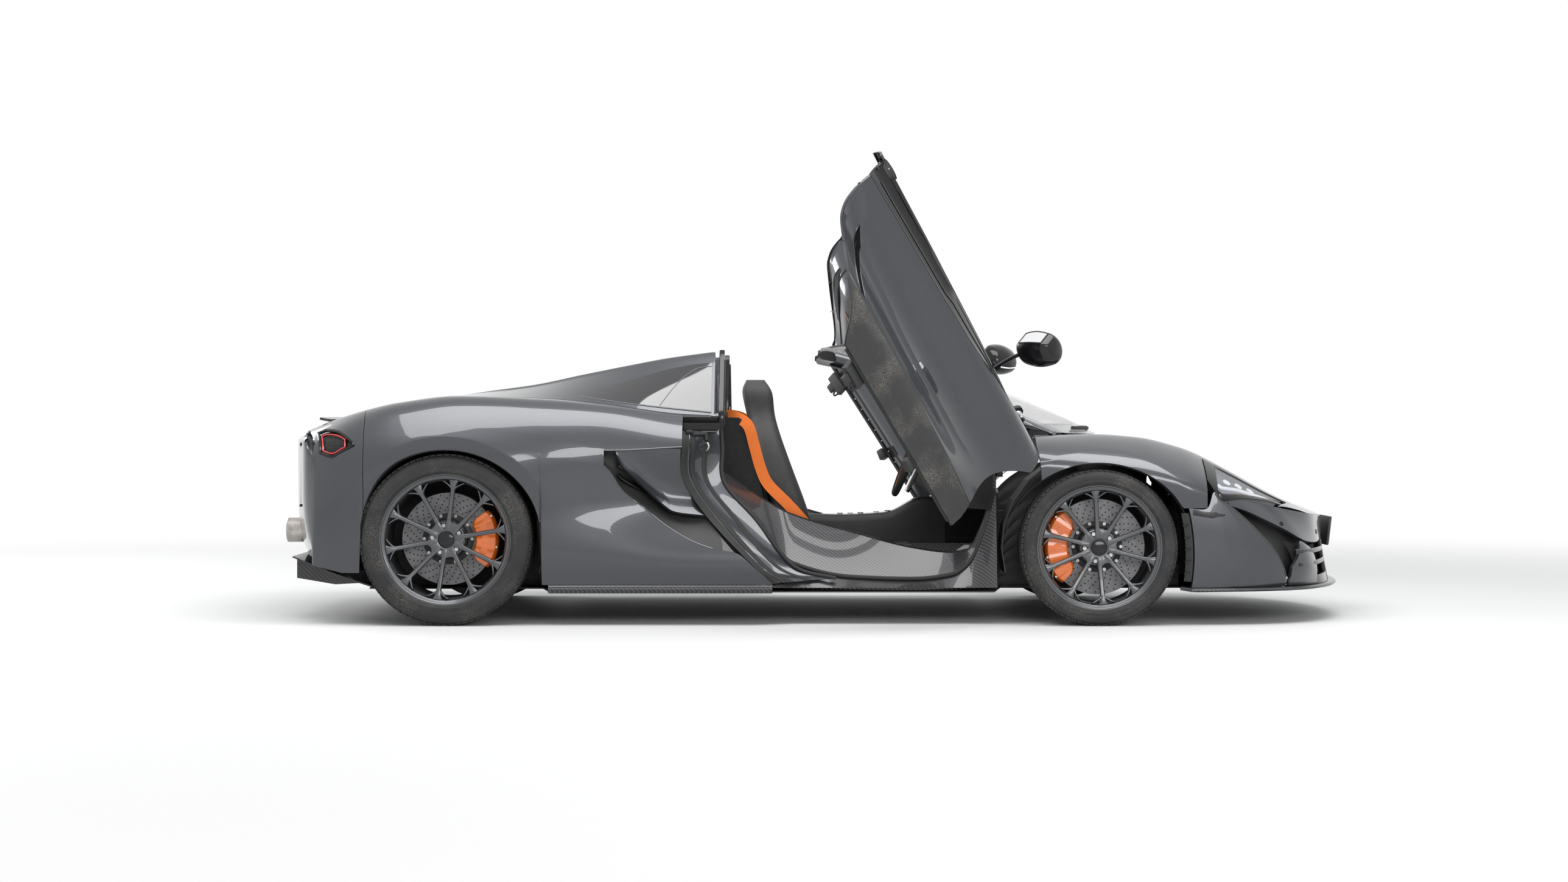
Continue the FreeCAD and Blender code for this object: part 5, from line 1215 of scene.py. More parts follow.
    def _disc(self) -> None:
        """Brake disc with its bell, and the drilled pattern on both faces."""
        disc_r = self.axle.value[5]
        sign = self.side.value
        face = self.axle.bell_face
        outer = face - DISC_INSET
        inner = outer - self.disc_thick
        ring = [(disc_r, outer - 0.001), (disc_r - 0.001, outer), (0.105, outer), (0.105, outer - 0.010),
                (disc_r - 0.008, outer - 0.012), (disc_r - 0.008, inner + 0.012), (0.105, inner + 0.010),
                (0.105, inner), (disc_r - 0.001, inner), (disc_r, inner + 0.001), (disc_r, inner + 0.010),
                (disc_r - 0.006, inner + 0.012), (disc_r - 0.006, outer - 0.012), (disc_r, outer - 0.010)]
        DRESS.put(f"disc {self.body}", self._turned(ring, 120), Look.DISC, self.body,
                  replaces=[f"disc_{self.axle.label}_{self.side.label}"], angle=35)
        bell = [(0.0, face), (0.074, face), (0.080, face - 0.004), (0.084, face - 0.030),
                (0.112, outer - 0.004),
                (0.112, outer - 0.012), (0.070, outer - 0.010), (0.062, face - 0.010), (0.0, face - 0.010)]
        DRESS.put(f"bell {self.body}", self._turned(bell, 72), Look.BLACK_METAL, self.body, angle=35)
        stub = [(0.0, face - 0.010), (0.0255, face - 0.010), (0.0255, face - 0.110), (0.020, face - 0.117),
                (0.0, face - 0.117)]
        DRESS.put(f"stub shaft {self.body}", self._turned(stub, 32), Look.STEEL, self.body, angle=35)
        points = []
        rows = np.linspace(0.118, disc_r - 0.010, 6)
        for k in range(30):
            for i, r in enumerate(rows):
                a = 2 * math.pi * k / 30 + 0.035 * i + (math.pi / 30 if i % 2 else 0.0)
                for y in (outer, inner):
                    points.append(self.centre + np.array([r * math.cos(a), sign * y, r * math.sin(a)]))
        # The drilled holes are flat dark pegs of painted shade.
        Repeater.on_points(f"drilled holes {self.body}", np.array(points), ACROSS, Look.HOLE,
                           self.body, 0.0031, 0.0002, 10)
        pins = np.array([[0.098 * math.cos(a), sign * (outer + 0.001), 0.098 * math.sin(a)]
                         for a in np.linspace(0, 2 * math.pi, 10, endpoint=False)])
        Repeater.on_points(f"disc bobbins {self.body}", self.centre + pins, ACROSS, Look.STEEL,
                           self.body, 0.0068, 0.009, 16)


@dataclass
class Brake:
    """Caliper with its pistons' bulges, bridge bolts and brake line."""

    axle: Axle
    side: Side

    @property
    def spread(self) -> float:
        """Half of the arc that the caliper covers, in degrees."""
        return 46.0 if self.axle is Axle.FRONT else 36.0

    @property
    def body(self) -> str:
        """Body that carries the caliper."""
        return f"knuckle_{self.side.label}" if self.axle is Axle.FRONT else "chassis"

    def build(self) -> None:
        """Make the caliper and its details."""
        x, y, tyre_r, _, _, disc_r = self.axle.value
        sign = self.side.value
        centre = np.array([x, sign * y, tyre_r])
        middle = self.axle.bell_face - DISC_INSET - 0.016
        slot = 0.0215
        inner, outer = disc_r - 0.078, disc_r + 0.019
        start = 180.0 if self.axle is Axle.FRONT else 0.0
        half_arc = self.spread
        steps = 30
        rings = []
        for t in np.linspace(-1, 1, steps + 1):
            a = math.radians(start + half_arc * t)
            ease = max(0.0, (abs(t) - 0.72) / 0.28) ** 2
            shrink = 1.0 - 0.34 * ease
            low, out_r = inner + 0.026 * ease, outer - 0.0085 * ease
            bulge = 0.004 * math.cos(3 * math.pi * t) ** 2
            wall_out = (0.0215 + bulge) * (0.6 + 0.4 * shrink)
            wall_in = 0.0295 * (0.6 + 0.4 * shrink)
            section = [(low + 0.004, middle - slot - wall_in), (out_r - 0.010, middle - slot - wall_in),
                       (out_r, middle - slot - wall_in + 0.012), (out_r, middle + slot + wall_out - 0.014),
                       (out_r - 0.012, middle + slot + wall_out), (low + 0.010, middle + slot + wall_out),
                       (low + 0.002, middle + slot + wall_out - 0.008), (low + 0.002, middle + slot),
                       (disc_r + 0.006, middle + slot), (disc_r + 0.006, middle - slot),
                       (low + 0.004, middle - slot)]
            rings.append(np.array([[centre[0] + r * math.cos(a), centre[1] + sign * w,
                                    centre[2] + r * math.sin(a)]
                                   for r, w in section]))
        label = f"{self.axle.label} {self.side.label}"
        replaces = [f"caliper_front_{self.side.label}"] if self.axle is Axle.FRONT else ["rear_calipers"]
        DRESS.put(f"caliper {label}", loft(rings), Look.CALIPER, self.body, replaces=replaces, bevel=0.0022,
                  angle=42)
        self._details(centre, start, inner, outer, middle, slot, label)

    def _details(self, centre: np.ndarray, start: float, inner: float, outer: float, middle: float,
                 slot: float,
                 label: str) -> None:
        """Piston caps, pad pins and the brake line."""
        sign = self.side.value
        angles = [math.radians(start + t * self.spread) for t in (-0.52, 0.0, 0.52)]
        mid_r = (inner + outer) / 2 - 0.004
        caps = [[mid_r * math.cos(a), sign * (middle + slot + 0.0235), mid_r * math.sin(a)] for a in angles]
        Repeater.on_points(f"piston caps {label}", centre + np.array(caps), ACROSS, Look.CALIPER,
                           self.body, 0.0165, 0.004, 28)
        pins = [[(outer - 0.006) * math.cos(a), sign * (middle + slot + 0.016), (outer - 0.006) * math.sin(a)]
                for a in [math.radians(start + t * self.spread) for t in (-0.78, -0.26, 0.26, 0.78)]]
        Repeater.on_points(f"bridge bolts {label}", centre + np.array(pins), ACROSS, Look.STEEL,
                           self.body, 0.0048, 0.012, 6)
        a = math.radians(start)
        root = centre + np.array([inner * math.cos(a), sign * (middle - slot - 0.02), inner * math.sin(a)])
        inward = -sign
        route = bezier([root, root + np.array([0.0, inward * 0.03, 0.02]),
                        root + np.array([0.01, inward * 0.06, 0.05])],
                       12)
        DRESS.put(f"brake line {label}", pipe(route, 0.0035, 8), Look.SEAL, self.body)


# Body panels

def facing(form: Form, inward: Sequence[float]) -> Form:
    """Form whose faces look away from a point on the hidden side."""
    face = form.faces[len(form.faces) // 2]
    a, b, c = (form.vertices[k] for k in face[:3])
    if np.dot(np.cross(b - a, c - b), np.array(inward) - a) > 0:
        return Form(form.vertices, [f[::-1] for f in form.faces])
    return form


def surface(grid: np.ndarray, inward: Sequence[float]) -> Form:
    """Open surface over a grid of points, seen from the side that looks away from inward."""
    return facing(grid_form(grid), inward)


def skin(s: Number, u: Number, side: int = -1) -> np.ndarray:
    """Body surface with the ridges over its wheel arches."""
    return flared(SHELL.point(s, u, side))


def flank_patch(s: np.ndarray, top: Number, low: Number, rows: int, depth: float = 0.0) -> np.ndarray:
    """Grid on the right flank between two heights.

    Args:
        s: Stations, one for each column of the grid.
        top: Upper height, one value or one for each station.
        low: Lower height.
        rows: Number of rows from top to low.
        depth: How far the patch is sunk into the car.

    Returns:
        Points, shaped (rows, stations, 3).
    """
    t = np.linspace(0, 1, rows)[:, None]
    top, low = np.broadcast_to(top, s.shape), np.broadcast_to(low, s.shape)
    z = top[None] + (low - top)[None] * t
    grid = flared(SHELL.flank(np.broadcast_to(s, z.shape), z))
    grid[..., 1] += depth
    return grid


def side_curve(pairs: Sequence[tuple[float, float]]) -> Curve:
    """Curve of height over station, from points given front to back or back to front."""
    return Curve(sorted(pairs))


@dataclass
class Panels:
    """Shared way of making the body's pressed panels, for both sides unless told otherwise."""

    depth: float = 0.011
    gauge: float = 0.0022

    def panel(self, name: str, grid: np.ndarray, look: Finish, body: str = CHASSIS, edges: str = "NSEW",
              replaces: Sequence[str] = (), inward: Optional[Sequence[float]] = None, both: bool = True,
              depth: Optional[float] = None) -> bpy.types.Object:
        """Make one panel with folded edges from a right-hand grid.

        Args:
            name: Name of the object.
            grid: Outer points.
            look: Finish.
            body: Body that carries it.
            edges: Edges that are folded in.
            replaces: Frame nodes that it stands for.
            inward: A point on its hidden side.
            both: Whether the mirror image is made too.
            depth: Depth of the fold.

        Returns:
            The object.
        """
        middle = grid[grid.shape[0] // 2, grid.shape[1] // 2]
        inward = (middle[0], 0.0, 0.4) if inward is None else inward
        folded = rolled(grid, depth or self.depth, inward, edges)
        form = surface(folded, inward)
        if both:
            form = form.both()
        return DRESS.put(name, form, look, body, replaces, solid=self.gauge, angle=34)

PANELS = Panels()


@dataclass
class FrontWing:
    """Front fender with the lamp set into its corner."""

    rear: ClassVar[Curve] = Curve([(0.590, 0.905), (0.640, 0.901), (0.700, 0.896), (0.790, 0.890)])
    front: float = 1.5992
    lamp_top: float = 2.1
    lid_edge: float = 1.462
    lid_front: float = 2.070
    low: float = 0.480

    def build(self) -> None:
        """Make the wing and its strip above the lamp."""
        share_s = np.linspace(0, 1, 74)[:, None]
        share_u = np.linspace(0, 1, 34)[None]
        upper = np.clip(share_u / 0.36, 0, 1)
        lower = np.clip((share_u - 0.36) / 0.64, 0, 1)
        rear_s = np.full((1, 34), 0.902)
        for _ in range(3):
            u = self._lines(np.broadcast_to(rear_s, (1, 34)), upper, lower)
            rear_s = self.rear(SHELL.point(rear_s, u)[..., 2])
        s = rear_s + (self.front - rear_s) * share_s
        grid = skin(s, self._lines(s, upper, lower))
        PANELS.panel("front wings", grid, Look.PAINT, replaces=["front_fenders"])
        s = np.linspace(self.front - 0.003, self.lid_front, 30)[:, None]
        u = np.linspace(self.lid_edge, self.lamp_top - 0.004, 10)[None]
        PANELS.panel("lamp brows", SHELL.point(*np.broadcast_arrays(s, u)), Look.PAINT)

    def _lines(self, s: np.ndarray, upper: np.ndarray, lower: np.ndarray) -> np.ndarray:
        """Line parameters down the wing at stations s."""
        lip = SHELL.flank_u(s, arch_z(s, Axle.FRONT, self.low))
        edge = self.lamp_top - 0.004
        return self.lid_edge + (edge - self.lid_edge) * upper + (lip - edge) * lower


@dataclass
class HeadLamp:
    """Lamp pod: black surround, smoked lens, stepped reflectors and the duct below."""

    bottom: ClassVar[Curve] = Curve([(1.600, 0.596), (1.650, 0.540), (1.700, 0.508), (1.800, 0.514),
                                     (1.950, 0.505),
                                     (2.080, 0.480)])
    rear: float = 1.606
    front: float = 2.066
    top: float = 2.1

    def _grid(self, inset: float, sink: float, rows: int = 40, columns: int = 18,
              drop: float = 0.0) -> np.ndarray:
        """Grid over the lamp's area, narrowed by a share and sunk by a depth."""
        share_s = np.linspace(inset, 1 - inset, rows)[:, None]
        share_u = np.linspace(inset * 0.6, 1 - inset * 1.6 - drop, columns)[None]
        s = self.rear + (self.front - self.rear) * share_s
        low = SHELL.flank_u(s, self.bottom(s) + 0.005)
        u = self.top + 0.004 + (low - self.top - 0.004) * share_u
        s, u = np.broadcast_arrays(s, u)
        return sunk(SHELL.point(s, u), sink, (1.5, 0, 0.3))

    def build(self) -> None:
        """Make the pod's pieces."""
        PANELS.panel("lamp housings", self._grid(0.0, 0.014), Look.LAMP_BLACK, inward=(1.5, 0, 0.3),
                     edges="NSEW",
                     replaces=["headlamps"])
        PANELS.panel("lamp lenses", self._grid(0.055, 0.0015, drop=0.12), Look.LENS, inward=(1.5, 0, 0.3),
                     depth=0.010)
        self._surround()
        self._lights()
        self._duct()

    def _surround(self) -> None:
        """Gloss black frame that runs round the lens's rear and its foot."""
        outer, inner = self._grid(0.0, -0.0005), self._grid(0.0, 0.004)
        height = outer.shape[1]
        for name, rows, columns in (("rear", slice(0, 6), slice(0, height)),
                                    ("foot", slice(5, 40), slice(13, 18)),
                                    ("brow", slice(5, 40), slice(0, 2))):
            part = outer[rows, columns].copy()
            if name == "foot":
                part[:, 0] = inner[rows, columns][:, 0]
            PANELS.panel(f"lamp surround {name}", part, Look.GLOSS, inward=(1.5, 0, 0.3), depth=0.012)

    def _lights(self) -> None:
        """Projectors and the bright blade of light guides."""
        deep = self._grid(0.07, 0.010, 34, 12, drop=0.14)
        line = deep[3:30, 8]
        guide = pipe(line, 0.0036, 8, flat=2.0)
        DRESS.put("lamp light guides", guide.both(), Look.LAMP_LIGHT)
        for row in (4, 6):
            rib = pipe(deep[6:26, row], 0.0018, 6)
            DRESS.put(f"lamp ribs {row}", rib.both(), Look.LAMP_BLACK)
        centres = deep[[8, 14, 20], 5]
        towards = -normals_of(deep, (1.5, 0, 0.3))[[8, 14, 20], 5]
        points = np.concatenate([centres, centres * MIRROR])
        ways = np.concatenate([towards, towards * MIRROR])
        Repeater.on_points("lamp projectors", points, ways, Look.LAMP_LIGHT, CHASSIS, 0.017, 0.006, 36)
        Repeater.on_points("lamp projector rings", points - ways * 0.003, ways, Look.STEEL, CHASSIS, 0.021,
                           0.006, 36)

    def _duct(self) -> None:
        """Long dark slot between the lamp and the nose."""
        s = np.linspace(1.645, 2.045, 36)
        z = self.bottom(s) + 0.002
        grid = flank_patch(s, z + 0.010, z - 0.009, 5, depth=0.002)
        PANELS.panel("lamp ducts", grid, Look.PLASTIC, inward=(1.5, 0, 0.3), depth=0.02)


@dataclass
class FrontLid:
    """Luggage lid with its two long creases."""

    edge: float = 1.42
    corner_x: float = 1.062
    bow: float = 0.188
    front: float = 2.064

    def build(self) -> None:
        """Make the lid's skin, its inner frame and its creases."""
        share = np.linspace(-1, 1, 81)[:, None]
        rear = self.corner_x + self.bow * np.cos(math.pi / 2 * np.abs(share) * self.edge / 1.45)
        s = rear + (self.front - rear) * np.linspace(0, 1, 50)[None]
        u = np.abs(share * self.edge) * np.ones_like(s)
        grid = SHELL.point(s, u) * np.array([1.0, 1.0, 1.0])
        grid[..., 1] *= -np.sign(share + 1e-9)
        crease = np.exp(-((np.abs(grid[..., 1]) - 0.36 + 0.10 * (grid[..., 0] - 1.3)) / 0.022) ** 2)
        fade = np.clip((grid[..., 0] - 1.12) / 0.2, 0, 1) * np.clip((2.06 - grid[..., 0]) / 0.3, 0, 1)
        grid[..., 2] += 0.0045 * crease * fade
        PANELS.panel("luggage lid", grid, Look.PAINT, "front_lid", inward=(1.5, 0, 0), both=False,
                     replaces=["front_lid"], depth=0.014)
        frame_grid = sunk(grid[3:-3:2, 3:-3:2], 0.0145, (1.5, 0, 0))
        form = surface(frame_grid, (1.5, 0, 0))
        DRESS.put("luggage lid frame", form, Look.PLASTIC, "front_lid", solid=0.002)
        for side in Side:
            y = side.value * 0.594
            arm = [(1.046, 0.733), (1.046, 0.747), (1.152, 0.742), (1.158, 0.724)]
            DRESS.put(f"lid arm {side.label}", extruded(arm, y - 0.009, y + 0.009), Look.BLACK_METAL,
                      "front_lid",
                      bevel=0.001)
            ring = [(0.00606, -0.009), (0.011, -0.009), (0.011, 0.009), (0.00606, 0.009)]
            DRESS.put(f"lid eye {side.label}", turned(ring, (1.046, y, 0.742), 32), Look.BLACK_METAL,
                      "front_lid")


@dataclass
class Nose:
    """Nose wrap: painted upper part, corner panels, side intakes with their blades, and the splitter."""

    # millimetres: station, section parameter of the top or None on the flank, middle x, y, z, lowest x, y
    RIBS: ClassVar = (
        (1506, None, 1528, 930, 315, 1520, 905), (1598, None, 1640, 926, 318, 1640, 893),
        (1640, None, 1690, 918, 320, 1700, 882), (1700, None, 1765, 900, 320, 1780, 860),
        (1800, None, 1862, 858, 320, 1885, 812), (1930, None, 1965, 775, 315, 1990, 735),
        (2066, None, 2035, 685, 312, 2066, 645), (2200, 2.5, 2100, 545, 310, 2136, 515),
        (2200, 1.6, 2152, 375, 310, 2186, 352), (2200, 0.75, 2190, 190, 310, 2220, 175),
        (2200, 0.0, 2204, 0, 310, 2232, 0),
    )
    blade_z: float = 0.136
    blade_t: float = 0.016
    fender_low: float = 0.4792
    inward: ClassVar = (1.5, 0.0, 0.3)

    def __post_init__(self) -> None:
        tops, mids, lows = [], [], []
        for station, u, mx, my, mz, lx, ly in self.RIBS:
            s = station * MM
            if u is not None:
                top = SHELL.point(s, u)
            elif station < 1600:
                top = flared(SHELL.flank(s, self.fender_low))
            else:
                top = SHELL.flank(s, HeadLamp.bottom(s) - 0.004)
            tops.append(top)
            mids.append(np.array([mx, -my, mz]) * MM)
            lows.append(np.array([lx * MM, -ly * MM, self.blade_z + self.blade_t + 0.0014]))
        self.curves = [np.array(c + [p * MIRROR for p in c[-2::-1]]) for c in (tops, mids, lows)]

    def wrap(self, k: Number, t: Number) -> np.ndarray:
        """Point on the wrap at rib number k (0 rear right corner, 10 middle) and share t of the way down."""
        k, t = np.broadcast_arrays(np.asarray(k, dtype=float), np.asarray(t, dtype=float))
        rows = []
        for points in self.curves:
            padded = np.concatenate([2 * points[:1] - points[1:2], points, 2 * points[-1:] - points[-2:-1]])
            i = np.clip(k.astype(int), 0, len(points) - 2)
            rows.append(catmull(*(padded[i + n] for n in range(4)), (k - i)[..., None]))
        top, mid, low = rows
        t = t[..., None]
        return top * (1 - t) * (1 - 2 * t) + mid * 4 * t * (1 - t) + low * t * (2 * t - 1)

    def build(self) -> None:
        """Make every piece of the nose."""
        front_edge = Curve([(0.0, 3.26), (0.36, 3.72), (0.70, 4.14), (1.0, 4.38)])
        self._corner(front_edge)
        upper_low = Curve([(3.3, 0.03), (4.0, 0.12), (5.0, 0.28), (6.2, 0.43), (7.0, 0.45), (8.0, 0.42),
                           (10.0, 0.42)])
        a = np.linspace(3.34, 10.0, 90)[None]
        b = np.linspace(0, 1, 16)[:, None]
        grid = self.wrap(a + 0 * b, upper_low(a) * b)
        PANELS.panel("nose upper", grid, Look.PAINT, inward=self.inward, replaces=["front_bumper"],
                     edges="SW")
        self._top()
        a = np.linspace(7.9, 10.0, 30)[None]
        grid = self.wrap(a + 0 * b, 0.44 + (1.0 - 0.44) * b)
        PANELS.panel("nose centre", grid, Look.PLASTIC, inward=self.inward, edges="NSW")
        a = np.linspace(4.42, 7.96, 60)[None]
        b = np.linspace(0, 1, 6)[:, None]
        grid = self.wrap(a + 0 * b, 0.885 + (1.0 - 0.885) * b)
        PANELS.panel("nose lower lip", grid, Look.GLOSS, inward=self.inward, edges="NSE")
        self._intake()
        self._blade()
        self._splitter()
        self._plate()
        self._trim()

    def _corner(self, front_edge: Curve) -> None:
        """Painted panel behind the intake, with a lighter line along its front edge as painted highlight."""
        b = np.linspace(0, 1, 26)[:, None]
        a = np.linspace(0, 1, 40)[None]
        grid = self.wrap(front_edge(b) * a, b + 0 * a)
        PANELS.panel("nose corners", grid, Look.PAINT, inward=self.inward)
        # Lighter pipe along the corner's front edge: painted highlight.
        edge = self.wrap(front_edge(np.linspace(0.02, 0.96, 30)) + 0.02, np.linspace(0.02, 0.96, 30))
        edge[:, 1] -= 0.001
        DRESS.put("nose corner edges", pipe(edge, 0.0016, 8).both(), Look.WHEEL)

    def _top(self) -> None:
        """Painted panel between the lid, the lamps and the nose's lip."""
        rows = [(2.0708, 2.84), (2.110, 2.72), (2.150, 2.6), (2.197, 2.44)]
        s_of = Curve([(i / 3, row[0]) for i, row in enumerate(rows)])
        u_of = Curve([(i / 3, row[1]) for i, row in enumerate(rows)])
        b = np.linspace(0, 1, 14)[:, None]
        share = np.linspace(-1, 1, 81)[None]
        s, u = np.broadcast_arrays(s_of(b), np.abs(share) * u_of(b))
        grid = SHELL.point(s, u)
        grid[..., 1] *= -np.sign(share + 1e-9)
        PANELS.panel("nose top", grid, Look.PAINT, inward=(1.5, 0, 0), both=False, edges="N")

    def _intake(self) -> None:
        """Dark intake behind the wrap, with its honeycomb."""
        a = np.linspace(3.3, 8.2, 40)[None]
        b = np.linspace(0, 1, 14)[:, None]
        back = sunk(self.wrap(a + 0 * b, 0.02 + 0.90 * b), 0.055, self.inward)
        form = surface(back, self.inward)
        DRESS.put("intake backs", form.both(), Look.PLASTIC, solid=0.003)
        a = np.linspace(4.9, 7.9, 64)[None]
        b = np.linspace(0, 1, 20)[:, None]
        low = 0.88
        top = Curve([(4.9, 0.40), (6.0, 0.46), (7.9, 0.47)])
        mesh = sunk(self.wrap(a + 0 * b, top(a) + (low - top(a)) * b), 0.030, self.inward)
        Repeater.grille("intake mesh", grid_form(mesh).both(), Look.PLASTIC, CHASSIS, wire=0.0011)
        for t in (0.56, 0.72):
            strip = self.wrap(np.linspace(4.9, 7.9, 30)[None], np.full((3, 1), t))
            bar_line = sunk(strip, 0.020, self.inward)[1]
            DRESS.put(f"intake bar {t}", pipe(bar_line, 0.0045, 8, flat=2.4).both(), Look.GLOSS)

    def _blade(self) -> None:
        """Upright blade in each corner of the intake."""
        rear = Curve([(0.0, 5.62), (0.3, 5.05), (0.65, 4.56), (1.0, 4.48)])
        fore = Curve([(0.0, 5.74), (0.2, 6.30), (0.5, 6.42), (1.0, 6.30)])
        b = np.linspace(0, 1, 24)[:, None]
        a = np.linspace(0, 1, 22)[None]
        k = rear(b) + (fore(b) - rear(b)) * a
        t = 0.43 + (0.985 - 0.43) * b + 0 * a
        grid = self.wrap(k, t)
        crown = np.sin(math.pi * a) * np.sin(math.pi * np.clip(b, 0.0, 0.9)) * 0.006
        grid = grid - normals_of(grid, self.inward) * crown[..., None]
        PANELS.panel("nose blades", grid, Look.PAINT, inward=self.inward, depth=0.016)

    def _splitter(self) -> None:
        """Splitter blade with its rounded nose, and a lighter line along its front face as painted highlight.
        """
        top = self.blade_z + self.blade_t
        reach = 2.265 - self.RIBS[-1][5] * MM
        right = []
        for i, rib in enumerate(self.RIBS):
            right.append([rib[5] * MM + reach * min(1.0, i / 4), -rib[6] * MM - (0.010 if i < 6 else 0.0),
                          top])
        right = np.array(right)
        outer = bezier(np.concatenate([right, right[-2::-1] * MIRROR]), 161)
        inner = outer.copy()
        inner[:, 0] -= np.where(np.abs(outer[:, 1]) < 0.8, 0.150, 0.030)
        inner[:, 1] *= 0.86
        rows = []
        profile = ((1.0, 0.0), (0.12, 0.0), (0.04, -0.0006), (0.0, -0.0052), (0.0, -0.0105), (0.05, -0.0155),
                   (1.0, -0.016))
        for share, dz in profile:
            row = outer + (inner - outer) * share
            row[:, 2] = top + dz
            rows.append(row)
        grid = np.array(rows).transpose(1, 0, 2)
        DRESS.put("splitter", loft(grid), Look.CARBON, replaces=["splitter"], angle=50)
        # Lighter pipe along the splitter's front face: painted highlight.
        edge = outer[6:-6].copy()
        edge[:, 2] = top - 0.0075
        DRESS.put("splitter edge", pipe(edge, 0.0012, 6), Look.WHEEL)

    def _plate(self) -> None:
        """Blank number plate on a black carrier at the tip of the nose."""
        lean = 0.12
        for name, front, grow, depth, look in (("plate carrier", 2.2392, 0.006, 0.010, Look.PLASTIC),
                                               ("plate", 2.2425, 0.0, 0.0032, Look.PLATE)):
            rings = []
            for x in (front - depth, front):
                w, low, high = 0.176 + grow, 0.300 - grow, 0.412 + grow
                rings.append(np.array([[x - lean * (high - z), y, z] for y, z in (
                    (-w, low), (w, low), (w, high), (-w, high))]))
            DRESS.put(name, loft(rings), look, bevel=0.0012)
        screws = np.array([[2.2425 - lean * (0.421 - 0.36), y, 0.36] for y in (-0.155, 0.155)])
        Repeater.on_points("plate screws", screws, np.array([1.0, 0.0, lean]), Look.STEEL, CHASSIS, 0.004,
                           0.003, 20)

    def _trim(self) -> None:
        """Louvre strip behind the corner panel, marker wedge and sensors."""
        z = np.linspace(0.455, 0.180, 24)
        lip = Axle.FRONT.value[0] + 0.372 * np.sqrt(np.clip(1 - ((z - 0.319) / 0.372) ** 2, 0, 1))
        wide = self.wrap(np.zeros_like(z), np.linspace(0.06, 0.92, 24))
        rows = np.stack([wide + np.array([-0.004, 0.012, 0.0]), wide + np.array([-0.030, 0.022, 0.0]),
                         np.stack([lip + 0.020, wide[:, 1] + 0.050, wide[:, 2]], 1)], 1)
        form = surface(rows, (1.5, 0, 0.3))
        DRESS.put("louvre strips", form.both(), Look.PLASTIC, solid=0.004)
        places = np.array([rows[i, 1] + np.array([0.004, -0.006, 0.0]) for i in (4, 8, 12, 16, 20)])
        both = np.concatenate([places, places * MIRROR])
        ups = np.concatenate([np.tile([0.0, -1.0, 0.0], (5, 1)), np.tile([0.0, 1.0, 0.0], (5, 1))])
        Repeater.along("louvres", both, np.tile([1.0, 0.0, 0.25], (10, 1)), ups, Look.GLOSS, CHASSIS,
                       (0.026, 0.005, 0.014))
        s = np.linspace(1.522, 1.655, 20)
        high = np.interp(s, [1.522, 1.655], [0.4735, 0.4535])
        low = np.interp(s, [1.522, 1.60, 1.655], [0.452, 0.4385, 0.4495])
        grid = self._on_wrap(s, high, low)
        PANELS.panel("side markers", grid, Look.GLOSS, inward=self.inward, depth=0.004)
        sensor = np.array([self.wrap(5.15, 0.235), self.wrap(7.4, 0.30)])
        points = np.concatenate([sensor, sensor * MIRROR])
        ways = np.array([[0.45, -0.88, 0.1], [0.85, -0.5, 0.1], [0.45, 0.88, 0.1], [0.85, 0.5, 0.1]])
        Repeater.on_points("parking sensors", points, ways, Look.GLOSS, CHASSIS, 0.0095, 0.006, 28)

    def _on_wrap(self, s: np.ndarray, high: np.ndarray, low: np.ndarray) -> np.ndarray:
        """Grid laid 1 mm over the wrap between two heights, found by its x and z."""
        rows = []
        for t in np.linspace(0, 1, 6):
            z = high + (low - high) * t
            row = []
            for x_here, z_here in zip(s, z):
                k, v = 1.5, 0.1
                for _ in range(12):
                    p = self.wrap(k, v)
                    px = self.wrap(k + 0.01, v)
                    pz = self.wrap(k, v + 0.01)
                    k += 0.01 * (x_here - p[0]) / max(px[0] - p[0], 1e-5)
                    v += 0.01 * (z_here - p[2]) / min(pz[2] - p[2], -1e-5)
                    k, v = float(np.clip(k, 0.0, 9.9)), float(np.clip(v, 0.0, 1.0))
                p = self.wrap(k, v)
                row.append(p + np.array([0.0, -0.0012, 0.0]))
            rows.append(row)
        return np.array(rows)


DOOR_REAR = Curve([(0.136, -0.150), (0.165, -0.186), (0.227, -0.249), (0.300, -0.341), (0.441, -0.461),
                   (0.491, -0.511), (0.566, -0.549), (0.641, -0.566), (0.735, -0.563), (0.850, -0.556)])


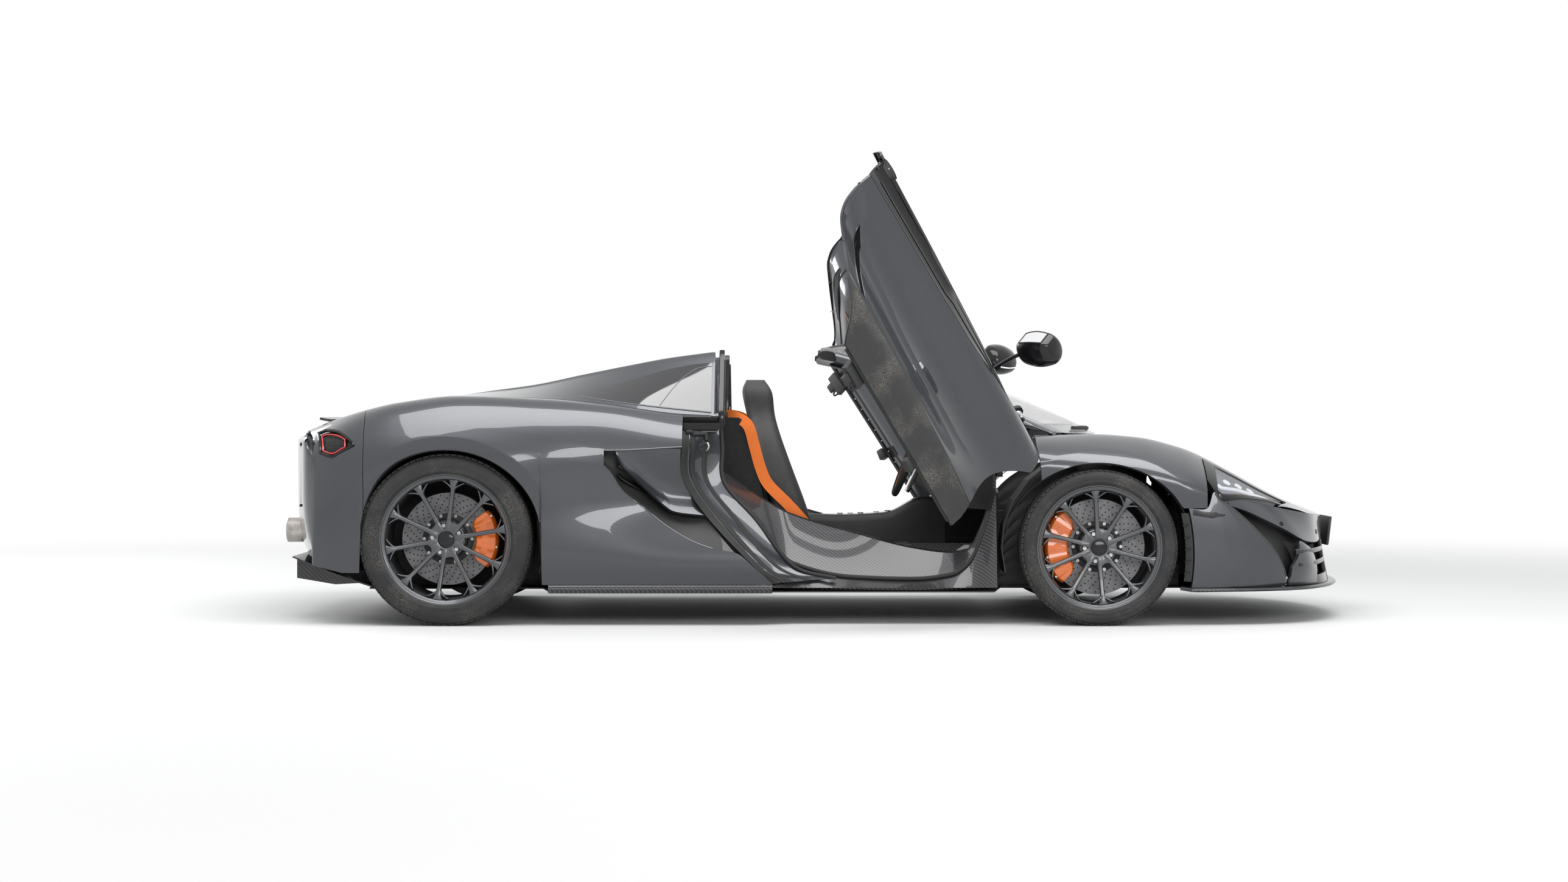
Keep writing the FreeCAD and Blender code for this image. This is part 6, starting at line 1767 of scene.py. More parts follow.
@dataclass
class RearWing:
    """Rear haunch over the arch, open at the side intake, with the intake's leaf and duct."""

    top_u: float = 1.362
    rear: float = -1.900
    opening: tuple[float, float] = (-0.566, -0.885)
    intake_top: ClassVar[Curve] = side_curve([(-1.960, 0.800), (-1.530, 0.812), (-1.150, 0.775),
                                              (-0.870, 0.716),
                                              (-0.560, 0.730)])
    intake_low: ClassVar[Curve] = side_curve([
        (-1.960, 0.775), (-1.530, 0.778), (-1.300, 0.752), (-1.150, 0.712), (-0.900, 0.662), (-0.860, 0.627),
        (-0.810, 0.550), (-0.720, 0.477), (-0.620, 0.400), (-0.520, 0.343), (-0.440, 0.315), (-0.347, 0.298),
        (-0.255, 0.224), (-0.197, 0.172)])
    inward: ClassVar = (-1.2, 0.0, 0.4)

    def build(self) -> None:
        """Make the haunch and what fills its intake."""
        self._haunch()
        self._leaf()
        self._duct()

    def _haunch(self) -> None:
        """Painted outer panel with its folded edges."""
        front, back = self.opening
        s = np.concatenate([np.linspace(-0.197, front, 30), np.linspace(front, back, 26)[1:],
                            np.linspace(back, -1.13, 16)[1:], np.linspace(-1.13, -1.20, 10)[1:],
                            np.linspace(-1.20, -1.86, 60)[1:], np.linspace(-1.86, self.rear, 6)[1:]])[None]
        lip = arch_z(s, Axle.REAR, 0.166)
        upper = self.intake_top(s)
        lower = np.maximum(np.minimum(self.intake_low(s), upper - 0.006), lip + 0.002)
        upper = np.maximum(upper, lower + 0.004)
        u_top, u_low, u_lip = (SHELL.flank_u(s, z) for z in (upper, lower, lip))
        a = np.linspace(0, 1, 25)[:, None]
        b = np.linspace(0, 1, 27)[1:, None]
        u = np.concatenate([self.top_u + (u_top - self.top_u) * a, u_low, u_low + (u_lip - u_low) * b])
        grid = skin(np.broadcast_to(s, u.shape), u)
        grid = rolled(grid, PANELS.depth, self.inward, "NSWE")
        stations = s[0]

        def keep(i: int, j: int) -> bool:
            row, column = i - 3, min(max(j - 3, 0), len(stations) - 2)
            if row < 24:
                return stations[column] <= front + 1e-6
            if row == 24:
                return stations[column] <= back + 1e-6
            return True

        form = facing(grid_form(grid, keep=keep), self.inward)
        DRESS.put("rear wings", form.both(), Look.PAINT, replaces=["quarter_panels"], solid=0.0022, angle=34)
        s = np.concatenate([np.linspace(-0.44, front, 16), np.linspace(front, back, 24)[1:]])
        edge = flared(SHELL.flank(s, self.intake_low(s)))
        DRESS.put("intake lower edges", pipe(edge + np.array([0.0, 0.0018, 0.0]), 0.0034, 8).both(),
                  Look.PAINT)
        s = np.linspace(front, back, 24)
        edge = flared(SHELL.flank(s, self.intake_top(s)))
        DRESS.put("intake upper edges", pipe(edge + np.array([0.0, 0.0018, 0.0]), 0.0030, 8).both(),
                  Look.PAINT)

    def _leaf(self) -> None:
        """Painted concave leaf inside the intake, between its top edge and the door's shut line."""
        top = Curve([(0.0, 0.718), (0.30, 0.727), (1.0, 0.722)])
        low = np.array([[-0.838, 0.703], [-0.812, 0.654], [-0.763, 0.605], [-0.713, 0.555], [-0.639, 0.488],
                        [-0.589, 0.461], [-0.468, 0.447]])
        shut = np.array([[-0.572, 0.722], [-0.574, 0.66], [-0.560, 0.58], [-0.520, 0.51], [-0.468, 0.447]])
        t = np.linspace(0, 1, 30)
        low_line = bezier(np.insert(low, 1, 0, axis=1), 30)[:, [0, 2]]
        shut_line = bezier(np.insert(shut, 1, 0, axis=1), 18)[:, [0, 2]]
        top_line = np.stack([-0.838 + (shut_line[0, 0] + 0.838) * t, top(t)], 1)
        rows = []
        for i, b in enumerate(np.linspace(0, 1, 18)):
            line = top_line * (1 - b) + low_line * b
            rows.append(line + (t ** 2)[:, None] * (shut_line[i] - line[-1]))
        flat = np.array(rows)
        x, z = flat[..., 0], flat[..., 1]
        grid = SHELL.flank(x, z)
        bowl = (np.sin(math.pi * np.linspace(0.02, 0.92, 18))[:, None]
                * np.sin(math.pi * np.clip(t, 0.04, 1.0) * 0.62))
        grid[..., 1] += 0.022 + 0.034 * bowl + 0.010 * t[None]
        PANELS.panel("intake leaves", grid, Look.PAINT, inward=(-0.6, 0.0, 0.6), depth=0.012)

    def _duct(self) -> None:
        """Dark back of the intake."""
        s = np.linspace(-0.40, -0.90, 36)[None]
        top = self.intake_top(s) + 0.012
        low = np.minimum(self.intake_low(s) - 0.012, top - 0.02)
        b = np.linspace(0, 1, 14)[:, None]
        z = np.minimum(top + (low - top) * b, 0.74)
        s = np.minimum(s, DOOR_REAR(z) - 0.012)
        grid = SHELL.flank(np.broadcast_to(s, z.shape), z)
        share = (s + 0.90) / 0.50
        hollow = 0.045 + 0.075 * np.sin(math.pi * b) * np.sin(math.pi * np.clip(share, 0.1, 0.9))
        grid[..., 1] += hollow
        form = surface(grid, (-0.6, 0.0, 0.6))
        DRESS.put("intake ducts", form.both(), Look.PLASTIC, solid=0.002)
        slats = []
        for share in (0.30, 0.46, 0.62):
            line = grid[int(13 * share) + 1, 6:-5] - np.array([0.0, 0.020, 0.0])
            slats.append(pipe(line, 0.004, 8, flat=2.2))
        DRESS.put("intake slats", slats[0].joined(*slats[1:]).both(), Look.GLOSS)


@dataclass
class RearDeck:
    """Tonneau that lifts, with its flying buttresses and their black side glass."""

    rows: ClassVar = ((-0.456, 0.505, 1.127), (-0.640, 0.505, 1.102), (-0.800, 0.503, 1.072),
                      (-1.000, 0.500, 1.032),
                      (-1.200, 0.496, 0.990), (-1.400, 0.500, 0.962), (-1.600, 0.505, 0.930))
    edge_u: float = 1.31
    gap: float = 0.0008
    hinge: tuple[float, float] = (-1.975, 0.838)
    body: str = "tonneau"

    def build(self) -> None:
        """Make the deck, the buttresses and their trim."""
        self.ridge_y = Curve(sorted((r[0], r[1]) for r in self.rows))
        self.ridge_z = Curve(sorted((r[0], r[2]) for r in self.rows))
        self._deck()
        self._buttresses()
        self._glass()
        self._arms()

    def _deck(self) -> None:
        """Skin of the lid and the slats of the air outlet."""
        s = np.linspace(-0.456, -1.940, 70)[:, None]
        share = np.linspace(-1, 1, 91)[None]
        grid = SHELL.point(*np.broadcast_arrays(s, np.abs(share) * self.edge_u))
        grid[..., 1] *= -np.sign(share + 1e-9)
        PANELS.panel("tonneau skin", grid, Look.PAINT, self.body, inward=(-1.2, 0, 0.3), both=False,
                     replaces=["tonneau"], depth=0.009)
        slats = []
        for x in np.arange(-1.10, -1.62, -0.052):
            line = SHELL.point(np.full(31, x), np.abs(np.linspace(-0.42, 0.42, 31)))
            line[:, 1] *= -np.sign(np.linspace(-0.42, 0.42, 31) + 1e-9)
            line[:, 2] += 0.0022
            slats.append(pipe(line, 0.0165, 10, flat=0.16))
        DRESS.put("engine cover slats", slats[0].joined(*slats[1:]), Look.PLASTIC, self.body, angle=50)

    def _foot(self, s: Number, share: Number) -> np.ndarray:
        """Point where a buttress stands on the deck, by share of the deck's half width from the edge."""
        point = SHELL.point(s, self.edge_u * (1 - np.asarray(share)))
        point[..., 2] += self.gap
        return point

    def section(self, s: float) -> np.ndarray:
        """Closed section of the right buttress at station s: outer foot, ridge, inner foot, underside."""
        ridge = np.array([s, -float(self.ridge_y(s)), float(self.ridge_z(s))])
        outer, inner = self._foot(s, 0.0225), self._foot(s, 0.5)
        height = max(ridge[2] - outer[2], 0.004)
        drop = min(0.010, height * 0.25)
        shoulder = ridge + np.array([0.0, -0.026, -0.8 * drop])
        shelf = ridge + np.array([0.0, 0.022, -1.4 * drop])
        t = np.linspace(0, 1, 13)[:, None]
        out_line = outer + (shoulder - outer) * t
        out_line[:, 1:2] += -0.010 * np.sin(math.pi * t) * min(1.0, height / 0.15)
        in_line = shelf + (inner - shelf) * t
        in_line[:, 2:3] -= 0.016 * np.sin(math.pi * t) * min(1.0, height / 0.15)
        crown = bezier([shoulder, ridge + np.array([0.0, -0.014, -0.1 * drop]),
                        ridge + np.array([0.0, 0.006, -0.2 * drop]), shelf], 9)
        under = self._foot(np.full(9, s), np.linspace(0.5, 0.0225, 9))
        return np.concatenate([out_line[:-1], crown, in_line[1:], under[1:-1]])

    def _buttresses(self) -> None:
        """Sail panels that run down from the roll hoops to the tail."""
        stations = np.linspace(-0.456, -1.60, 60)
        rings = [self.section(s) for s in stations]
        nose = rings[0] + np.array([0.018, 0.0, 0.0005])
        form = loft([nose] + rings)
        DRESS.put("buttress skins", form.both(), Look.PAINT, self.body, ["buttresses"], angle=38)

    def _outer(self, s: Number, z: Number, proud: float) -> np.ndarray:
        """Point on the right buttress's outer face by station and height, moved out by a little."""
        s, z = np.broadcast_arrays(np.asarray(s, float), np.asarray(z, float))
        out = np.empty(s.shape + (3,))
        for index in np.ndindex(s.shape):
            line = self.section(float(s[index]))[:13]
            y = np.interp(z[index], line[:, 2], line[:, 1])
            out[index] = (s[index], y - proud, z[index])
        return out

    def _glass(self) -> None:
        """Black glass in the buttress's side, with a lighter line along its lower edge as painted highlight,
        and the arc line over it.
        """
        tip = -1.000
        top = Curve([(-1.000, 0.9440), (-0.885, 0.980), (-0.757, 1.018), (-0.629, 1.054), (-0.501, 1.077),
                     (-0.450, 1.080)])
        low = Curve([(-1.000, 0.9415), (-0.840, 0.918), (-0.667, 0.896), (-0.450, 0.874)])
        s = np.linspace(tip, -0.450, 40)[None]
        b = np.linspace(0, 1, 12)[:, None]
        z = top(s) + (low(s) - top(s)) * b
        grid = self._outer(np.broadcast_to(s, z.shape), z, 0.0030)
        PANELS.panel("quarter glass", grid, Look.DARK_GLASS, self.body, inward=(-0.7, 0, 0.9), depth=0.0045)
        # Lighter pipe along the glass's lower edge: painted highlight.
        DRESS.put("quarter glass edges", pipe(grid[-1] - np.array([0.0, 0.001, 0.003]), 0.0022, 8).both(),
                  Look.WHEEL,
                  self.body)
        arc = Curve([(-0.664, 0.900), (-0.612, 0.972), (-0.565, 1.022), (-0.500, 1.060), (-0.452, 1.066)])
        x = np.linspace(-0.664, -0.452, 26)
        line = self._outer(x, arc(x), 0.0042)
        DRESS.put("quarter glass seams", pipe(line, 0.0014, 6).both(), Look.WHEEL, self.body)

    def _arms(self) -> None:
        """Hinge arms of the lid."""
        x, z = self.hinge
        for side in Side:
            y = side.value * 0.470
            arm = [(x, z - 0.009), (x, z + 0.005), (x + 0.050, z - 0.008), (x + 0.110, z + 0.030),
                   (x + 0.122, z + 0.018), (x + 0.062, z - 0.024)]
            DRESS.put(f"tonneau arm {side.label}", extruded(arm, y - 0.009, y + 0.009), Look.BLACK_METAL,
                      self.body,
                      bevel=0.001)
            ring = [(0.00606, -0.009), (0.011, -0.009), (0.011, 0.009), (0.00606, 0.009)]
            DRESS.put(f"tonneau eye {side.label}", turned(ring, (x, y, z), 32), Look.BLACK_METAL, self.body)


@dataclass
class Tail:
    """Rear bumper, lamps, spoiler, diffuser and exhausts."""

    tail_x: float = -2.265
    bend: float = 0.20
    pod_span: ClassVar = (-1.952, -2.172)
    pod_top: ClassVar[Curve] = side_curve([(-2.172, 0.790), (-2.110, 0.804), (-2.060, 0.800),
                                           (-1.952, 0.748)])
    pod_low: ClassVar[Curve] = side_curve([(-2.172, 0.700), (-2.095, 0.684), (-2.030, 0.706),
                                           (-1.952, 0.732)])
    inward: ClassVar = (-1.7, 0.0, 0.45)
    steps: int = 6

    def build(self) -> None:
        """Make every piece of the tail."""
        self._bumper()
        self._pods()
        self._strips()
        self._spoiler()
        # Thin near-black block behind the rear mesh: painted shade for the hollow behind it.
        painted_mouth_shade = block((-2.092, -0.700, 0.300), (-2.086, 0.700, 0.760))
        DRESS.put("tail backing", painted_mouth_shade, Look.HOLE)
        self._diffuser()
        self._exhausts()

    def face_x(self, y: Number, inset: float) -> Number:
        """X of the tail's face at a half width, a little inside it."""
        return self.tail_x + self.bend * np.asarray(y) ** 2 + inset

    def _knots(self, s: np.ndarray) -> np.ndarray:
        """Line parameters of the bumper's nine rows at stations s."""
        low = arch_z(s, Axle.REAR, 0.215)
        heights = [self.pod_top(s), self.pod_low(s), np.full_like(s, 0.640)]
        heights += [low + (0.640 - low) * t for t in (0.66, 0.33, 0.0)]
        flat = [np.full_like(s, u) for u in (1.4, 1.7, 2.05)]
        return np.stack(flat + [SHELL.flank_u(s, z) for z in heights])

    def _bumper(self) -> None:
        """Painted tail: two corners and the face between them."""
        across = []
        for s in (-2.172, -2.210):
            u = self._knots(np.array([s]))[:, 0]
            across.append(SHELL.point(np.full(9, s), u))
        for y in (0.820, 0.720, 0.560, 0.380, 0.190, 0.0, -0.190):
            x = self.face_x(y, 0.006)
            across.append(np.array([[x + dx, -y, z] for dx, z in (
                (0.012, 0.768), (0.008, 0.764), (0.004, 0.760), (0.002, 0.752), (0.0, 0.736), (0.0, 0.610),
                (0.002, 0.480), (0.014, 0.360), (0.044, 0.272))]))
        fine = smooth_grid(np.array(across), self.steps)[self.steps:-self.steps]
        s = np.concatenate([np.linspace(-1.9035, -1.952, 5), np.linspace(-1.952, -2.172, 25)[1:],
                            np.linspace(-2.172, -2.210, 5)[1:-1]])
        knots = self._knots(s)
        places = np.linspace(0, 8, 8 * self.steps + 1)
        whole = np.minimum(places.astype(int), 7)
        part = (places - whole)[:, None]
        u = knots[whole] + (knots[whole + 1] - knots[whole]) * part
        corner = SHELL.point(np.broadcast_to(s, u.shape), u).transpose(1, 0, 2)
        corner = flared(corner)
        first = len(corner)
        grid = np.concatenate([corner, fine]).transpose(1, 0, 2)
        face_from = first + 3 * self.steps
        steps = self.steps
        grid = rolled(grid, 0.010, self.inward, "NSW")

        def keep(i: int, j: int) -> bool:
            band, column = (i - 3) // steps, j - 3
            pod = band == 3 and 4 <= column < 28
            mouth = column >= face_from and band in (3, 4, 5)
            return not (pod or mouth)

        form = facing(grid_form(grid, keep=keep), self.inward)
        DRESS.put("rear bumper", form.both(), Look.PAINT, replaces=["rear_bumper"], solid=0.0026, angle=34)
        mesh_y = np.linspace(0.705, -0.705, 60)
        mesh = np.array([[[self.face_x(y, 0.036), -y, z] for y in mesh_y]
                         for z in np.linspace(0.735, 0.476, 20)])
        Repeater.grille("rear mesh", surface(mesh, self.inward), Look.PLASTIC, CHASSIS, wire=0.0013)
        frame_line = np.array([[self.face_x(y, 0.012), -y, z] for y, z in (
            (-0.64, 0.745), (0.0, 0.748), (0.64, 0.745), (0.70, 0.72), (0.705, 0.62), (0.69, 0.50),
            (0.64, 0.482),
            (0.0, 0.474), (-0.64, 0.482), (-0.69, 0.50), (-0.705, 0.62), (-0.70, 0.72), (-0.64, 0.745))])
        DRESS.put("rear mouth frame", pipe(bezier(frame_line, 120), 0.006, 8), Look.GLOSS)

    def _pod_grid(self, inset: float, sink: float, rows: int = 16, columns: int = 34) -> np.ndarray:
        """Grid over the right lamp pod, narrowed and sunk by lengths."""
        s = np.linspace(self.pod_span[0] - inset * 1.6, self.pod_span[1] + inset, columns)[None]
        top, low = self.pod_top(s) - inset, self.pod_low(s) + inset
        middle = (top + low) / 2
        top, low = np.maximum(top, middle + 0.0008), np.minimum(low, middle - 0.0008)
        z = top + (low - top) * np.linspace(0, 1, rows)[:, None]
        return sunk(SHELL.flank(np.broadcast_to(s, z.shape), z), sink, self.inward)

    def _pods(self) -> None:
        """Corner lamps: black pod, red ring and mesh."""
        base = self._pod_grid(0.004, 0.016)
        PANELS.panel("tail pods", base, Look.GLOSS, inward=self.inward, depth=0.012, replaces=["tail_lamps"])
        outline = self._pod_grid(0.0065, 0.002)
        loop = np.concatenate([outline[0], outline[1:, -1], outline[-1, -2::-1], outline[-2:0:-1, 0]])
        loop = np.concatenate([loop, loop[:2]])
        DRESS.put("tail pod frames", pipe(loop, 0.0062, 10).both(), Look.GLOSS)
        ring = self._pod_grid(0.020, 0.006)
        loop = np.concatenate([ring[0, 6:], ring[1:, -1], ring[-1, -2:5:-1], ring[-2:0:-1, 6]])
        loop = np.concatenate([loop, loop[:2]])
        DRESS.put("tail lamp rings", pipe(loop, 0.0042, 10).both(), Look.RED)
        mesh = self._pod_grid(0.024, 0.0075, 9, 22)[:, 5:]
        Repeater.grille("tail pod mesh", grid_form(mesh).both(), Look.PLASTIC, CHASSIS, wire=0.0009)

    def _strips(self) -> None:
        """Thin lamps along the top of the mouth, with their frames."""
        y = np.linspace(0.430, 0.716, 24)
        for name, low, high, inset, look in (("tail strips", 0.726, 0.7485, 0.011, Look.RED),
                                             ("tail strip frames", 0.7205, 0.7530, 0.016, Look.GLOSS)):
            grid = np.array([[[self.face_x(v, inset), -v, z] for v in y] for z in np.linspace(high, low, 4)])
            PANELS.panel(name, grid, look, inward=self.inward, depth=0.016)

    def _spoiler(self) -> None:
        """Deck plate and the blade that rises from it."""
        share = np.linspace(-1, 1, 97)[None]
        lift = Curve(sorted([(-2.050, 0.0), (-2.095, 0.012), (-2.150, 0.036)]))
        low = Curve(sorted([(-1.953, 0.0), (-2.040, 0.0), (-2.046, -0.0123), (-2.232, -0.0123)]))
        for name, first, last, curve, thick, look in (
                ("spoiler blade", -2.050, -2.1495, lift, 0.0105, Look.CARBON),
                ("spoiler deck", -1.9535, -2.2315, low, 0.0026, Look.PAINT)):
            s = np.linspace(first, last, 40)[:, None]
            grid = SHELL.point(*np.broadcast_arrays(s, np.abs(share) * 1.387))
            grid[..., 1] *= -np.sign(share + 1e-9)
            grid[..., 2] += curve(s)
            form = surface(grid, (-2.1, 0, 0))
            replaces = ["spoiler"] if name == "spoiler deck" else []
            DRESS.put(name, form, look, replaces=replaces, solid=thick,
                      bevel=0.0022 if thick > 0.005 else 0.0)

    def _diffuser(self) -> None:
        """Carbon diffuser with its fins."""
        path = bezier([[-1.880, 0, 0.1363], [-2.040, 0, 0.190], [-2.215, 0, 0.262]], 20)
        y = np.linspace(-0.6, 0.6, 9)
        grid = np.array([[[p[0], v, p[2]] for v in y] for p in path])
        form = surface(grid, (-2.0, 0, 0.8))
        DRESS.put("diffuser", form, Look.CARBON, replaces=["diffuser"], solid=0.006)
        fins = []
        for v in (-0.50, -0.32, -0.13, 0.13, 0.32, 0.50):
            outline = [(-1.93, 0.149), (-2.05, 0.1425), (-2.212, 0.170), (-2.212, 0.262), (-2.12, 0.2225),
                       (-2.04, 0.190)]
            fins.append(extruded(outline, v - 0.003, v + 0.003))
        DRESS.put("diffuser fins", fins[0].joined(*fins[1:]), Look.CARBON)

    def _exhausts(self) -> None:
        """Round tailpipes with rolled lips, and a dark disc of painted shade inside each bore."""
        for part, look, profile in (
                ("exhaust tips", Look.EXHAUST, ((-2.060, 0.0520), (-2.2535, 0.0520), (-2.2580, 0.0510),
                                                (-2.2588, 0.0500), (-2.2560, 0.0490), (-2.2500, 0.0480),
                                                (-2.060, 0.0480))),
                ("exhaust bores", Look.HOLE, ((-2.100, 0.0478), (-2.100, 0.0004), (-2.096, 0.0004),
                                              (-2.096, 0.0478)))):
            turns = np.linspace(0, 2 * math.pi, 64, endpoint=False)
            rings = [np.stack([np.full(64, x), -0.452 + r * np.cos(turns), 0.372 + r * np.sin(turns)], 1)
                     for x, r in profile + profile[:1]]
            form = facing(grid_form(np.array(rings), around=True), (-2.1, -0.452, 0.372))
            replaces = ["exhaust_tips"] if part == "exhaust tips" else []
            DRESS.put(part, form.both(), look, replaces=replaces, angle=50)


@dataclass
class DoorJamb:
    """Painted frame behind each door opening, its seals and striker, and the blades along the sills."""

    inner: ClassVar = ((-0.414, 0.7455, 0.800), (-0.408, 0.750, 0.720), (-0.400, 0.768, 0.580),
                       (-0.270, 0.788, 0.430), (-0.117, 0.806, 0.240), (0.060, 0.820, 0.188))
    levels: ClassVar = (0.790, 0.735, 0.600, 0.441, 0.250, 0.170)

    def build(self) -> None:
        """Make the frame, the seals and the skirts."""
        first = bezier([[x, -y, z] for x, y, z in self.inner], 48)
        outer = []
        for z in self.levels:
            p = SHELL.flank(DOOR_REAR(z) - 0.005, z)
            outer.append([p[0], p[1] + 0.036, p[2]])
        second = bezier(outer, 48)
        t = np.linspace(0, 1, 41)[None, :, None]
        grid = first[:, None] + (second - first)[:, None] * t
        grid[...,
             1] += 0.012 * np.sin(math.pi * t[..., 0]) - 0.005 * np.exp(-((t[..., 0] - 0.80) / 0.035) ** 2)
        PANELS.panel("door jambs", grid, Look.PAINT, inward=(-0.9, -0.6, 0.3), replaces=["door_jambs"],
                     edges="NS",
                     depth=0.006)
        bead = first + np.array([0.006, -0.004, 0.0])
        DRESS.put("cabin seals", pipe(bead, 0.0075, 10).both(), Look.SEAL)
        strips = []
        for start, stop, begin in ((33, 40, 0), (26, 31, 2), (14, 19, 6)):
            strip = grid[begin:, start:stop + 1] + np.array([0.0008, -0.0010, 0.0])
            crown = np.sin(math.pi * np.linspace(0, 1, stop - start + 1)) * 0.0015
            strip[..., 0] += crown
            strip[..., 1] -= crown
            strips.append(surface(strip, (-0.9, -0.6, 0.3)))
        DRESS.put("shut seals", strips[0].joined(*strips[1:]).both(), Look.SEAL, solid=0.0015)
        corner = np.concatenate([grid[6:1:-1, 16], grid[2, 18:30:3], grid[1:3, 30][::-1], grid[0, 32:40:3]])
        corner = corner + np.array([0.004, -0.004, 0.0])
        DRESS.put("seal corners", pipe(bezier(corner, 40), 0.0075, 10).both(), Look.SEAL)
        gusset = np.array([[[x, -0.752 - 0.10 * (t - 0.5) ** 2, z] for t,
                            z in ((0.0, 0.790), (0.5, 0.822), (1.0, 0.852))]
                           for x in (-0.600, -0.540, -0.480, -0.424)])
        form = surface(gusset, (-0.5, 0.0, 0.8))
        DRESS.put("post gussets", form.both(), Look.PLASTIC, solid=0.003)
        striker = grid[8, 17]
        loop = striker + np.array([[0.0, 0.0, 0.0], [0.012, -0.020, 0.004], [0.018, -0.024, -0.010],
                                   [0.010, -0.016, -0.026], [0.0, 0.002, -0.026]])
        DRESS.put("striker", pipe(bezier(loop, 24), 0.0045, 10).both(), Look.STEEL)
        self._skirts()

    def _skirts(self) -> None:
        """Carbon blades under the doors, with a thin lighter line along them as painted highlight."""
        s = np.linspace(-1.112, -0.196, 50)
        p = SHELL.flank(s, 0.164)
        rows = [np.stack([p[:, 0], p[:, 1] + dy, np.full(50, z)], 1) for dy, z in (
            (0.002, 0.165), (-0.003, 0.158), (-0.008, 0.148), (-0.004, 0.139), (0.006, 0.131))]
        form = surface(np.array(rows), (-0.6, 0, 0.15))
        DRESS.put("skirt blades", form.both(), Look.CARBON, replaces=["skirts"], solid=0.020, angle=40)
        sill = block((-1.104, -0.899, 0.1302), (-0.196, -0.8203, 0.1355)).joined(
            block((-0.200, -0.838, 0.1302), (0.716, -0.8203, 0.1355)))
        DRESS.put("sill plates", sill.both(), Look.PLASTIC)
        # Lighter pipe along the blade's upper shoulder: painted highlight.
        line = rows[1] + np.array([0.0, -0.0012, 0.001])
        DRESS.put("skirt lines", pipe(line, 0.0013, 6).both(), Look.WHEEL)


@dataclass
class WheelHouse:
    """Closed inner side of the wheel arches and the dark returns behind their lips."""

    axle: Axle

    def build(self) -> None:
        """Make the walls and the returns of both wheels of the axle."""
        centre, half, floor = self.axle.value[0], self.axle.arch[0], 0.140
        wall_y = 0.520 if self.axle is Axle.FRONT else 0.500
        x = np.linspace(centre - half + 0.004, centre + half - 0.004, 40)
        top = arch_z(x, self.axle, 0.34) - 0.010
        rows = []
        for t in np.linspace(0, 1, 22):
            ribs = 0.003 * np.cos(math.pi * 14 * t)
            rows.append(np.stack([x, np.full(40, -wall_y) + ribs, floor + (top - floor) * t], 1))
        form = surface(np.array(rows), (centre, 0.0, 0.4))
        DRESS.put(f"{self.axle.label} wheel house walls", form.both(), Look.PLASTIC, solid=0.003)
        turns = np.radians(np.linspace(8, 172, 70))
        x = centre + half * np.cos(turns)
        z = self.axle.value[2] + self.axle.arch[1] * np.sin(turns)
        lip = flared(SHELL.flank(x, z))
        inner = lip.copy()
        inner[:, 1] = -wall_y
        rows = []
        reach = 0.045 if self.axle is Axle.FRONT else 1.0
        for t, rise in ((0.0, -0.0035), (0.1, -0.0045), (0.5, -0.005), (1.0, -0.005)):
            line = between(lip + np.array([0.0, 0.013, 0.0]), inner, t * reach)
            line[:, 0] += rise * np.cos(turns)
            line[:, 2] += rise * np.sin(turns)
            rows.append(line)
        form = surface(np.array(rows), (centre, -0.7, 2.0))
        DRESS.put(f"{self.axle.label} arch returns", form.both(), Look.PLASTIC, solid=0.0015)


# Cabin, and the door hinge whose feet stand beside it

HINGE = np.array([0.841, -0.750, 0.8285])
HINGE_AXIS = np.array([-0.2688, 0.7300, 0.6284])
HINGE_ALONG = HINGE_AXIS / np.linalg.norm(HINGE_AXIS)


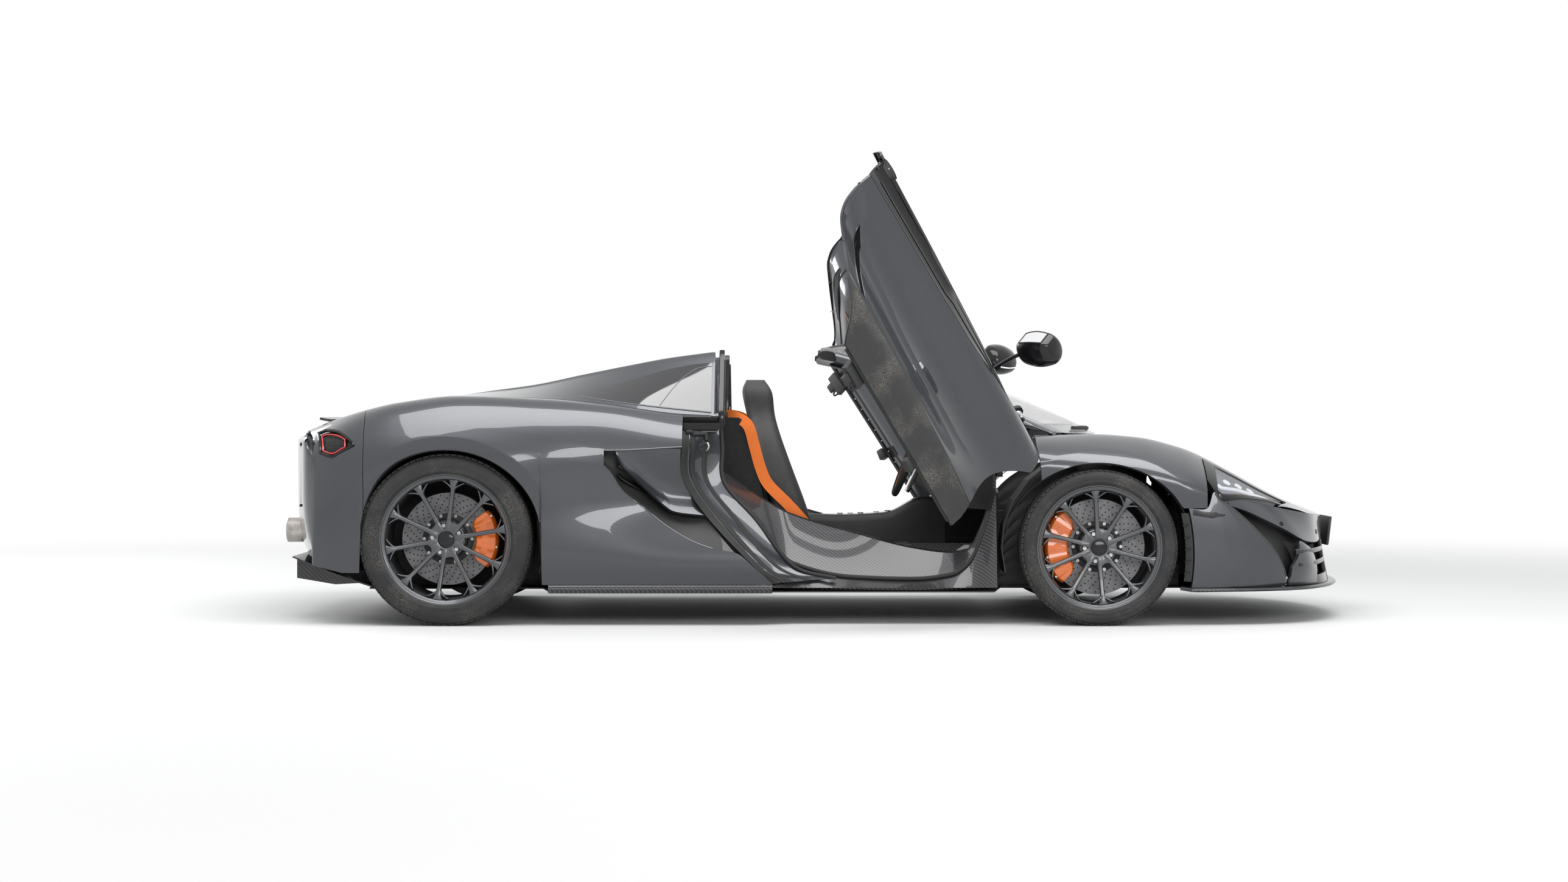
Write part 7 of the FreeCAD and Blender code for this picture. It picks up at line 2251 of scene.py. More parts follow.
@dataclass
class Screen:
    """Windscreen, its pillars and header, the wiper and the inner mirror."""

    # share of the way up, middle x and z, edge x, y and z
    rows: ClassVar = ((0.0, 1.224, 0.782, 0.990, 0.668, 0.792), (0.25, 0.985, 0.895, 0.760, 0.638, 0.888),
                      (0.5, 0.720, 1.000, 0.530, 0.606, 0.982), (0.75, 0.440, 1.092, 0.300, 0.572, 1.066),
                      (1.0, 0.165, 1.160, 0.070, 0.540, 1.132))
    inward: ClassVar = (0.2, 0.0, 0.3)

    def __post_init__(self) -> None:
        table = np.array(self.rows)
        self.table = refined(table[:, 1:], 8)

    def row(self, t: float, count: int = 41, reach: float = 1.0) -> np.ndarray:
        """Points across the glass at share t of the way up.

        Args:
            t: Share of the way up the glass.
            count: Points in the row.
            reach: Share of the half width that the row reaches.

        Returns:
            The points from right to left.
        """
        place = t * (len(self.table) - 1)
        i = min(int(place), len(self.table) - 2)
        xm, zm, xe, ye, ze = self.table[i] + (self.table[i + 1] - self.table[i]) * (place - i)
        k = np.linspace(-reach, reach, count)
        return np.stack([xm - (xm - xe) * k ** 2, ye * k, zm - (zm - ze) * k ** 2], 1)

    def build(self) -> None:
        """Make every piece of the windscreen."""
        glass = np.array([self.row(t) for t in np.linspace(0, 1, 34)])
        form = surface(glass, self.inward)
        DRESS.put("windscreen", form, Look.GLASS, replaces=["windscreen"], solid=0.005)
        self._band(glass)
        self._frame()
        self._wiper()
        self._mirror()

    def _band(self, glass: np.ndarray) -> None:
        """Black printed border on the inside of the glass."""
        inner = sunk(glass, 0.0056, self.inward)
        strips = [inner[:4], inner[-5:], inner[:, :3], inner[:, -3:]]
        forms = [surface(s, self.inward) for s in strips]
        DRESS.put("windscreen border", forms[0].joined(*forms[1:]), Look.DARK_GLASS)

    def _frame(self) -> None:
        """Pillars, header and the stays under them."""
        ring_list = []
        for t in np.linspace(0, 1, 26):
            line = self.row(t, 11)
            edge, near = line[0], line[1]
            out = (edge - near) / np.linalg.norm(edge - near)
            drop = min(1.0, 0.36 + 3 * t)
            down = np.array([0.0, 0.0, -0.001 * drop])
            corners = [edge + out * 0.0008, edge + out * 0.014 + down * 1, edge + out * 0.030 + down * 6,
                       edge + out * 0.0395 + down * 15, edge + out * 0.0405 + down * 26,
                       edge + out * 0.036 + down * 40,
                       edge + out * 0.026 + down * 45, edge + out * 0.010 + down * 40,
                       edge + out * 0.002 + down * 32]
            ring_list.append(np.array(corners))
        DRESS.put("windscreen pillars", loft(ring_list).both(), Look.PAINT, replaces=["windscreen_frame"],
                  angle=42)
        top = self.row(1.0, 41)
        wide = np.concatenate([[top[0] + [0, -0.043, -0.014]], top, [top[-1] + [0, 0.043, -0.014]]])
        ring_list = []
        for p in wide:
            q = p - np.array([0.0025, 0.0, 0.0])
            ring_list.append(np.array([q, q + [-0.010, 0, 0.0075], q + [-0.034, 0, 0.0120],
                                       q + [-0.058, 0, 0.0105],
                                       q + [-0.066, 0, 0.0], q + [-0.0665, 0, -0.015],
                                       q + [-0.058, 0, -0.023],
                                       q + [-0.004, 0, -0.034], q + [0.003, 0, -0.028]]))
        DRESS.put("windscreen header", loft(ring_list), Look.GLOSS, angle=42)
        seal = wide + np.array([-0.0695, 0.0, -0.004])
        DRESS.put("header seal", pipe(seal, 0.006, 10), Look.SEAL)
        lug = pipe(np.array([HINGE + HINGE_ALONG * 0.067, HINGE + HINGE_ALONG * 0.082]), 0.027, 40)
        stay = pipe(np.array([HINGE + HINGE_ALONG * 0.075, [0.840, -0.655, 0.838]]), 0.013, 16)
        brace = pipe(np.array([[0.872, -0.660, 0.820], [0.762, -0.560, 0.664]]), 0.017, 16)
        foot = block((0.7483, -0.590, 0.600), (0.7723, -0.500, 0.690))
        DRESS.put("pillar feet", lug.joined(stay, brace, foot).both(), Look.BLACK_METAL, angle=50)
        for side in Side:
            y = side.value
            shade = pipe(bezier([[0.190, y * 0.08, 1.122], [0.180, y * 0.26, 1.121],
                                 [0.160, y * 0.44, 1.112]], 16),
                         0.042, 14, flat=0.14)
            rod = pipe(np.array([[0.135, y * 0.10, 1.112], [0.150, y * 0.45, 1.098]]), 0.005, 8)
            DRESS.put(f"sun visor {side.label}", shade.joined(rod), Look.SUEDE)

    def _wiper(self) -> None:
        """Single wiper arm with its blade, parked along the foot of the glass."""
        line = self.row(0.035, 41)
        lifted = line + np.array([-0.001, 0.0, 0.0045])
        blade = lifted[6:34]
        arm = bezier([lifted[37] + [0.030, 0, -0.014], lifted[32] + [0.008, 0, 0.006],
                      lifted[20] + [0.0, 0, 0.007]], 30)
        DRESS.put("wiper blade", pipe(blade, 0.0042, 8, flat=1.9), Look.SEAL)
        DRESS.put("wiper arm", pipe(arm, np.linspace(0.011, 0.0055, 30), 10, flat=0.6), Look.PLASTIC)

    def _mirror(self) -> None:
        """Inner mirror on its stalk."""
        y = np.linspace(-0.115, 0.115, 21)
        rings = []
        for v in y:
            h = 0.030 * (1 - (abs(v) / 0.125) ** 6)
            rings.append(np.array([[0.262 + dx, v, 1.062 + dz * h / 0.03] for dx, dz in (
                (0.0, -0.03), (0.012, -0.027), (0.018, 0.0), (0.012, 0.027), (0.0, 0.03), (-0.004, 0.026),
                (-0.004, -0.026))]))
        DRESS.put("inner mirror", loft(rings), Look.PLASTIC, angle=50)
        pane = np.array([[[0.2570, v, 1.062 + w] for v in np.linspace(-0.100, 0.100, 5)]
                         for w in (-0.023, 0.0, 0.023)])
        DRESS.put("inner mirror glass", surface(pane, (0.5, 0, 1.06)), Look.MIRROR, solid=0.001)
        stalk = bezier([[0.276, 0, 1.070], [0.296, 0, 1.092], [0.310, 0, 1.108]], 10)
        DRESS.put("inner mirror stalk", pipe(stalk, 0.009, 12), Look.PLASTIC)


@dataclass
class Tub:
    """Carbon tub with its sills, floor mats, sill trims and seals."""

    # station, inner wall's y and top z, seal's y and z
    sill: ClassVar = ((REAR_WALL, 0.640, 0.640, 0.760, 0.560), (-0.270, 0.640, 0.530, 0.772, 0.430),
                      (-0.117, 0.645, 0.445, 0.786, 0.237), (0.137, 0.650, 0.370, 0.792, 0.178),
                      (0.390, 0.650, 0.305, 0.792, 0.170), (0.545, 0.650, 0.286, 0.790, 0.188),
                      (0.620, 0.650, 0.300, 0.784, 0.240), (0.676, 0.650, 0.400, 0.776, 0.360),
                      (FRONT_WALL, 0.640, 0.560, 0.760, 0.540))
    floor: float = 0.150

    def build(self) -> None:
        """Make the tub and its trims."""
        table = np.array(self.sill)
        curves = [Curve(list(zip(table[:, 0], table[:, k]))) for k in range(1, 5)]
        stations = np.concatenate([np.linspace(REAR_WALL, 0.60, 66), np.linspace(0.60, FRONT_WALL, 16)[1:]])
        rows = []
        for x in stations:
            wall_y, top_z, seal_y, seal_z = (float(c(x)) for c in curves)
            half = [(0.838, 0.150), (seal_y + 0.006, seal_z - 0.002), (seal_y - 0.004, seal_z + 0.006),
                    (wall_y + 0.030, top_z - 0.001), (wall_y + 0.012, top_z), (wall_y + 0.002, top_z - 0.004),
                    (wall_y - 0.004, top_z - 0.020), (0.566, self.floor + 0.050), (0.552, self.floor + 0.020),
                    (0.520, self.floor), (0.160, self.floor), (0.148, self.floor + 0.010), (0.120, 0.300)]
            rows.append([[x, -y, z] for y, z in half])
        right = np.array(rows)
        grid = np.concatenate([right, right[:, ::-1] * MIRROR], axis=1)
        form = grid_form(grid, keep=lambda i, j: j != len(right[0]) - 1)
        tunnel = np.array([[[x, y, TUNNEL_TOP] for y in np.linspace(-0.120, 0.120, 3)]
                           for x in (REAR_WALL, FRONT_WALL)])
        below = (0.1, 0.0, -0.5)
        form = facing(form, below).joined(surface(tunnel, below))
        DRESS.put("tub", form, Look.CARBON, replaces=["tub"], solid=0.012, angle=36)
        for name, column, radius, drop, look in (("sill seal", 2, 0.0085, 0.008, Look.SEAL),
                                                 ("sill lip", 4, 0.0030, 0.002, Look.GLOSS)):
            line = right[3:-3, column] + np.array([0.0, 0.0, drop])
            DRESS.put(name, pipe(line, radius, 10).both(), look)
        x = np.linspace(0.36, 0.715, 12)
        rise = np.clip((x - 0.62) / 0.1, 0, 1) ** 1.5 * 0.075
        mat = np.array([[[a, -b, self.floor + 0.004 + r] for b in np.linspace(0.165, 0.515, 12)]
                        for a, r in zip(x, rise)])
        DRESS.put("floor mats", surface(mat, below).both(), Look.SUEDE, solid=0.005)
        edge = rim_of(mat) + np.array([0, 0, 0.001])
        DRESS.put("mat edges", pipe(edge, 0.003, 8).both(), Look.STITCH)


@dataclass
class Seats:
    """Two fixed-back bucket seats with padded panels, stitching and orange belts."""

    # back and base: x, z, half width, depth; ring: shares of the half width and of the depth; belt: x, y, z
    back: ClassVar = ((-0.080, 0.268, 0.200, 0.110), (-0.125, 0.440, 0.235, 0.100),
                      (-0.180, 0.620, 0.225, 0.085),
                      (-0.222, 0.760, 0.190, 0.075), (-0.250, 0.860, 0.130, 0.075),
                      (-0.266, 0.960, 0.118, 0.080),
                      (-0.272, 1.010, 0.080, 0.050))
    base: ClassVar = ((-0.060, 0.2441, 0.196, 0.078), (0.120, 0.2441, 0.200, 0.078),
                      (0.280, 0.276, 0.198, 0.084),
                      (0.390, 0.292, 0.176, 0.066))
    ring: ClassVar = ((-1.0, 0.3), (-1.0, 1.0), (-0.88, 1.25), (-0.74, 1.3), (-0.60, 1.2), (-0.45, 1.0),
                      (0.0, 0.94),
                      (0.45, 1.0), (0.60, 1.2), (0.74, 1.3), (0.88, 1.25), (1.0, 1.0), (1.0, 0.3),
                      (0.84, -0.2),
                      (-0.84, -0.2))
    belt: ClassVar = ((-0.396, 0.520, 0.862), (-0.345, 0.575, 0.850), (-0.298, 0.600, 0.815),
                      (-0.272, 0.602, 0.730),
                      (-0.247, 0.602, 0.640), (-0.214, 0.606, 0.570), (-0.140, 0.612, 0.495),
                      (-0.080, 0.614, 0.430),
                      (-0.045, 0.612, 0.385))
    y: float = SEAT_Y

    def _section(self, row: Sequence[float], upright: bool, pad: float) -> np.ndarray:
        """Closed section of a seat part, shrunk by a pad's inset."""
        x, z, half, depth = row
        points = []
        for fy, fd in self.ring:
            shift = fd * depth
            base = np.array([x, -self.y + fy * (half - pad), z])
            base += np.array([shift, 0, 0]) if upright else np.array([0, 0, shift])
            points.append(base - (np.array([depth * 0.5, 0, 0]) if upright else np.array([0, 0, depth])))
        return np.array(points)

    def build(self) -> None:
        """Make both seats."""
        forms = []
        for table, upright in ((self.back, True), (self.base, False)):
            coarse = np.array([self._section(row, upright, 0.0) for row in table])
            fine = smooth_grid(np.concatenate([coarse, coarse[:, :1]], axis=1), 4)[:, :-1]
            forms.append(loft(fine))
        DRESS.put("seat shells", forms[0].joined(forms[1]).both(), Look.LEATHER, replaces=["seats"], angle=44,
                  padded=0.6)
        self._pads()
        self._stitches()
        self._belts()

    def _face(self, rows: Sequence, share: Number,
              across: Number) -> tuple[Number, Number, Number, Number, Number]:
        """X, y, z, depth and crown of a seat part's face by shares of its length and of its half width."""
        table = np.array(rows)
        place = np.linspace(0, 1, len(table))
        x, z, half, depth = (Curve(list(zip(place, table[:, k])))(share) for k in range(4))
        across = np.asarray(across, float)
        bowl = np.interp(np.abs(across), [0.0, 0.45, 0.74, 0.95], [0.94, 1.0, 1.3, 1.1])
        return x, -self.y + across * half, z, depth, bowl

    def _front(self, share: Number, across: Number, proud: float) -> np.ndarray:
        """Point on the back's front face."""
        x, y, z, depth, bowl = self._face(self.back, share, across)
        return np.stack(np.broadcast_arrays(x + depth * (bowl - 0.5) + proud, y, z), -1)

    def _top(self, share: Number, across: Number, proud: float) -> np.ndarray:
        """Point on the cushion's upper face."""
        x, y, z, depth, bowl = self._face(self.base, share, across)
        return np.stack(np.broadcast_arrays(x, y, z + depth * (bowl - 1.0) + proud), -1)

    def _pads(self) -> None:
        """Quilted middle panels and head pads that stand a little proud."""
        forms = []
        for maker, lift, hidden, spans in (
                (self._front, (1.0, 0, 0.28), (-0.5, -self.y, 0.5),
                 ((0.10, 0.235), (0.245, 0.38), (0.39, 0.525))),
                (self._top, (0, 0, 1.0), (0.2, -self.y, 0.0), ((0.06, 0.33), (0.35, 0.62), (0.64, 0.90)))):
            for low, high in spans:
                a = np.linspace(low, high, 12)[:, None]
                b = np.linspace(-0.43, 0.43, 26)[None]
                round_off = np.sin(math.pi * (a - low) / (high - low)) * np.cos(math.pi * b / 0.86)
                puff = 0.011 * round_off.clip(0) ** 0.35
                forms.append(surface(maker(a, b, 0.0) + puff[..., None] * np.array(lift), hidden))
        DRESS.put("seat pads", forms[0].joined(*forms[1:]).both(), Look.SUEDE, solid=0.004, angle=50,
                  padded=0.6)
        a = np.linspace(0.72, 0.93, 14)[:, None]
        b = np.linspace(-0.72, 0.72, 16)[None]
        puff = 0.016 * (np.sin(math.pi * (a - 0.72) / 0.21) * np.cos(math.pi * b / 1.44)).clip(0) ** 0.4
        grid = self._front(a, b, 0.0) + puff[..., None] * np.array([1.0, 0, 0.1])
        form = surface(grid, (-0.5, -self.y, 0.95))
        DRESS.put("head pads", form.both(), Look.LEATHER, solid=0.004, padded=0.6)

    def _stitches(self) -> None:
        """Rows of orange stitches along the bolsters, all in one piece."""
        points, ways, ups = [], [], []
        for maker, share, lift in ((self._front, np.linspace(0.06, 0.66, 110), 0.0022),
                                   (self._top, np.linspace(0.04, 0.94, 84), 0.0022)):
            for across in (-0.60, -0.46, 0.46, 0.60):
                line = maker(share, np.full_like(share, across), lift if maker == self._front else 0.0)
                if maker == self._top:
                    line[:, 2] += lift
                points.append(line)
                ways.append(np.gradient(line, axis=0))
                ups.append(np.tile([1.0, 0, 0.3] if maker == self._front else [0.0, 0, 1.0], (len(line), 1)))
        points, ways, ups = (np.concatenate(v) for v in (points, ways, ups))
        Repeater.along("seat stitches", np.concatenate([points, points * MIRROR]),
                       np.concatenate([ways, ways * MIRROR]), np.concatenate([ups, ups * MIRROR]),
                       Look.STITCH, CHASSIS,
                       (0.0038, 0.0012, 0.0010))

    def _belts(self) -> None:
        """Belts from the shoulder guide to the buckle, and their buckles."""
        for side in Side:
            sign = -side.value
            offset = side.value * self.y
            path = bezier([[x, side.value * y, z] for x, y, z in self.belt], 60)
            tangents = np.gradient(path, axis=0)
            tangents /= np.linalg.norm(tangents, axis=1)[:, None]
            outer = np.array([[-0.25, side.value, 0.15]] * 60)
            across = np.cross(tangents, outer)
            across /= np.linalg.norm(across, axis=1)[:, None]
            grid = np.stack([path + across * w for w in (-0.0235, -0.012, 0.0, 0.012, 0.0235)], 1)
            DRESS.put(f"belt {side.label}", grid_form(grid), Look.WEBBING, solid=0.0016)
            place = Matrix.Translation((-0.030, offset + sign * 0.222, 0.300)) @ Matrix.Rotation(0.35, 4, "Y")
            buckle = block((0.00, -0.014, 0.0), (0.032, 0.014, 0.075)).moved(place)
            DRESS.put(f"buckle {side.label}", buckle, Look.PLASTIC, bevel=0.004)
            button = block((0.006, -0.009, 0.0752), (0.026, 0.009, 0.0768)).moved(place)
            DRESS.put(f"buckle button {side.label}", button, Look.RED)


@dataclass
class Cabin:
    """Dashboard, displays, vents, console and steering wheel."""

    hub: ClassVar = np.array([0.395, -SEAT_Y, 0.690])
    rake: ClassVar[float] = math.radians(22.0)
    axis: ClassVar = np.array([-math.cos(rake), 0.0, math.sin(rake)])
    radius: float = 0.178

    def build(self) -> None:
        """Make every piece of the cabin's front."""
        self._dash()
        self._console()
        self._wheel()

    def _dash(self) -> None:
        """Soft dashboard with its binnacle, displays and vents."""
        wall = FRONT_WALL
        outline = bezier([[wall, 0, 0.690], [0.690, 0, 0.735], [0.630, 0, 0.744], [0.570, 0, 0.745],
                          [0.520, 0, 0.728],
                          [0.480, 0, 0.706], [0.463, 0, 0.672], [0.462, 0, 0.640], [0.485, 0, 0.600],
                          [0.520, 0, 0.560],
                          [0.600, 0, 0.500], [wall, 0, 0.480]], 45)
        rings = []
        for y in np.linspace(-0.6, 0.6, 41):
            q = (abs(y) / 0.6) ** 2
            ring = outline.copy()
            ring[:, 0] -= np.where(ring[:, 0] < wall - 0.001, 0.040 * q, 0.0)
            ring[:, 2] -= 0.018 * q
            ring[:, 1] = y
            rings.append(ring)
        DRESS.put("dashboard", loft(rings), Look.SUEDE, replaces=["dashboard"], angle=44)
        axis = self.axis
        column = pipe(np.array([self.hub - axis * 0.200, self.hub - axis * 0.0525]), 0.0375, 32)
        DRESS.put("steering column", column, Look.PLASTIC, bevel=0.002)
        stalks = [pipe(bezier([self.hub - axis * 0.075, self.hub - axis * 0.075 + [0.0, v * 0.06, 0.004],
                               self.hub - axis * 0.060 + [0.0, v * 0.135, 0.010]], 14), 0.0055,
                               10) for v in (-1, 1)]
        DRESS.put("column stalks", stalks[0].joined(stalks[1]), Look.PLASTIC)
        y = np.linspace(-0.155, 0.155, 22)
        hood = np.array([[[0.640 - 0.115 * t, -SEAT_Y + v,
                           0.744 + 0.038 * math.sin(math.pi * (0.5 + 0.32 * t))
                           - 0.9 * v * v - 0.008 * t] for v in y] for t in np.linspace(0, 1, 10)])
        DRESS.put("binnacle", surface(hood, (0.5, -SEAT_Y, 0.6)), Look.LEATHER, solid=0.008, bevel=0.002)
        for name, low, high, place, look, turn in (
                ("gauge display", (0, -0.115, -0.042), (0.006, 0.115, 0.042), (0.512, -SEAT_Y, 0.748),
                 Look.SCREEN, 0.35),
                ("centre display", (0, -0.072, -0.110), (0.010, 0.072, 0.110), (0.440, 0.0, 0.640),
                 Look.SCREEN, 0.45),
                ("centre surround", (0.002, -0.086, -0.128), (0.016, 0.086, 0.128), (0.442, 0.0, 0.640),
                 Look.GLOSS,
                 0.45)):
            piece = block(low, high).moved(Matrix.Translation(place) @ Matrix.Rotation(turn, 4, "Y"))
            DRESS.put(name, piece, look, bevel=0.003)
        rings, vanes = [], []
        for y in (-0.555, -0.135, 0.135, SEAT_Y, 0.555):
            at = np.array([0.452 - 0.040 * (abs(y) / 0.6) ** 2, y, 0.668])
            turns = np.linspace(0, 2 * math.pi, 41)
            loop = at + np.stack([0.012 * np.sin(turns), 0.040 * np.cos(turns), 0.026 * np.sin(turns)], 1)
            rings.append(pipe(loop, 0.0045, 8))
            for k in (-1, 0, 1):
                bar = at + np.array([[0.004 + 0.004 * k, v, 0.012 * k] for v in (-0.034 + abs(k) * 0.004,
                                                                                   0.034 - abs(k) * 0.004)])
                vanes.append(pipe(bar, 0.0016, 6, flat=3.0))
        DRESS.put("vent rings", rings[0].joined(*rings[1:]), Look.GLOSS)
        DRESS.put("vent vanes", vanes[0].joined(*vanes[1:]), Look.PLASTIC)
        mirror_y = np.linspace(-0.55, 0.55, 150)
        q = (np.abs(mirror_y) / 0.6) ** 2
        seam = np.stack([0.498 - 0.040 * q, mirror_y, 0.7205 - 0.018 * q], 1)
        Repeater.along("dash stitches", seam, np.gradient(seam, axis=0), np.array([-0.4, 0, 1.0]),
                       Look.STITCH, CHASSIS,
                       (0.0045, 0.0013, 0.0011))

    def _console(self) -> None:
        """Tunnel with its carbon spine, armrest, switches and selector buttons."""
        rows = ((-0.418, 0.420, 0.090), (-0.200, 0.430, 0.092), (0.100, 0.420, 0.088), (0.300, 0.430, 0.084),
                (0.470, 0.500, 0.080), (0.560, 0.500, 0.078))
        place = [r[0] for r in rows]
        low = TUNNEL_TOP + 0.0003
        top, width = Curve([(r[0], r[1]) for r in rows]), Curve([(r[0], r[2]) for r in rows])
        rings = []
        for x in np.linspace(place[0], place[-1], 50):
            z, w = float(top(x)), float(width(x))
            rings.append(np.array([[x, y, h] for y, h in (
                (-w, low), (-w, z - 0.030), (-w + 0.008, z - 0.010), (-w + 0.024, z - 0.001), (0, z),
                (w - 0.024, z - 0.001), (w - 0.008, z - 0.010), (w, z - 0.030), (w, low))]))
        DRESS.put("console", loft(rings), Look.LEATHER, replaces=["console"], angle=44)
        foot = block((0.556, -0.076, low), (FRONT_WALL - 0.0005, 0.076, 0.492))
        DRESS.put("console foot", foot, Look.SUEDE, bevel=0.004)
        x = np.linspace(0.02, 0.46, 30)
        strip = np.array([[[a, y, float(top(a)) + 0.002] for y in np.linspace(-0.052, 0.052, 5)] for a in x])
        DRESS.put("console spine", surface(strip, (0, 0, 0)), Look.CARBON, solid=0.003)
        rest = np.array([self._pad_ring(a, float(top(a))) for a in np.linspace(-0.400, -0.060, 18)])
        DRESS.put("armrest", loft(rest), Look.LEATHER, angle=50)
        buttons = np.array([[a, y, float(top(a)) + 0.0055] for a, y in (
            (0.10, -0.022), (0.10, 0.022), (0.145, 0.0), (0.19, -0.022), (0.19, 0.022), (0.26, 0.0),
            (0.31, -0.026),
            (0.31, 0.026))])
        Repeater.on_points("console switches", buttons, UP, Look.ALLOY, CHASSIS, 0.0125, 0.003, 32)

    @staticmethod
    def _pad_ring(x: float, z: float) -> np.ndarray:
        """Section of the armrest at one station."""
        end = min(1.0, (min(x + 0.400, -0.060 - x) + 0.004) / 0.03)
        h = 0.018 * math.sqrt(end)
        return np.array([[x, y, z + dz] for y, dz in ((-0.074, -0.004), (-0.078, h * 0.5), (-0.066, h),
                                                      (-0.03, h * 1.15),
                                                       (0.03, h * 1.15), (0.066, h), (0.078, h * 0.5),
                                                       (0.074, -0.004))])

    def _wheel(self) -> None:
        """Steering wheel: flattened rim, spokes, pad, paddles and stitching."""
        axis = self.axis
        side = ACROSS
        up = np.cross(axis, side)
        up = up if up[2] > 0 else -up
        turns = np.linspace(0, 2 * math.pi, 97)
        loop = self.hub + self.radius * (np.cos(turns)[:, None] * side + np.sin(turns)[:, None] * up)
        body = "steering_wheel"
        DRESS.put("steering rim", pipe(loop, 0.0148, 14, flat=0.92), Look.SUEDE, body, ["steering_wheel"])
        pad = []
        for t, r in ((-0.038, 0.050), (-0.030, 0.058), (-0.004, 0.058), (0.003, 0.052), (0.0055, 0.040)):
            a = np.linspace(0, 2 * math.pi, 36, endpoint=False)
            wobble = r * (1 + 0.10 * np.cos(2 * a))
            pad.append(self.hub + axis * t
                       + wobble[:, None] * (np.cos(a)[:, None] * side + np.sin(a)[:, None] * up))
        shaft = pipe(np.array([self.hub - axis * 0.098, self.hub - axis * 0.036]), 0.0168, 24)
        DRESS.put("steering pad", loft(pad).joined(shaft), Look.LEATHER, body, angle=40)
        spokes = []
        for way in (side, -side, -up):
            reach = np.linspace(0.045, self.radius - 0.006, 10)[:, None]
            line = self.hub - axis * 0.008 + way * reach
            spokes.append(pipe(line, np.interp(reach[:, 0], [0.045, 0.11, 0.172], [0.021, 0.0115, 0.0135]),
                               12,
                               flat=0.45))
        DRESS.put("steering spokes", spokes[0].joined(*spokes[1:]), Look.CARBON, body, angle=50)
        paddles = []
        for v in (-1, 1):
            lever = bezier([self.hub - axis * 0.028 + side * v * 0.06,
                            self.hub - axis * 0.030 + side * v * 0.105 + up * 0.020,
                            self.hub - axis * 0.026 + side * v * 0.138 + up * 0.052], 14)
            paddles.append(pipe(lever, 0.012, 10, flat=0.2))
        DRESS.put("paddles", paddles[0].joined(paddles[1]), Look.CARBON, body, angle=50)
        ring = self.hub + axis * 0.006 + (self.radius - 0.0145) * (
            np.cos(turns)[:, None] * side + np.sin(turns)[:, None] * up)
        fine = refined(ring, 2)
        Repeater.along("steering stitches", fine, np.gradient(fine, axis=0), axis, Look.STITCH, body,
                       (0.0042, 0.0012, 0.0012))


@dataclass
class Hoops:
    """Roll hoops behind the seats, the shelf between them and the belt guides."""

    # x and z of the trim's side view
    trim: ClassVar = ((-0.4195, 0.850), (-0.340, 0.850), (-0.322, 0.840), (-0.296, 0.760), (-0.260, 0.620),
                      (-0.216, 0.440),
                      (-0.186, 0.300), (-0.182, 0.170), (-0.4195, 0.170))
    x: float = REAR_WALL

    def build(self) -> None:
        """Make the hoops and what lies between them."""
        outline = bezier([[0, -0.742, 0.700], [0, -0.742, 0.790], [0, -0.741, 0.868], [0, -0.690, 0.935],
                          [0, -0.534, 1.118], [0, -0.505, 1.129], [0, -0.480, 1.116], [0, -0.455, 0.980],
                          [0, -0.441, 0.880], [0, -0.440, 0.700]], 60)
        centre = np.array([0, -0.60, 0.86])
        rings = []
        for dx, inset in ((0.0, 0.003), (0.0015, 0.0008), (0.004, 0.0), (0.018, 0.0), (0.0205, 0.0008),
                          (0.0220, 0.003)):
            ring = outline + (centre - outline) / np.linalg.norm(centre - outline, axis=1)[:, None] * inset
            ring[:, 0] = self.x + dx
            rings.append(ring)
        top = SHELL.point(np.array([-0.590]), 1.38)[0]
        bracket = block((-0.604, top[1] - 0.008, 0.800), (-0.4107, top[1] + 0.008, 0.8285))
        DRESS.put("roll hoops", loft(rings).joined(bracket).both(), Look.GLOSS, replaces=["roll_hoops"],
                  angle=36)
        inner = outline[8:-8] + (centre - outline[8:-8]) * 0.16
        inner[:, 0] = self.x + 0.0245
        DRESS.put("hoop recess lines", pipe(inner, 0.003, 8).both(), Look.PLASTIC)
        rings = [np.array([[x, y, z] for x, z in self.trim]) for y in np.linspace(-0.590, 0.590, 41)]
        DRESS.put("rear cabin trim", loft(rings), Look.SUEDE, angle=44)
        for side in Side:
            outer = side.value * (SEAT_Y + 0.19)
            guide = block((-0.4078, outer - 0.034, 0.848), (-0.386, outer + 0.034, 0.876))
            DRESS.put(f"belt guide {side.label}", guide, Look.PLASTIC, bevel=0.004)


# Doors

SWING = math.radians(64.5)
OPEN = (Matrix.Translation(Vector(HINGE)) @ Matrix.Rotation(SWING, 4, Vector(HINGE_AXIS))
        @ Matrix.Translation(-Vector(HINGE)))


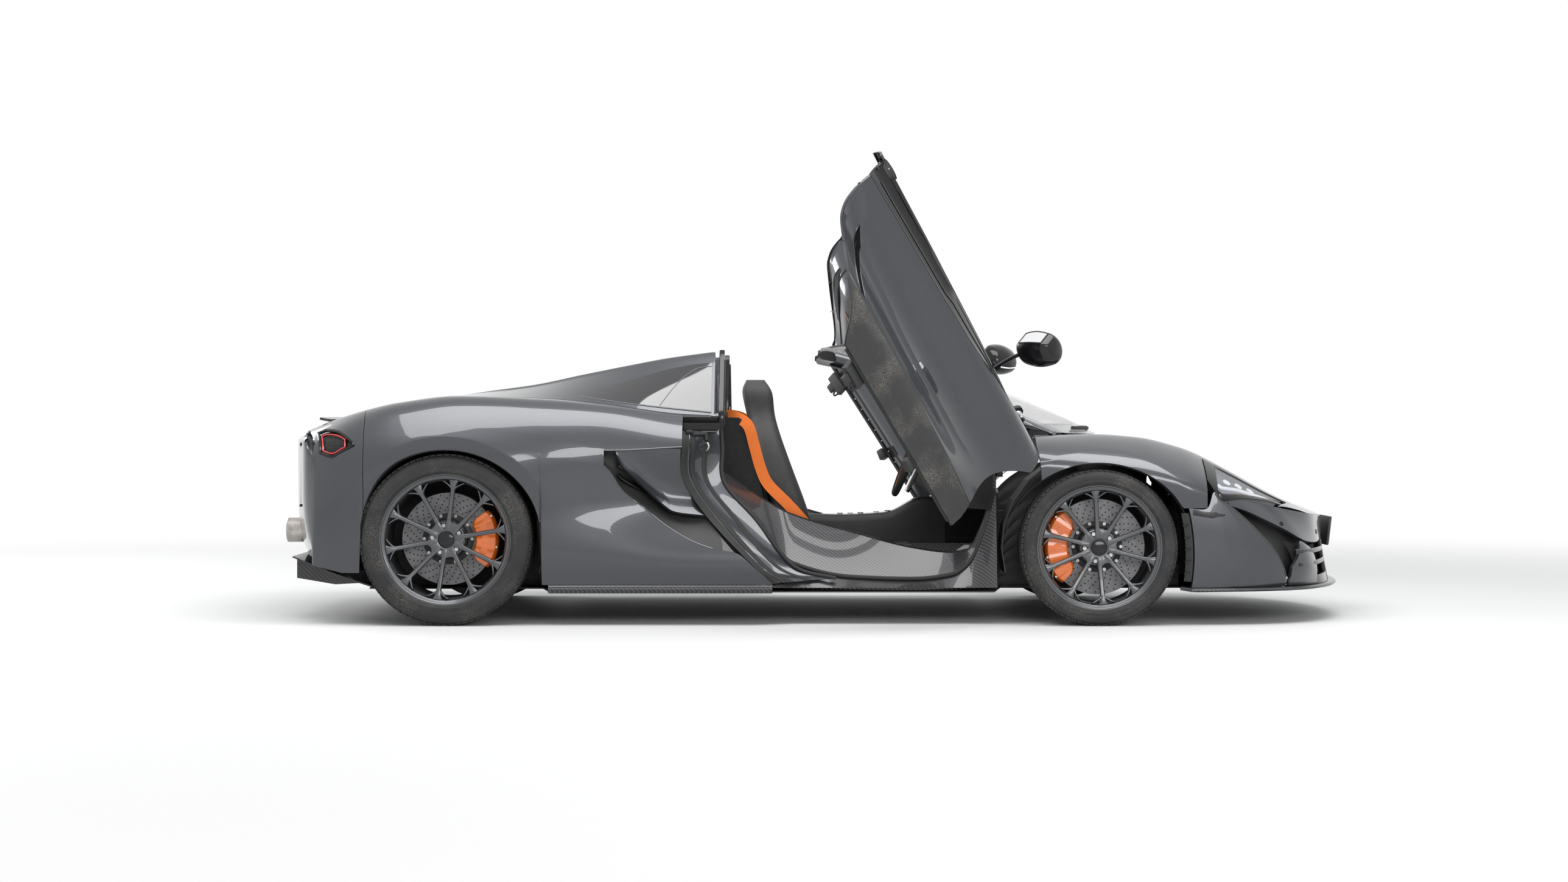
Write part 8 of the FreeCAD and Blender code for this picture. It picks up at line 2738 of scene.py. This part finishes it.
@dataclass
class Door:
    """Upswinging door: skin with its channel, tendon blade over an open slot, cladding, inside and mirror.

    Everything is made for the closed right-hand door and then swung open about the raked hinge pin.
    """

    side: Side
    edge_high: ClassVar[Curve] = Curve([(0.590, 0.899), (0.640, 0.895), (0.700, 0.890), (0.790, 0.884)])
    blade_top: ClassVar[Curve] = Curve([(-0.560, 0.829), (0.0, 0.804), (0.450, 0.781), (0.884, 0.762)])
    band_low: ClassVar[Curve] = Curve([(-0.570, 0.664), (-0.200, 0.670), (0.250, 0.678), (0.450, 0.694),
                                       (0.650, 0.709), (0.840, 0.718)])
    crease: ClassVar[Curve] = Curve([(-0.560, 0.622), (-0.466, 0.590), (-0.395, 0.545), (-0.338, 0.508),
                                     (-0.111, 0.477), (0.081, 0.448), (0.376, 0.426), (0.626, 0.404),
                                     (0.840, 0.392)])
    cladding: ClassVar[Curve] = Curve([(-0.350, 0.310), (0.0, 0.302), (0.450, 0.278), (0.900, 0.240)])
    inward: ClassVar = (0.15, 0.0, 0.5)

    @property
    def body(self) -> str:
        """Body that carries the door."""
        return f"door_{self.side.label}"

    def put(self, name: str, form: Form, look: Finish, replaces: Sequence[str] = (), **more: object) -> None:
        """Swing a closed right-hand form open, mirror it where needed and make its object.

        Args:
            name: Name of the piece, without its side.
            form: Closed right-hand form.
            look: Finish.
            replaces: Frame nodes without their side.
            more: Further settings of the object.
        """
        form = form.moved(OPEN).on(self.side)
        nodes = [f"{node}_{self.side.label}" for node in replaces]
        DRESS.put(f"{name} {self.side.label}", form, look, self.body, nodes, **more)

    def swung(self, points: np.ndarray, ways: Sequence) -> tuple[np.ndarray, np.ndarray]:
        """Points and directions of the closed right-hand door, on this door and swung open."""
        turn = np.array(OPEN)
        flip = np.array([1.0, -float(self.side.value), 1.0])
        ways = np.broadcast_to(np.asarray(ways, float), points.shape)
        return (points @ turn[:3, :3].T + turn[:3, 3]) * flip, (ways @ turn[:3, :3].T) * flip

    def repeat(self, name: str, points: np.ndarray, directions: np.ndarray, look: Finish, radius: float,
               depth: float, sides: int = 16) -> None:
        """Pegs on points of the closed right-hand door."""
        points, directions = self.swung(points, directions)
        Repeater.on_points(f"{name} {self.side.label}", points, directions, look, self.body, radius, depth,
                           sides)

    def stitch(self, name: str, line: np.ndarray, up: Sequence[float]) -> None:
        """Stitches along a line of the closed right-hand door."""
        points, ups = self.swung(line, up)
        Repeater.along(f"{name} {self.side.label}", points, np.gradient(points, axis=0), ups, Look.STITCH,
                       self.body,
                       (0.0042, 0.0013, 0.0011))

    @staticmethod
    def slot_top(s: Number) -> Number:
        """Height of the tendon blade's lower edge."""
        opening = 0.016 * np.clip((0.140 - s) / 0.110, 0, 1)
        return 0.778 + opening - 0.022 * np.maximum(0.0, s - 0.050) / 0.840

    @staticmethod
    def slot_low(s: Number) -> Number:
        """Height of the skin's upper edge, below the slot."""
        return 0.745 + 0.028 * np.clip((s - 0.050) / 0.060, 0, 1) - 0.022 * np.maximum(0.0, s - 0.050) / 0.840

    @classmethod
    def front(cls, z: Number) -> Number:
        """Front edge of the door at a height: the arch lip's line, then the shut line above it."""
        d = 1 - ((np.maximum(z, 0.200) - 0.319) / 0.347) ** 2
        return np.minimum(1.140 - 0.385 * np.sqrt(np.maximum(d, 0.0)), cls.edge_high(z))

    def row(self, height: Union[float, Callable[[Number], Number]], shares: np.ndarray,
            inset: float = 0.0) -> np.ndarray:
        """Points along the closed door's outer face from its rear to its front edge.

        Args:
            height: Height, or height as a function of the station.
            shares: Places along the row, 0 at the rear edge and 1 at the front edge.
            inset: How far the row is kept away from both edges.

        Returns:
            The points.
        """
        s = -0.5 + 1.3 * shares
        for _ in range(12):
            z = height(s) if callable(height) else np.full_like(shares, height)
            rear, front = DOOR_REAR(z) + inset, self.front(z) - inset
            s = rear + (front - rear) * shares
        return SHELL.flank(s, z)

    def sheet(self, rows: Sequence[Callable[[Number], Number]], counts: Sequence[int],
              shares: np.ndarray) -> np.ndarray:
        """Grid between height lines, with counts of cells between each pair of them."""
        out = []
        for k, count in enumerate(counts):
            for j in range(count + (k == len(counts) - 1)):
                t = j / count
                out.append(self.row(lambda s, k=k, t=t: between(rows[k](s), rows[k + 1](s), t), shares))
        return np.array(out)

    def build(self) -> None:
        """Make every piece of the door."""
        self._skin()
        self._blade()
        self._scoop()
        self._cladding()
        self._inside()
        self._latch()
        self._arm()
        DoorMirror(self).build()

    def _skin(self) -> None:
        """Painted skin with its crease, channel and scoop opening, and the black band above it."""
        shares = np.concatenate([np.linspace(0, 0.075, 7), np.linspace(0.075, 0.125, 7)[1:],
                                 np.linspace(0.125, 1, 70)[1:]])
        rows = [self.band_low, self.crease, lambda s: self.cladding(s) + 0.0024]
        counts = [26, 26]
        grid = self.sheet(rows, counts, shares)
        t = np.linspace(0, 1, 27)
        sink = np.sin(math.pi * t ** 0.55) ** 1.1 * 0.017
        fade = np.clip((0.72 - grid[26:, :, 0]) / 0.30, 0, 1)
        fade = fade * fade * (3 - 2 * fade)
        fade *= 0.55 + 0.45 * np.clip(shares / 0.09, 0, 1)
        grid[26:, :, 1] += sink[:, None] * fade
        top, low, left, right = 26 + 2, 26 + 24, 7, 12

        def keep(i: int, j: int) -> bool:
            row, column = i - 3, j - 3
            return not (top <= row < low and left <= column < right)

        folded = rolled(grid, 0.010, self.inward)
        form = facing(grid_form(folded, keep=keep), self.inward)
        self.opening = grid[top:low + 1, left:right + 1]
        self.put("door skin", form, Look.PAINT, ["door_skin"], solid=0.0022, angle=30)
        band = self.sheet([lambda s: self.slot_low(s), lambda s: self.band_low(s) + 0.003], [12], shares)
        t = np.linspace(0, 1, 13)[:, None]
        band[..., 1] += 0.013 * np.sin(math.pi * t) ** 0.8
        folded = rolled(band, 0.010, self.inward)
        self.put("door band", surface(folded, self.inward), Look.GLOSS, solid=0.0022, angle=34)
        # Lighter pipe along the middle of the black band: a painted highlight on the gutter's ridge.
        ridge = band[7] + np.array([0.0, -0.002, 0.0])
        self.put("door band line", pipe(ridge[3:], 0.0022, 8), Look.WHEEL)
        bead = band[0][2:] + np.array([0.0, 0.014, -0.008])
        self.put("slot seal", pipe(bead, 0.0045, 8), Look.SEAL)

    def _blade(self) -> None:
        """Tendon blade: painted outside, black below, with the bracket that carries its rear tip."""
        shares = np.linspace(0, 1, 90)
        top = self.row(self.blade_top, shares)
        low = self.row(self.slot_top, shares)
        crest = top + np.array([0.0, 0.046, 0.004])
        soft = top + np.array([0.0, 0.014, 0.0065])
        edge = top + np.array([0.0, 0.0025, 0.0025])
        waist = between(top, low, 0.52)
        grid = np.array([crest, between(crest, soft, 0.5) + [0, 0, 0.0025], soft, edge, top,
                         between(top, waist, 0.33),
                         between(top, waist, 0.66), waist])
        folded = rolled(grid, 0.009, self.inward, "NSWE")
        self.put("door blade", surface(folded, self.inward), Look.PAINT, solid=0.0022, angle=34)
        under = np.array([waist + [0, 0.0025, 0.0012], waist + [0, 0.0045, -0.002], low + [0, 0.0105, 0.002],
                          low + [0, 0.0125, 0.0], low + [0, 0.0150, 0.0012], low + [0, 0.0165, 0.014],
                          waist + [0, 0.0170, 0.004], top + [0, 0.0190, -0.008],
                          crest + [0, -0.006, -0.0065]])
        form = grid_form(under[:, 2:-2])
        self.put("door blade underside", form, Look.GLOSS, solid=0.0018, angle=40)
        s = np.linspace(0.110, 0.830, 40)
        z = self.slot_top(s)
        web = np.stack([SHELL.flank(s, z + 0.010) + [0, 0.006, 0], SHELL.flank(s, z - 0.004) + [0, 0.009, 0],
                        SHELL.flank(s, z - 0.022) + [0, 0.006, 0]])
        self.put("blade joint", surface(web, self.inward), Look.GLOSS, solid=0.006)
        s, z = -0.490, 0.778
        p = SHELL.flank(np.array([s]), np.array([z]))[0]
        rings = []
        for t in np.linspace(0, 1, 14):
            width = 0.020 + 0.030 * abs(2 * t - 1) ** 1.6
            centre = p + np.array([0.012 * t, 0.024 + 0.004 * math.sin(math.pi * t), 0.030 - 0.082 * t])
            turns = np.linspace(0, 2 * math.pi, 20, endpoint=False)
            rings.append(centre + np.stack([width * np.cos(turns), 0.013 * np.sin(turns), np.zeros(20)], 1))
        self.put("blade bracket", loft(rings), Look.PLASTIC, angle=40)
        screws = p + np.array([[-0.014, 0.0115, 0.012], [0.020, 0.0115, -0.040]])
        self.repeat("bracket screws", screws, np.array([0.0, -1.0, 0.0]), Look.STEEL, 0.0045, 0.003, 6)

    def _scoop(self) -> None:
        """Walled duct behind the opening in the skin, with a paler leaf on its rear wall as painted light."""
        ring = np.concatenate([self.opening[0], self.opening[1:, -1], self.opening[-1, -2::-1],
                               self.opening[-2:0:-1, 0]])
        centre = ring.mean(axis=0)
        rings = []
        for depth, draw in ((0.0008, 0.0), (0.006, 0.0), (0.020, 0.02), (0.036, 0.08)):
            rings.append(between(ring, centre, draw) + np.array([0.0, depth, 0.0]))
        wall = grid_form(np.array(rings), around=True)
        form = Form(wall.vertices, wall.faces + [tuple(3 * len(ring) + k for k in range(len(ring)))])
        self.put("door scoop", form, Look.PLASTIC, solid=0.0018, angle=40)
        leaf = self.opening[:, :3] + np.array([0.0, 0.0125, 0.0])
        # Paler leaf on the scoop's rear wall: painted light where the wall is lit.
        leaf[:, 1:, 1] += np.array([0.006, 0.016])[None]
        self.put("scoop leaf", surface(leaf, self.inward), Look.WHEEL, solid=0.0018)
        self.put("scoop frame", pipe(np.concatenate([ring, ring[:1]]) + [0.0, -0.0004, 0.0], 0.0022, 8),
                 Look.PAINT)

    def _cladding(self) -> None:
        """Splashed lower cladding with its pressed line and rounded edges."""
        shares = np.linspace(0, 1, 84)
        grid = self.sheet([self.cladding, lambda s: np.full_like(s, 0.215),
                           lambda s: np.full_like(s, 0.142)], [12, 10],
                          shares)
        press = np.exp(-((np.linspace(0, 1, 23) - 0.62) / 0.05) ** 2) * 0.0045
        grid[..., 1] += press[:, None]
        grid[:, 0, 0] += 0.004
        folded = rolled(grid, 0.012, self.inward)
        self.put("door cladding", surface(folded, self.inward), Look.CLADDING, ["door_cladding"],
                 solid=0.0022, angle=34)
        line = grid[-1] + np.array([0.0, 0.012, -0.001])
        self.put("lower seal", pipe(line[2:-2], 0.0062, 10), Look.SEAL)

    def _inside(self) -> None:
        """Painted inner frame, leather panel, arm rest, pull, speaker and seal."""
        shares = np.linspace(0, 1, 70)
        levels = np.concatenate([np.linspace(0.690, 0.610, 9), np.linspace(0.610, 0.215, 20)[1:],
                                 np.linspace(0.215, 0.142, 8)[1:]])
        rows = []
        for z in levels:
            depth = float(np.interp(z, (0.142, 0.215, 0.300, 0.370, 0.530, 0.610, 0.690),
                                    (0.0059, 0.056, 0.058, 0.056, 0.056, 0.058, 0.0085)))
            near = np.minimum(shares, 1 - shares) * 11
            end = min(depth, 0.0059)
            reach = np.interp(near, (0.0, 1.0, 2.0), (end, min(depth, 0.034), depth))
            p = self.row(z, shares)
            rows.append(p + np.stack([np.zeros_like(reach), reach, np.zeros_like(reach)], 1))
        frame_grid = np.array(rows)
        outward = (0.15, -3.0, 0.5)
        form = surface(frame_grid, outward)
        self.put("door inner frame", form, Look.PAINT, ["door_liner"], solid=0.002, angle=40)
        card = frame_grid[9:-9, 14:-12].copy()
        rows_n, cols_n = card.shape[:2]
        v = np.linspace(0, 1, rows_n)[:, None]
        h = np.linspace(0, 1, cols_n)[None]
        puff = 0.0035 + 0.006 * (np.sin(math.pi * v) * np.sin(math.pi * h)).clip(0) ** 0.35
        card[..., 1] += puff
        self.put("door card", surface(card, outward), Look.LEATHER, solid=0.003, angle=44)
        split = card[int(rows_n * 0.42)] + np.array([0.0, 0.0012, 0.0])
        self.put("door card seam", pipe(split, 0.0018, 8), Look.SEAL)
        fine = refined(split, 3)
        self.stitch("door stitches", fine + np.array([0.0, 0.0022, -0.008]), (0.0, 1.0, 0.0))
        lower = card[int(rows_n * 0.45):-1, 2:-2] + np.array([0.0, 0.0020, 0.0])
        self.put("door card insert", surface(lower, outward), Look.SUEDE, solid=0.003)
        rest = between(card[int(rows_n * 0.30), 8], card[int(rows_n * 0.30), 34],
                       np.linspace(0, 1, 24)[:, None])
        swell = np.sin(math.pi * np.linspace(0, 1, 24)) ** 0.5
        rest = rest + np.stack([np.zeros(24), 0.008 + 0.012 * swell, np.zeros(24)], 1)
        self.put("door arm rest", pipe(rest, 0.012 + 0.017 * swell, 14, flat=0.7), Look.LEATHER, angle=60)
        pull = card[int(rows_n * 0.16), 30]
        loop = bezier([pull + [-0.075, 0.002, 0.0], pull + [-0.050, 0.032, 0.003],
                       pull + [0.050, 0.034, 0.003],
                       pull + [0.075, 0.002, 0.0]], 26)
        self.put("door pull", pipe(loop, 0.0075, 12, flat=0.7), Look.ALLOY)
        lever = card[int(rows_n * 0.16), 18]
        self.put("door lever",
                 pipe(bezier([lever, lever + [0.03, 0.014, 0.004], lever + [0.075, 0.012, 0.008]], 14),
                                    0.006, 10, flat=0.7), Look.ALLOY)
        middle = card[int(rows_n * 0.66), 35]
        turns = np.linspace(0, 2 * math.pi, 49)
        ring = middle + np.stack([0.075 * np.cos(turns), np.full(49, 0.010), 0.075 * np.sin(turns)], 1)
        self.put("speaker ring", pipe(ring, 0.004, 10), Look.GLOSS)
        disc = turned([(0.0, 0.004), (0.072, 0.004), (0.072, 0.009), (0.03, 0.012), (0.0, 0.0125)], middle,
                      48)
        self.put("speaker cover", disc, Look.PLASTIC, angle=40)
        seal = np.concatenate([frame_grid[6, 8:-8], frame_grid[6:-5, -9], frame_grid[-5, -9:7:-1],
                               frame_grid[-5:5:-1, 8]])
        seal = np.concatenate([seal, seal[:1]]) + np.array([0.0, -0.001, 0.0])
        self.put("door seal", pipe(distinct(seal), 0.0055, 10), Look.SEAL)
        screws = frame_grid[-2, 5:-5:5] + np.array([0.0, 0.001, -0.001])
        self.repeat("door screws", screws, np.array([0.0, 0.75, -0.66]), Look.STEEL, 0.0042, 0.0045, 12)

    def _latch(self) -> None:
        """Latch at the rear lower corner, its catch and the rubber stops."""
        base = np.array([-0.015, -0.868, 0.122])
        box = block((-0.060, -0.014, -0.022), (0.050, 0.014, 0.030))
        latch = box.joined(block((-0.038, -0.008, -0.058), (0.006, 0.008, -0.020)))
        self.put("door latch", latch.moved(Matrix.Translation(Vector(base))), Look.PLASTIC, bevel=0.005)
        hook = bezier([base + [0.012, 0.0, -0.020], base + [0.016, 0.0, -0.046], base + [0.030, 0.0, -0.046],
                       base + [0.036, 0.0, -0.020]], 18)
        self.put("latch hook", pipe(hook, 0.0045, 10), Look.BLACK_METAL)
        stop = block((-0.026, -0.020, -0.018), (0.026, 0.020, 0.018)).moved(
            Matrix.Translation(Vector((0.445, -0.866, 0.128))) @ Matrix.Rotation(0.2, 4, "Y"))
        self.put("door stop", stop, Look.PLASTIC, bevel=0.006)
        studs = np.array([SHELL.flank(np.array([DOOR_REAR(z) + 0.004]), np.array([z]))[0] + [0, 0.012, 0]
                          for z in (0.420, 0.620, 0.720)])
        self.repeat("door studs", studs, np.array([-1.0, 0.1, 0.0]), Look.SEAL, 0.006, 0.012, 16)

    def _arm(self) -> None:
        """Hinge arm with its eye."""
        low, high = HINGE + HINGE_ALONG * 0.016, HINGE + HINGE_ALONG * 0.060
        turns = np.linspace(0, 2 * math.pi, 40, endpoint=False)
        side = np.cross(HINGE_ALONG, UP)
        side /= np.linalg.norm(side)
        up = np.cross(side, HINGE_ALONG)
        rings = []
        for point, radius in ((low, 0.0092), (low, 0.0158), (low + HINGE_ALONG * 0.0012, 0.0170),
                              (high - HINGE_ALONG * 0.0012, 0.0170), (high, 0.0158), (high, 0.0092),
                              (low, 0.0092)):
            rings.append(point + radius * (np.cos(turns)[:, None] * side + np.sin(turns)[:, None] * up))
        self.put("hinge eye", grid_form(np.array(rings), around=True), Look.ALLOY, angle=40)
        start = between(low, high, 0.5) + np.array([-0.010, -0.012, -0.006])
        path = bezier([start + [-0.010, -0.002, -0.004], [0.775, -0.772, 0.806], [0.725, -0.792, 0.768]], 24)
        self.put("hinge arm", pipe(path, 0.0105, 16), Look.ALLOY)


@dataclass
class DoorMirror:
    """Door mirror: stalk, shell, glass and indicator line."""

    door: Door

    def build(self) -> None:
        """Make the mirror."""
        s = np.array([0.520])
        seat = SHELL.flank(s, Door.blade_top(s))[0]
        foot = seat + np.array([0.0, 0.024, 0.0036])
        path = bezier([foot, foot + [0.0, -0.004, 0.014], [0.500, -0.880, 0.842], [0.496, -0.940, 0.872]], 26)
        width = np.interp(np.linspace(0, 1, 26), [0, 0.15, 0.6, 1.0], [0.0100, 0.0085, 0.0085, 0.0098])
        self.door.put("mirror stalk", pipe(path, width, 16, flat=0.8), Look.GLOSS)
        base = block((0.470, foot[1] - 0.014, foot[2] - 0.004), (0.560, foot[1] + 0.012, foot[2] + 0.0035))
        self.door.put("mirror foot", base, Look.GLOSS, bevel=0.003)
        # y, half height, half depth
        table = np.array([(-0.903, 0.030, 0.045), (-0.905, 0.040, 0.060), (-0.930, 0.058, 0.092),
                          (-0.990, 0.066, 0.104), (-1.050, 0.056, 0.092), (-1.074, 0.042, 0.070),
                          (-1.078, 0.034, 0.058)])
        places = -np.linspace(0.903, 1.078, 26)
        fine = np.stack([Curve([(-r[0], r[k]) for r in table])(-places) for k in (1, 2)], 1)
        shell, rim = [], []
        for y, (h, w) in zip(places, fine):
            turns = np.linspace(0, 2 * math.pi, 40, endpoint=False)
            x = 0.500 + 0.75 * w * np.cos(turns)
            flat = 0.500 - 0.75 * w * 0.80
            x = np.maximum(x, flat)
            shell.append(np.stack([x, np.full(40, y), 0.898 + h * np.sin(turns)], 1))
            rim.append((flat, y, h))
        self.door.put("mirror shell", loft(shell), Look.GLOSS, ["mirror"], angle=40)
        pane = []
        for flat, y, h in rim[4:-4]:
            reach = h * 0.52
            pane.append([[flat - 0.0012, y, 0.898 + reach * t] for t in np.linspace(-1, 1, 7)])
        self.door.put("mirror glass", surface(np.array(pane), (0.6, -0.99, 0.898)), Look.MIRROR, solid=0.001)
        self.door.put("mirror rim", pipe(distinct(rim_of(np.array(pane))), 0.0026, 8), Look.PLASTIC)
        line = np.array([[0.500 + 0.75 * w * 0.93, y, 0.898 + h * 0.30]
                         for y, (h, w) in zip(places[5:-3], fine[5:-3])])
        self.door.put("mirror indicator", pipe(line, 0.0035, 8), Look.LAMP_LIGHT)


# Pieces shown as they are built

KEPT: dict[str, Finish] = {
    "front_suspension": Look.BLACK_METAL, "rear_suspension": Look.BLACK_METAL, "knuckle_right": Look.ALLOY,
    "knuckle_left": Look.ALLOY, "engine": Look.ALLOY, "undertray": Look.PLASTIC, "arch_liners": Look.PLASTIC,
    "bulkheads": Look.CARBON, "front_boot": Look.PLASTIC, "hinge_pins": Look.BLACK_METAL,
    "rear_window": Look.GLASS, "rear_grille": Look.PLASTIC, "cowl": Look.PLASTIC,
}


# Studio

@dataclass
class Studio:
    """Pale floor, soft lights and the camera."""

    LENS: ClassVar[float] = 62.0
    CAMERA: ClassVar[tuple[float, float, float]] = (-0.148, -11.95, 0.865)
    HORIZON_SHIFT: ClassVar[float] = -44.5 / 2576
    FLOOR: ClassVar[tuple[float, float, float]] = (0.62, 0.62, 0.61)

    def build(self) -> None:
        """Make the whole studio."""
        self._floor()
        self._world()
        self._lights()
        self._camera()
        scene = bpy.context.scene
        scene.view_settings.view_transform = "Standard"
        scene.view_settings.look = "None"

    def _floor(self) -> None:
        """Large pale floor under the wheels."""
        mesh = bpy.data.meshes.new("floor")
        corners = [(x, y, -0.0006) for x, y in ((-30, -30), (30, -30), (30, 30), (-30, 30))]
        mesh.from_pydata(corners, [], [(0, 1, 2, 3)])
        finish = Finish("studio floor", "floor", self.FLOOR, 0.0, 0.62, grain=0.05, grain_scale=90.0,
                        fade=(2.6, 8.5))
        mesh.materials.append(finish.material())
        obj = bpy.data.objects.new("floor", mesh)
        bpy.context.scene.collection.objects.link(obj)

    def _world(self) -> None:
        """Grey studio light with a white background for the camera and for what glass and gloss see."""
        world = bpy.data.worlds.new("studio")
        bpy.context.scene.world = world
        world.use_nodes = True
        tree = world.node_tree
        tree.nodes.clear()
        path = tree.nodes.new("ShaderNodeLightPath")
        grounds = []
        for color, strength in (((0.93, 0.96, 1.0, 1.0), 0.62), ((1.0, 1.0, 1.0, 1.0), 1.0)):
            ground = tree.nodes.new("ShaderNodeBackground")
            ground.inputs["Color"].default_value = color
            ground.inputs["Strength"].default_value = strength
            grounds.append(ground)
        seen = path.outputs["Is Camera Ray"]
        for ray in ("Is Transmission Ray", "Is Glossy Ray"):
            either = tree.nodes.new("ShaderNodeMath")
            either.operation = "MAXIMUM"
            tree.links.new(seen, either.inputs[0])
            tree.links.new(path.outputs[ray], either.inputs[1])
            seen = either.outputs[0]
        mix = tree.nodes.new("ShaderNodeMixShader")
        tree.links.new(seen, mix.inputs["Fac"])
        tree.links.new(grounds[0].outputs[0], mix.inputs[1])
        tree.links.new(grounds[1].outputs[0], mix.inputs[2])
        out = tree.nodes.new("ShaderNodeOutputWorld")
        tree.links.new(mix.outputs[0], out.inputs["Surface"])

    def _lights(self) -> None:
        """Overhead softbox, a long side strip and a rim light."""
        for name, place, size, power, aim in (
                ("overhead", (0.3, -2.0, 5.2), (7.0, 3.2), 420.0, (0.0, 0.0, 0.6)),
                ("side", (2.5, -7.5, 2.6), (5.5, 1.6), 210.0, (0.0, 0.0, 0.7)),
                ("rear", (-6.0, 3.5, 3.2), (2.4, 2.4), 190.0, (-1.0, 0.0, 0.6))):
            light = bpy.data.lights.new(name, "AREA")
            light.shape = "RECTANGLE"
            light.size, light.size_y = size
            light.energy = power
            obj = bpy.data.objects.new(name, light)
            obj.location = place
            obj.rotation_euler = (Vector(aim) - Vector(place)).to_track_quat("-Z", "Y").to_euler()
            bpy.context.scene.collection.objects.link(obj)

    def _camera(self) -> None:
        """Camera at the photograph's place."""
        camera = bpy.data.cameras.new("photo")
        camera.lens = self.LENS
        camera.sensor_width = 36.0
        camera.shift_y = self.HORIZON_SHIFT
        camera.clip_end = 200.0
        obj = bpy.data.objects.new("photo", camera)
        obj.location = self.CAMERA
        obj.rotation_euler = (math.pi / 2, 0.0, 0.0)
        bpy.context.scene.collection.objects.link(obj)
        bpy.context.scene.camera = obj


def main() -> None:
    """Build every piece in order, then keep the rest of the frame's nodes in their finishes."""
    logging.basicConfig(level=logging.INFO, format="%(name)s %(message)s")
    for axle in Axle:
        for side in Side:
            Wheel(axle, side).build()
            Brake(axle, side).build()
    LOG.info("wheels done, %d objects", DRESS.made)
    FrontWing().build()
    HeadLamp().build()
    FrontLid().build()
    Nose().build()
    LOG.info("front done, %d objects", DRESS.made)
    RearWing().build()
    RearDeck().build()
    Tail().build()
    DoorJamb().build()
    for axle in Axle:
        WheelHouse(axle).build()
    LOG.info("rear done, %d objects", DRESS.made)
    Screen().build()
    Tub().build()
    Seats().build()
    Cabin().build()
    Hoops().build()
    LOG.info("cabin done, %d objects", DRESS.made)
    for side in Side:
        Door(side).build()
    LOG.info("doors done, %d objects", DRESS.made)
    for node, look in KEPT.items():
        DRESS.keep(node, look)
    Studio().build()
    LOG.info("%d objects in all", DRESS.made)
    write_sizes()


if __name__ == "__main__":
    main()
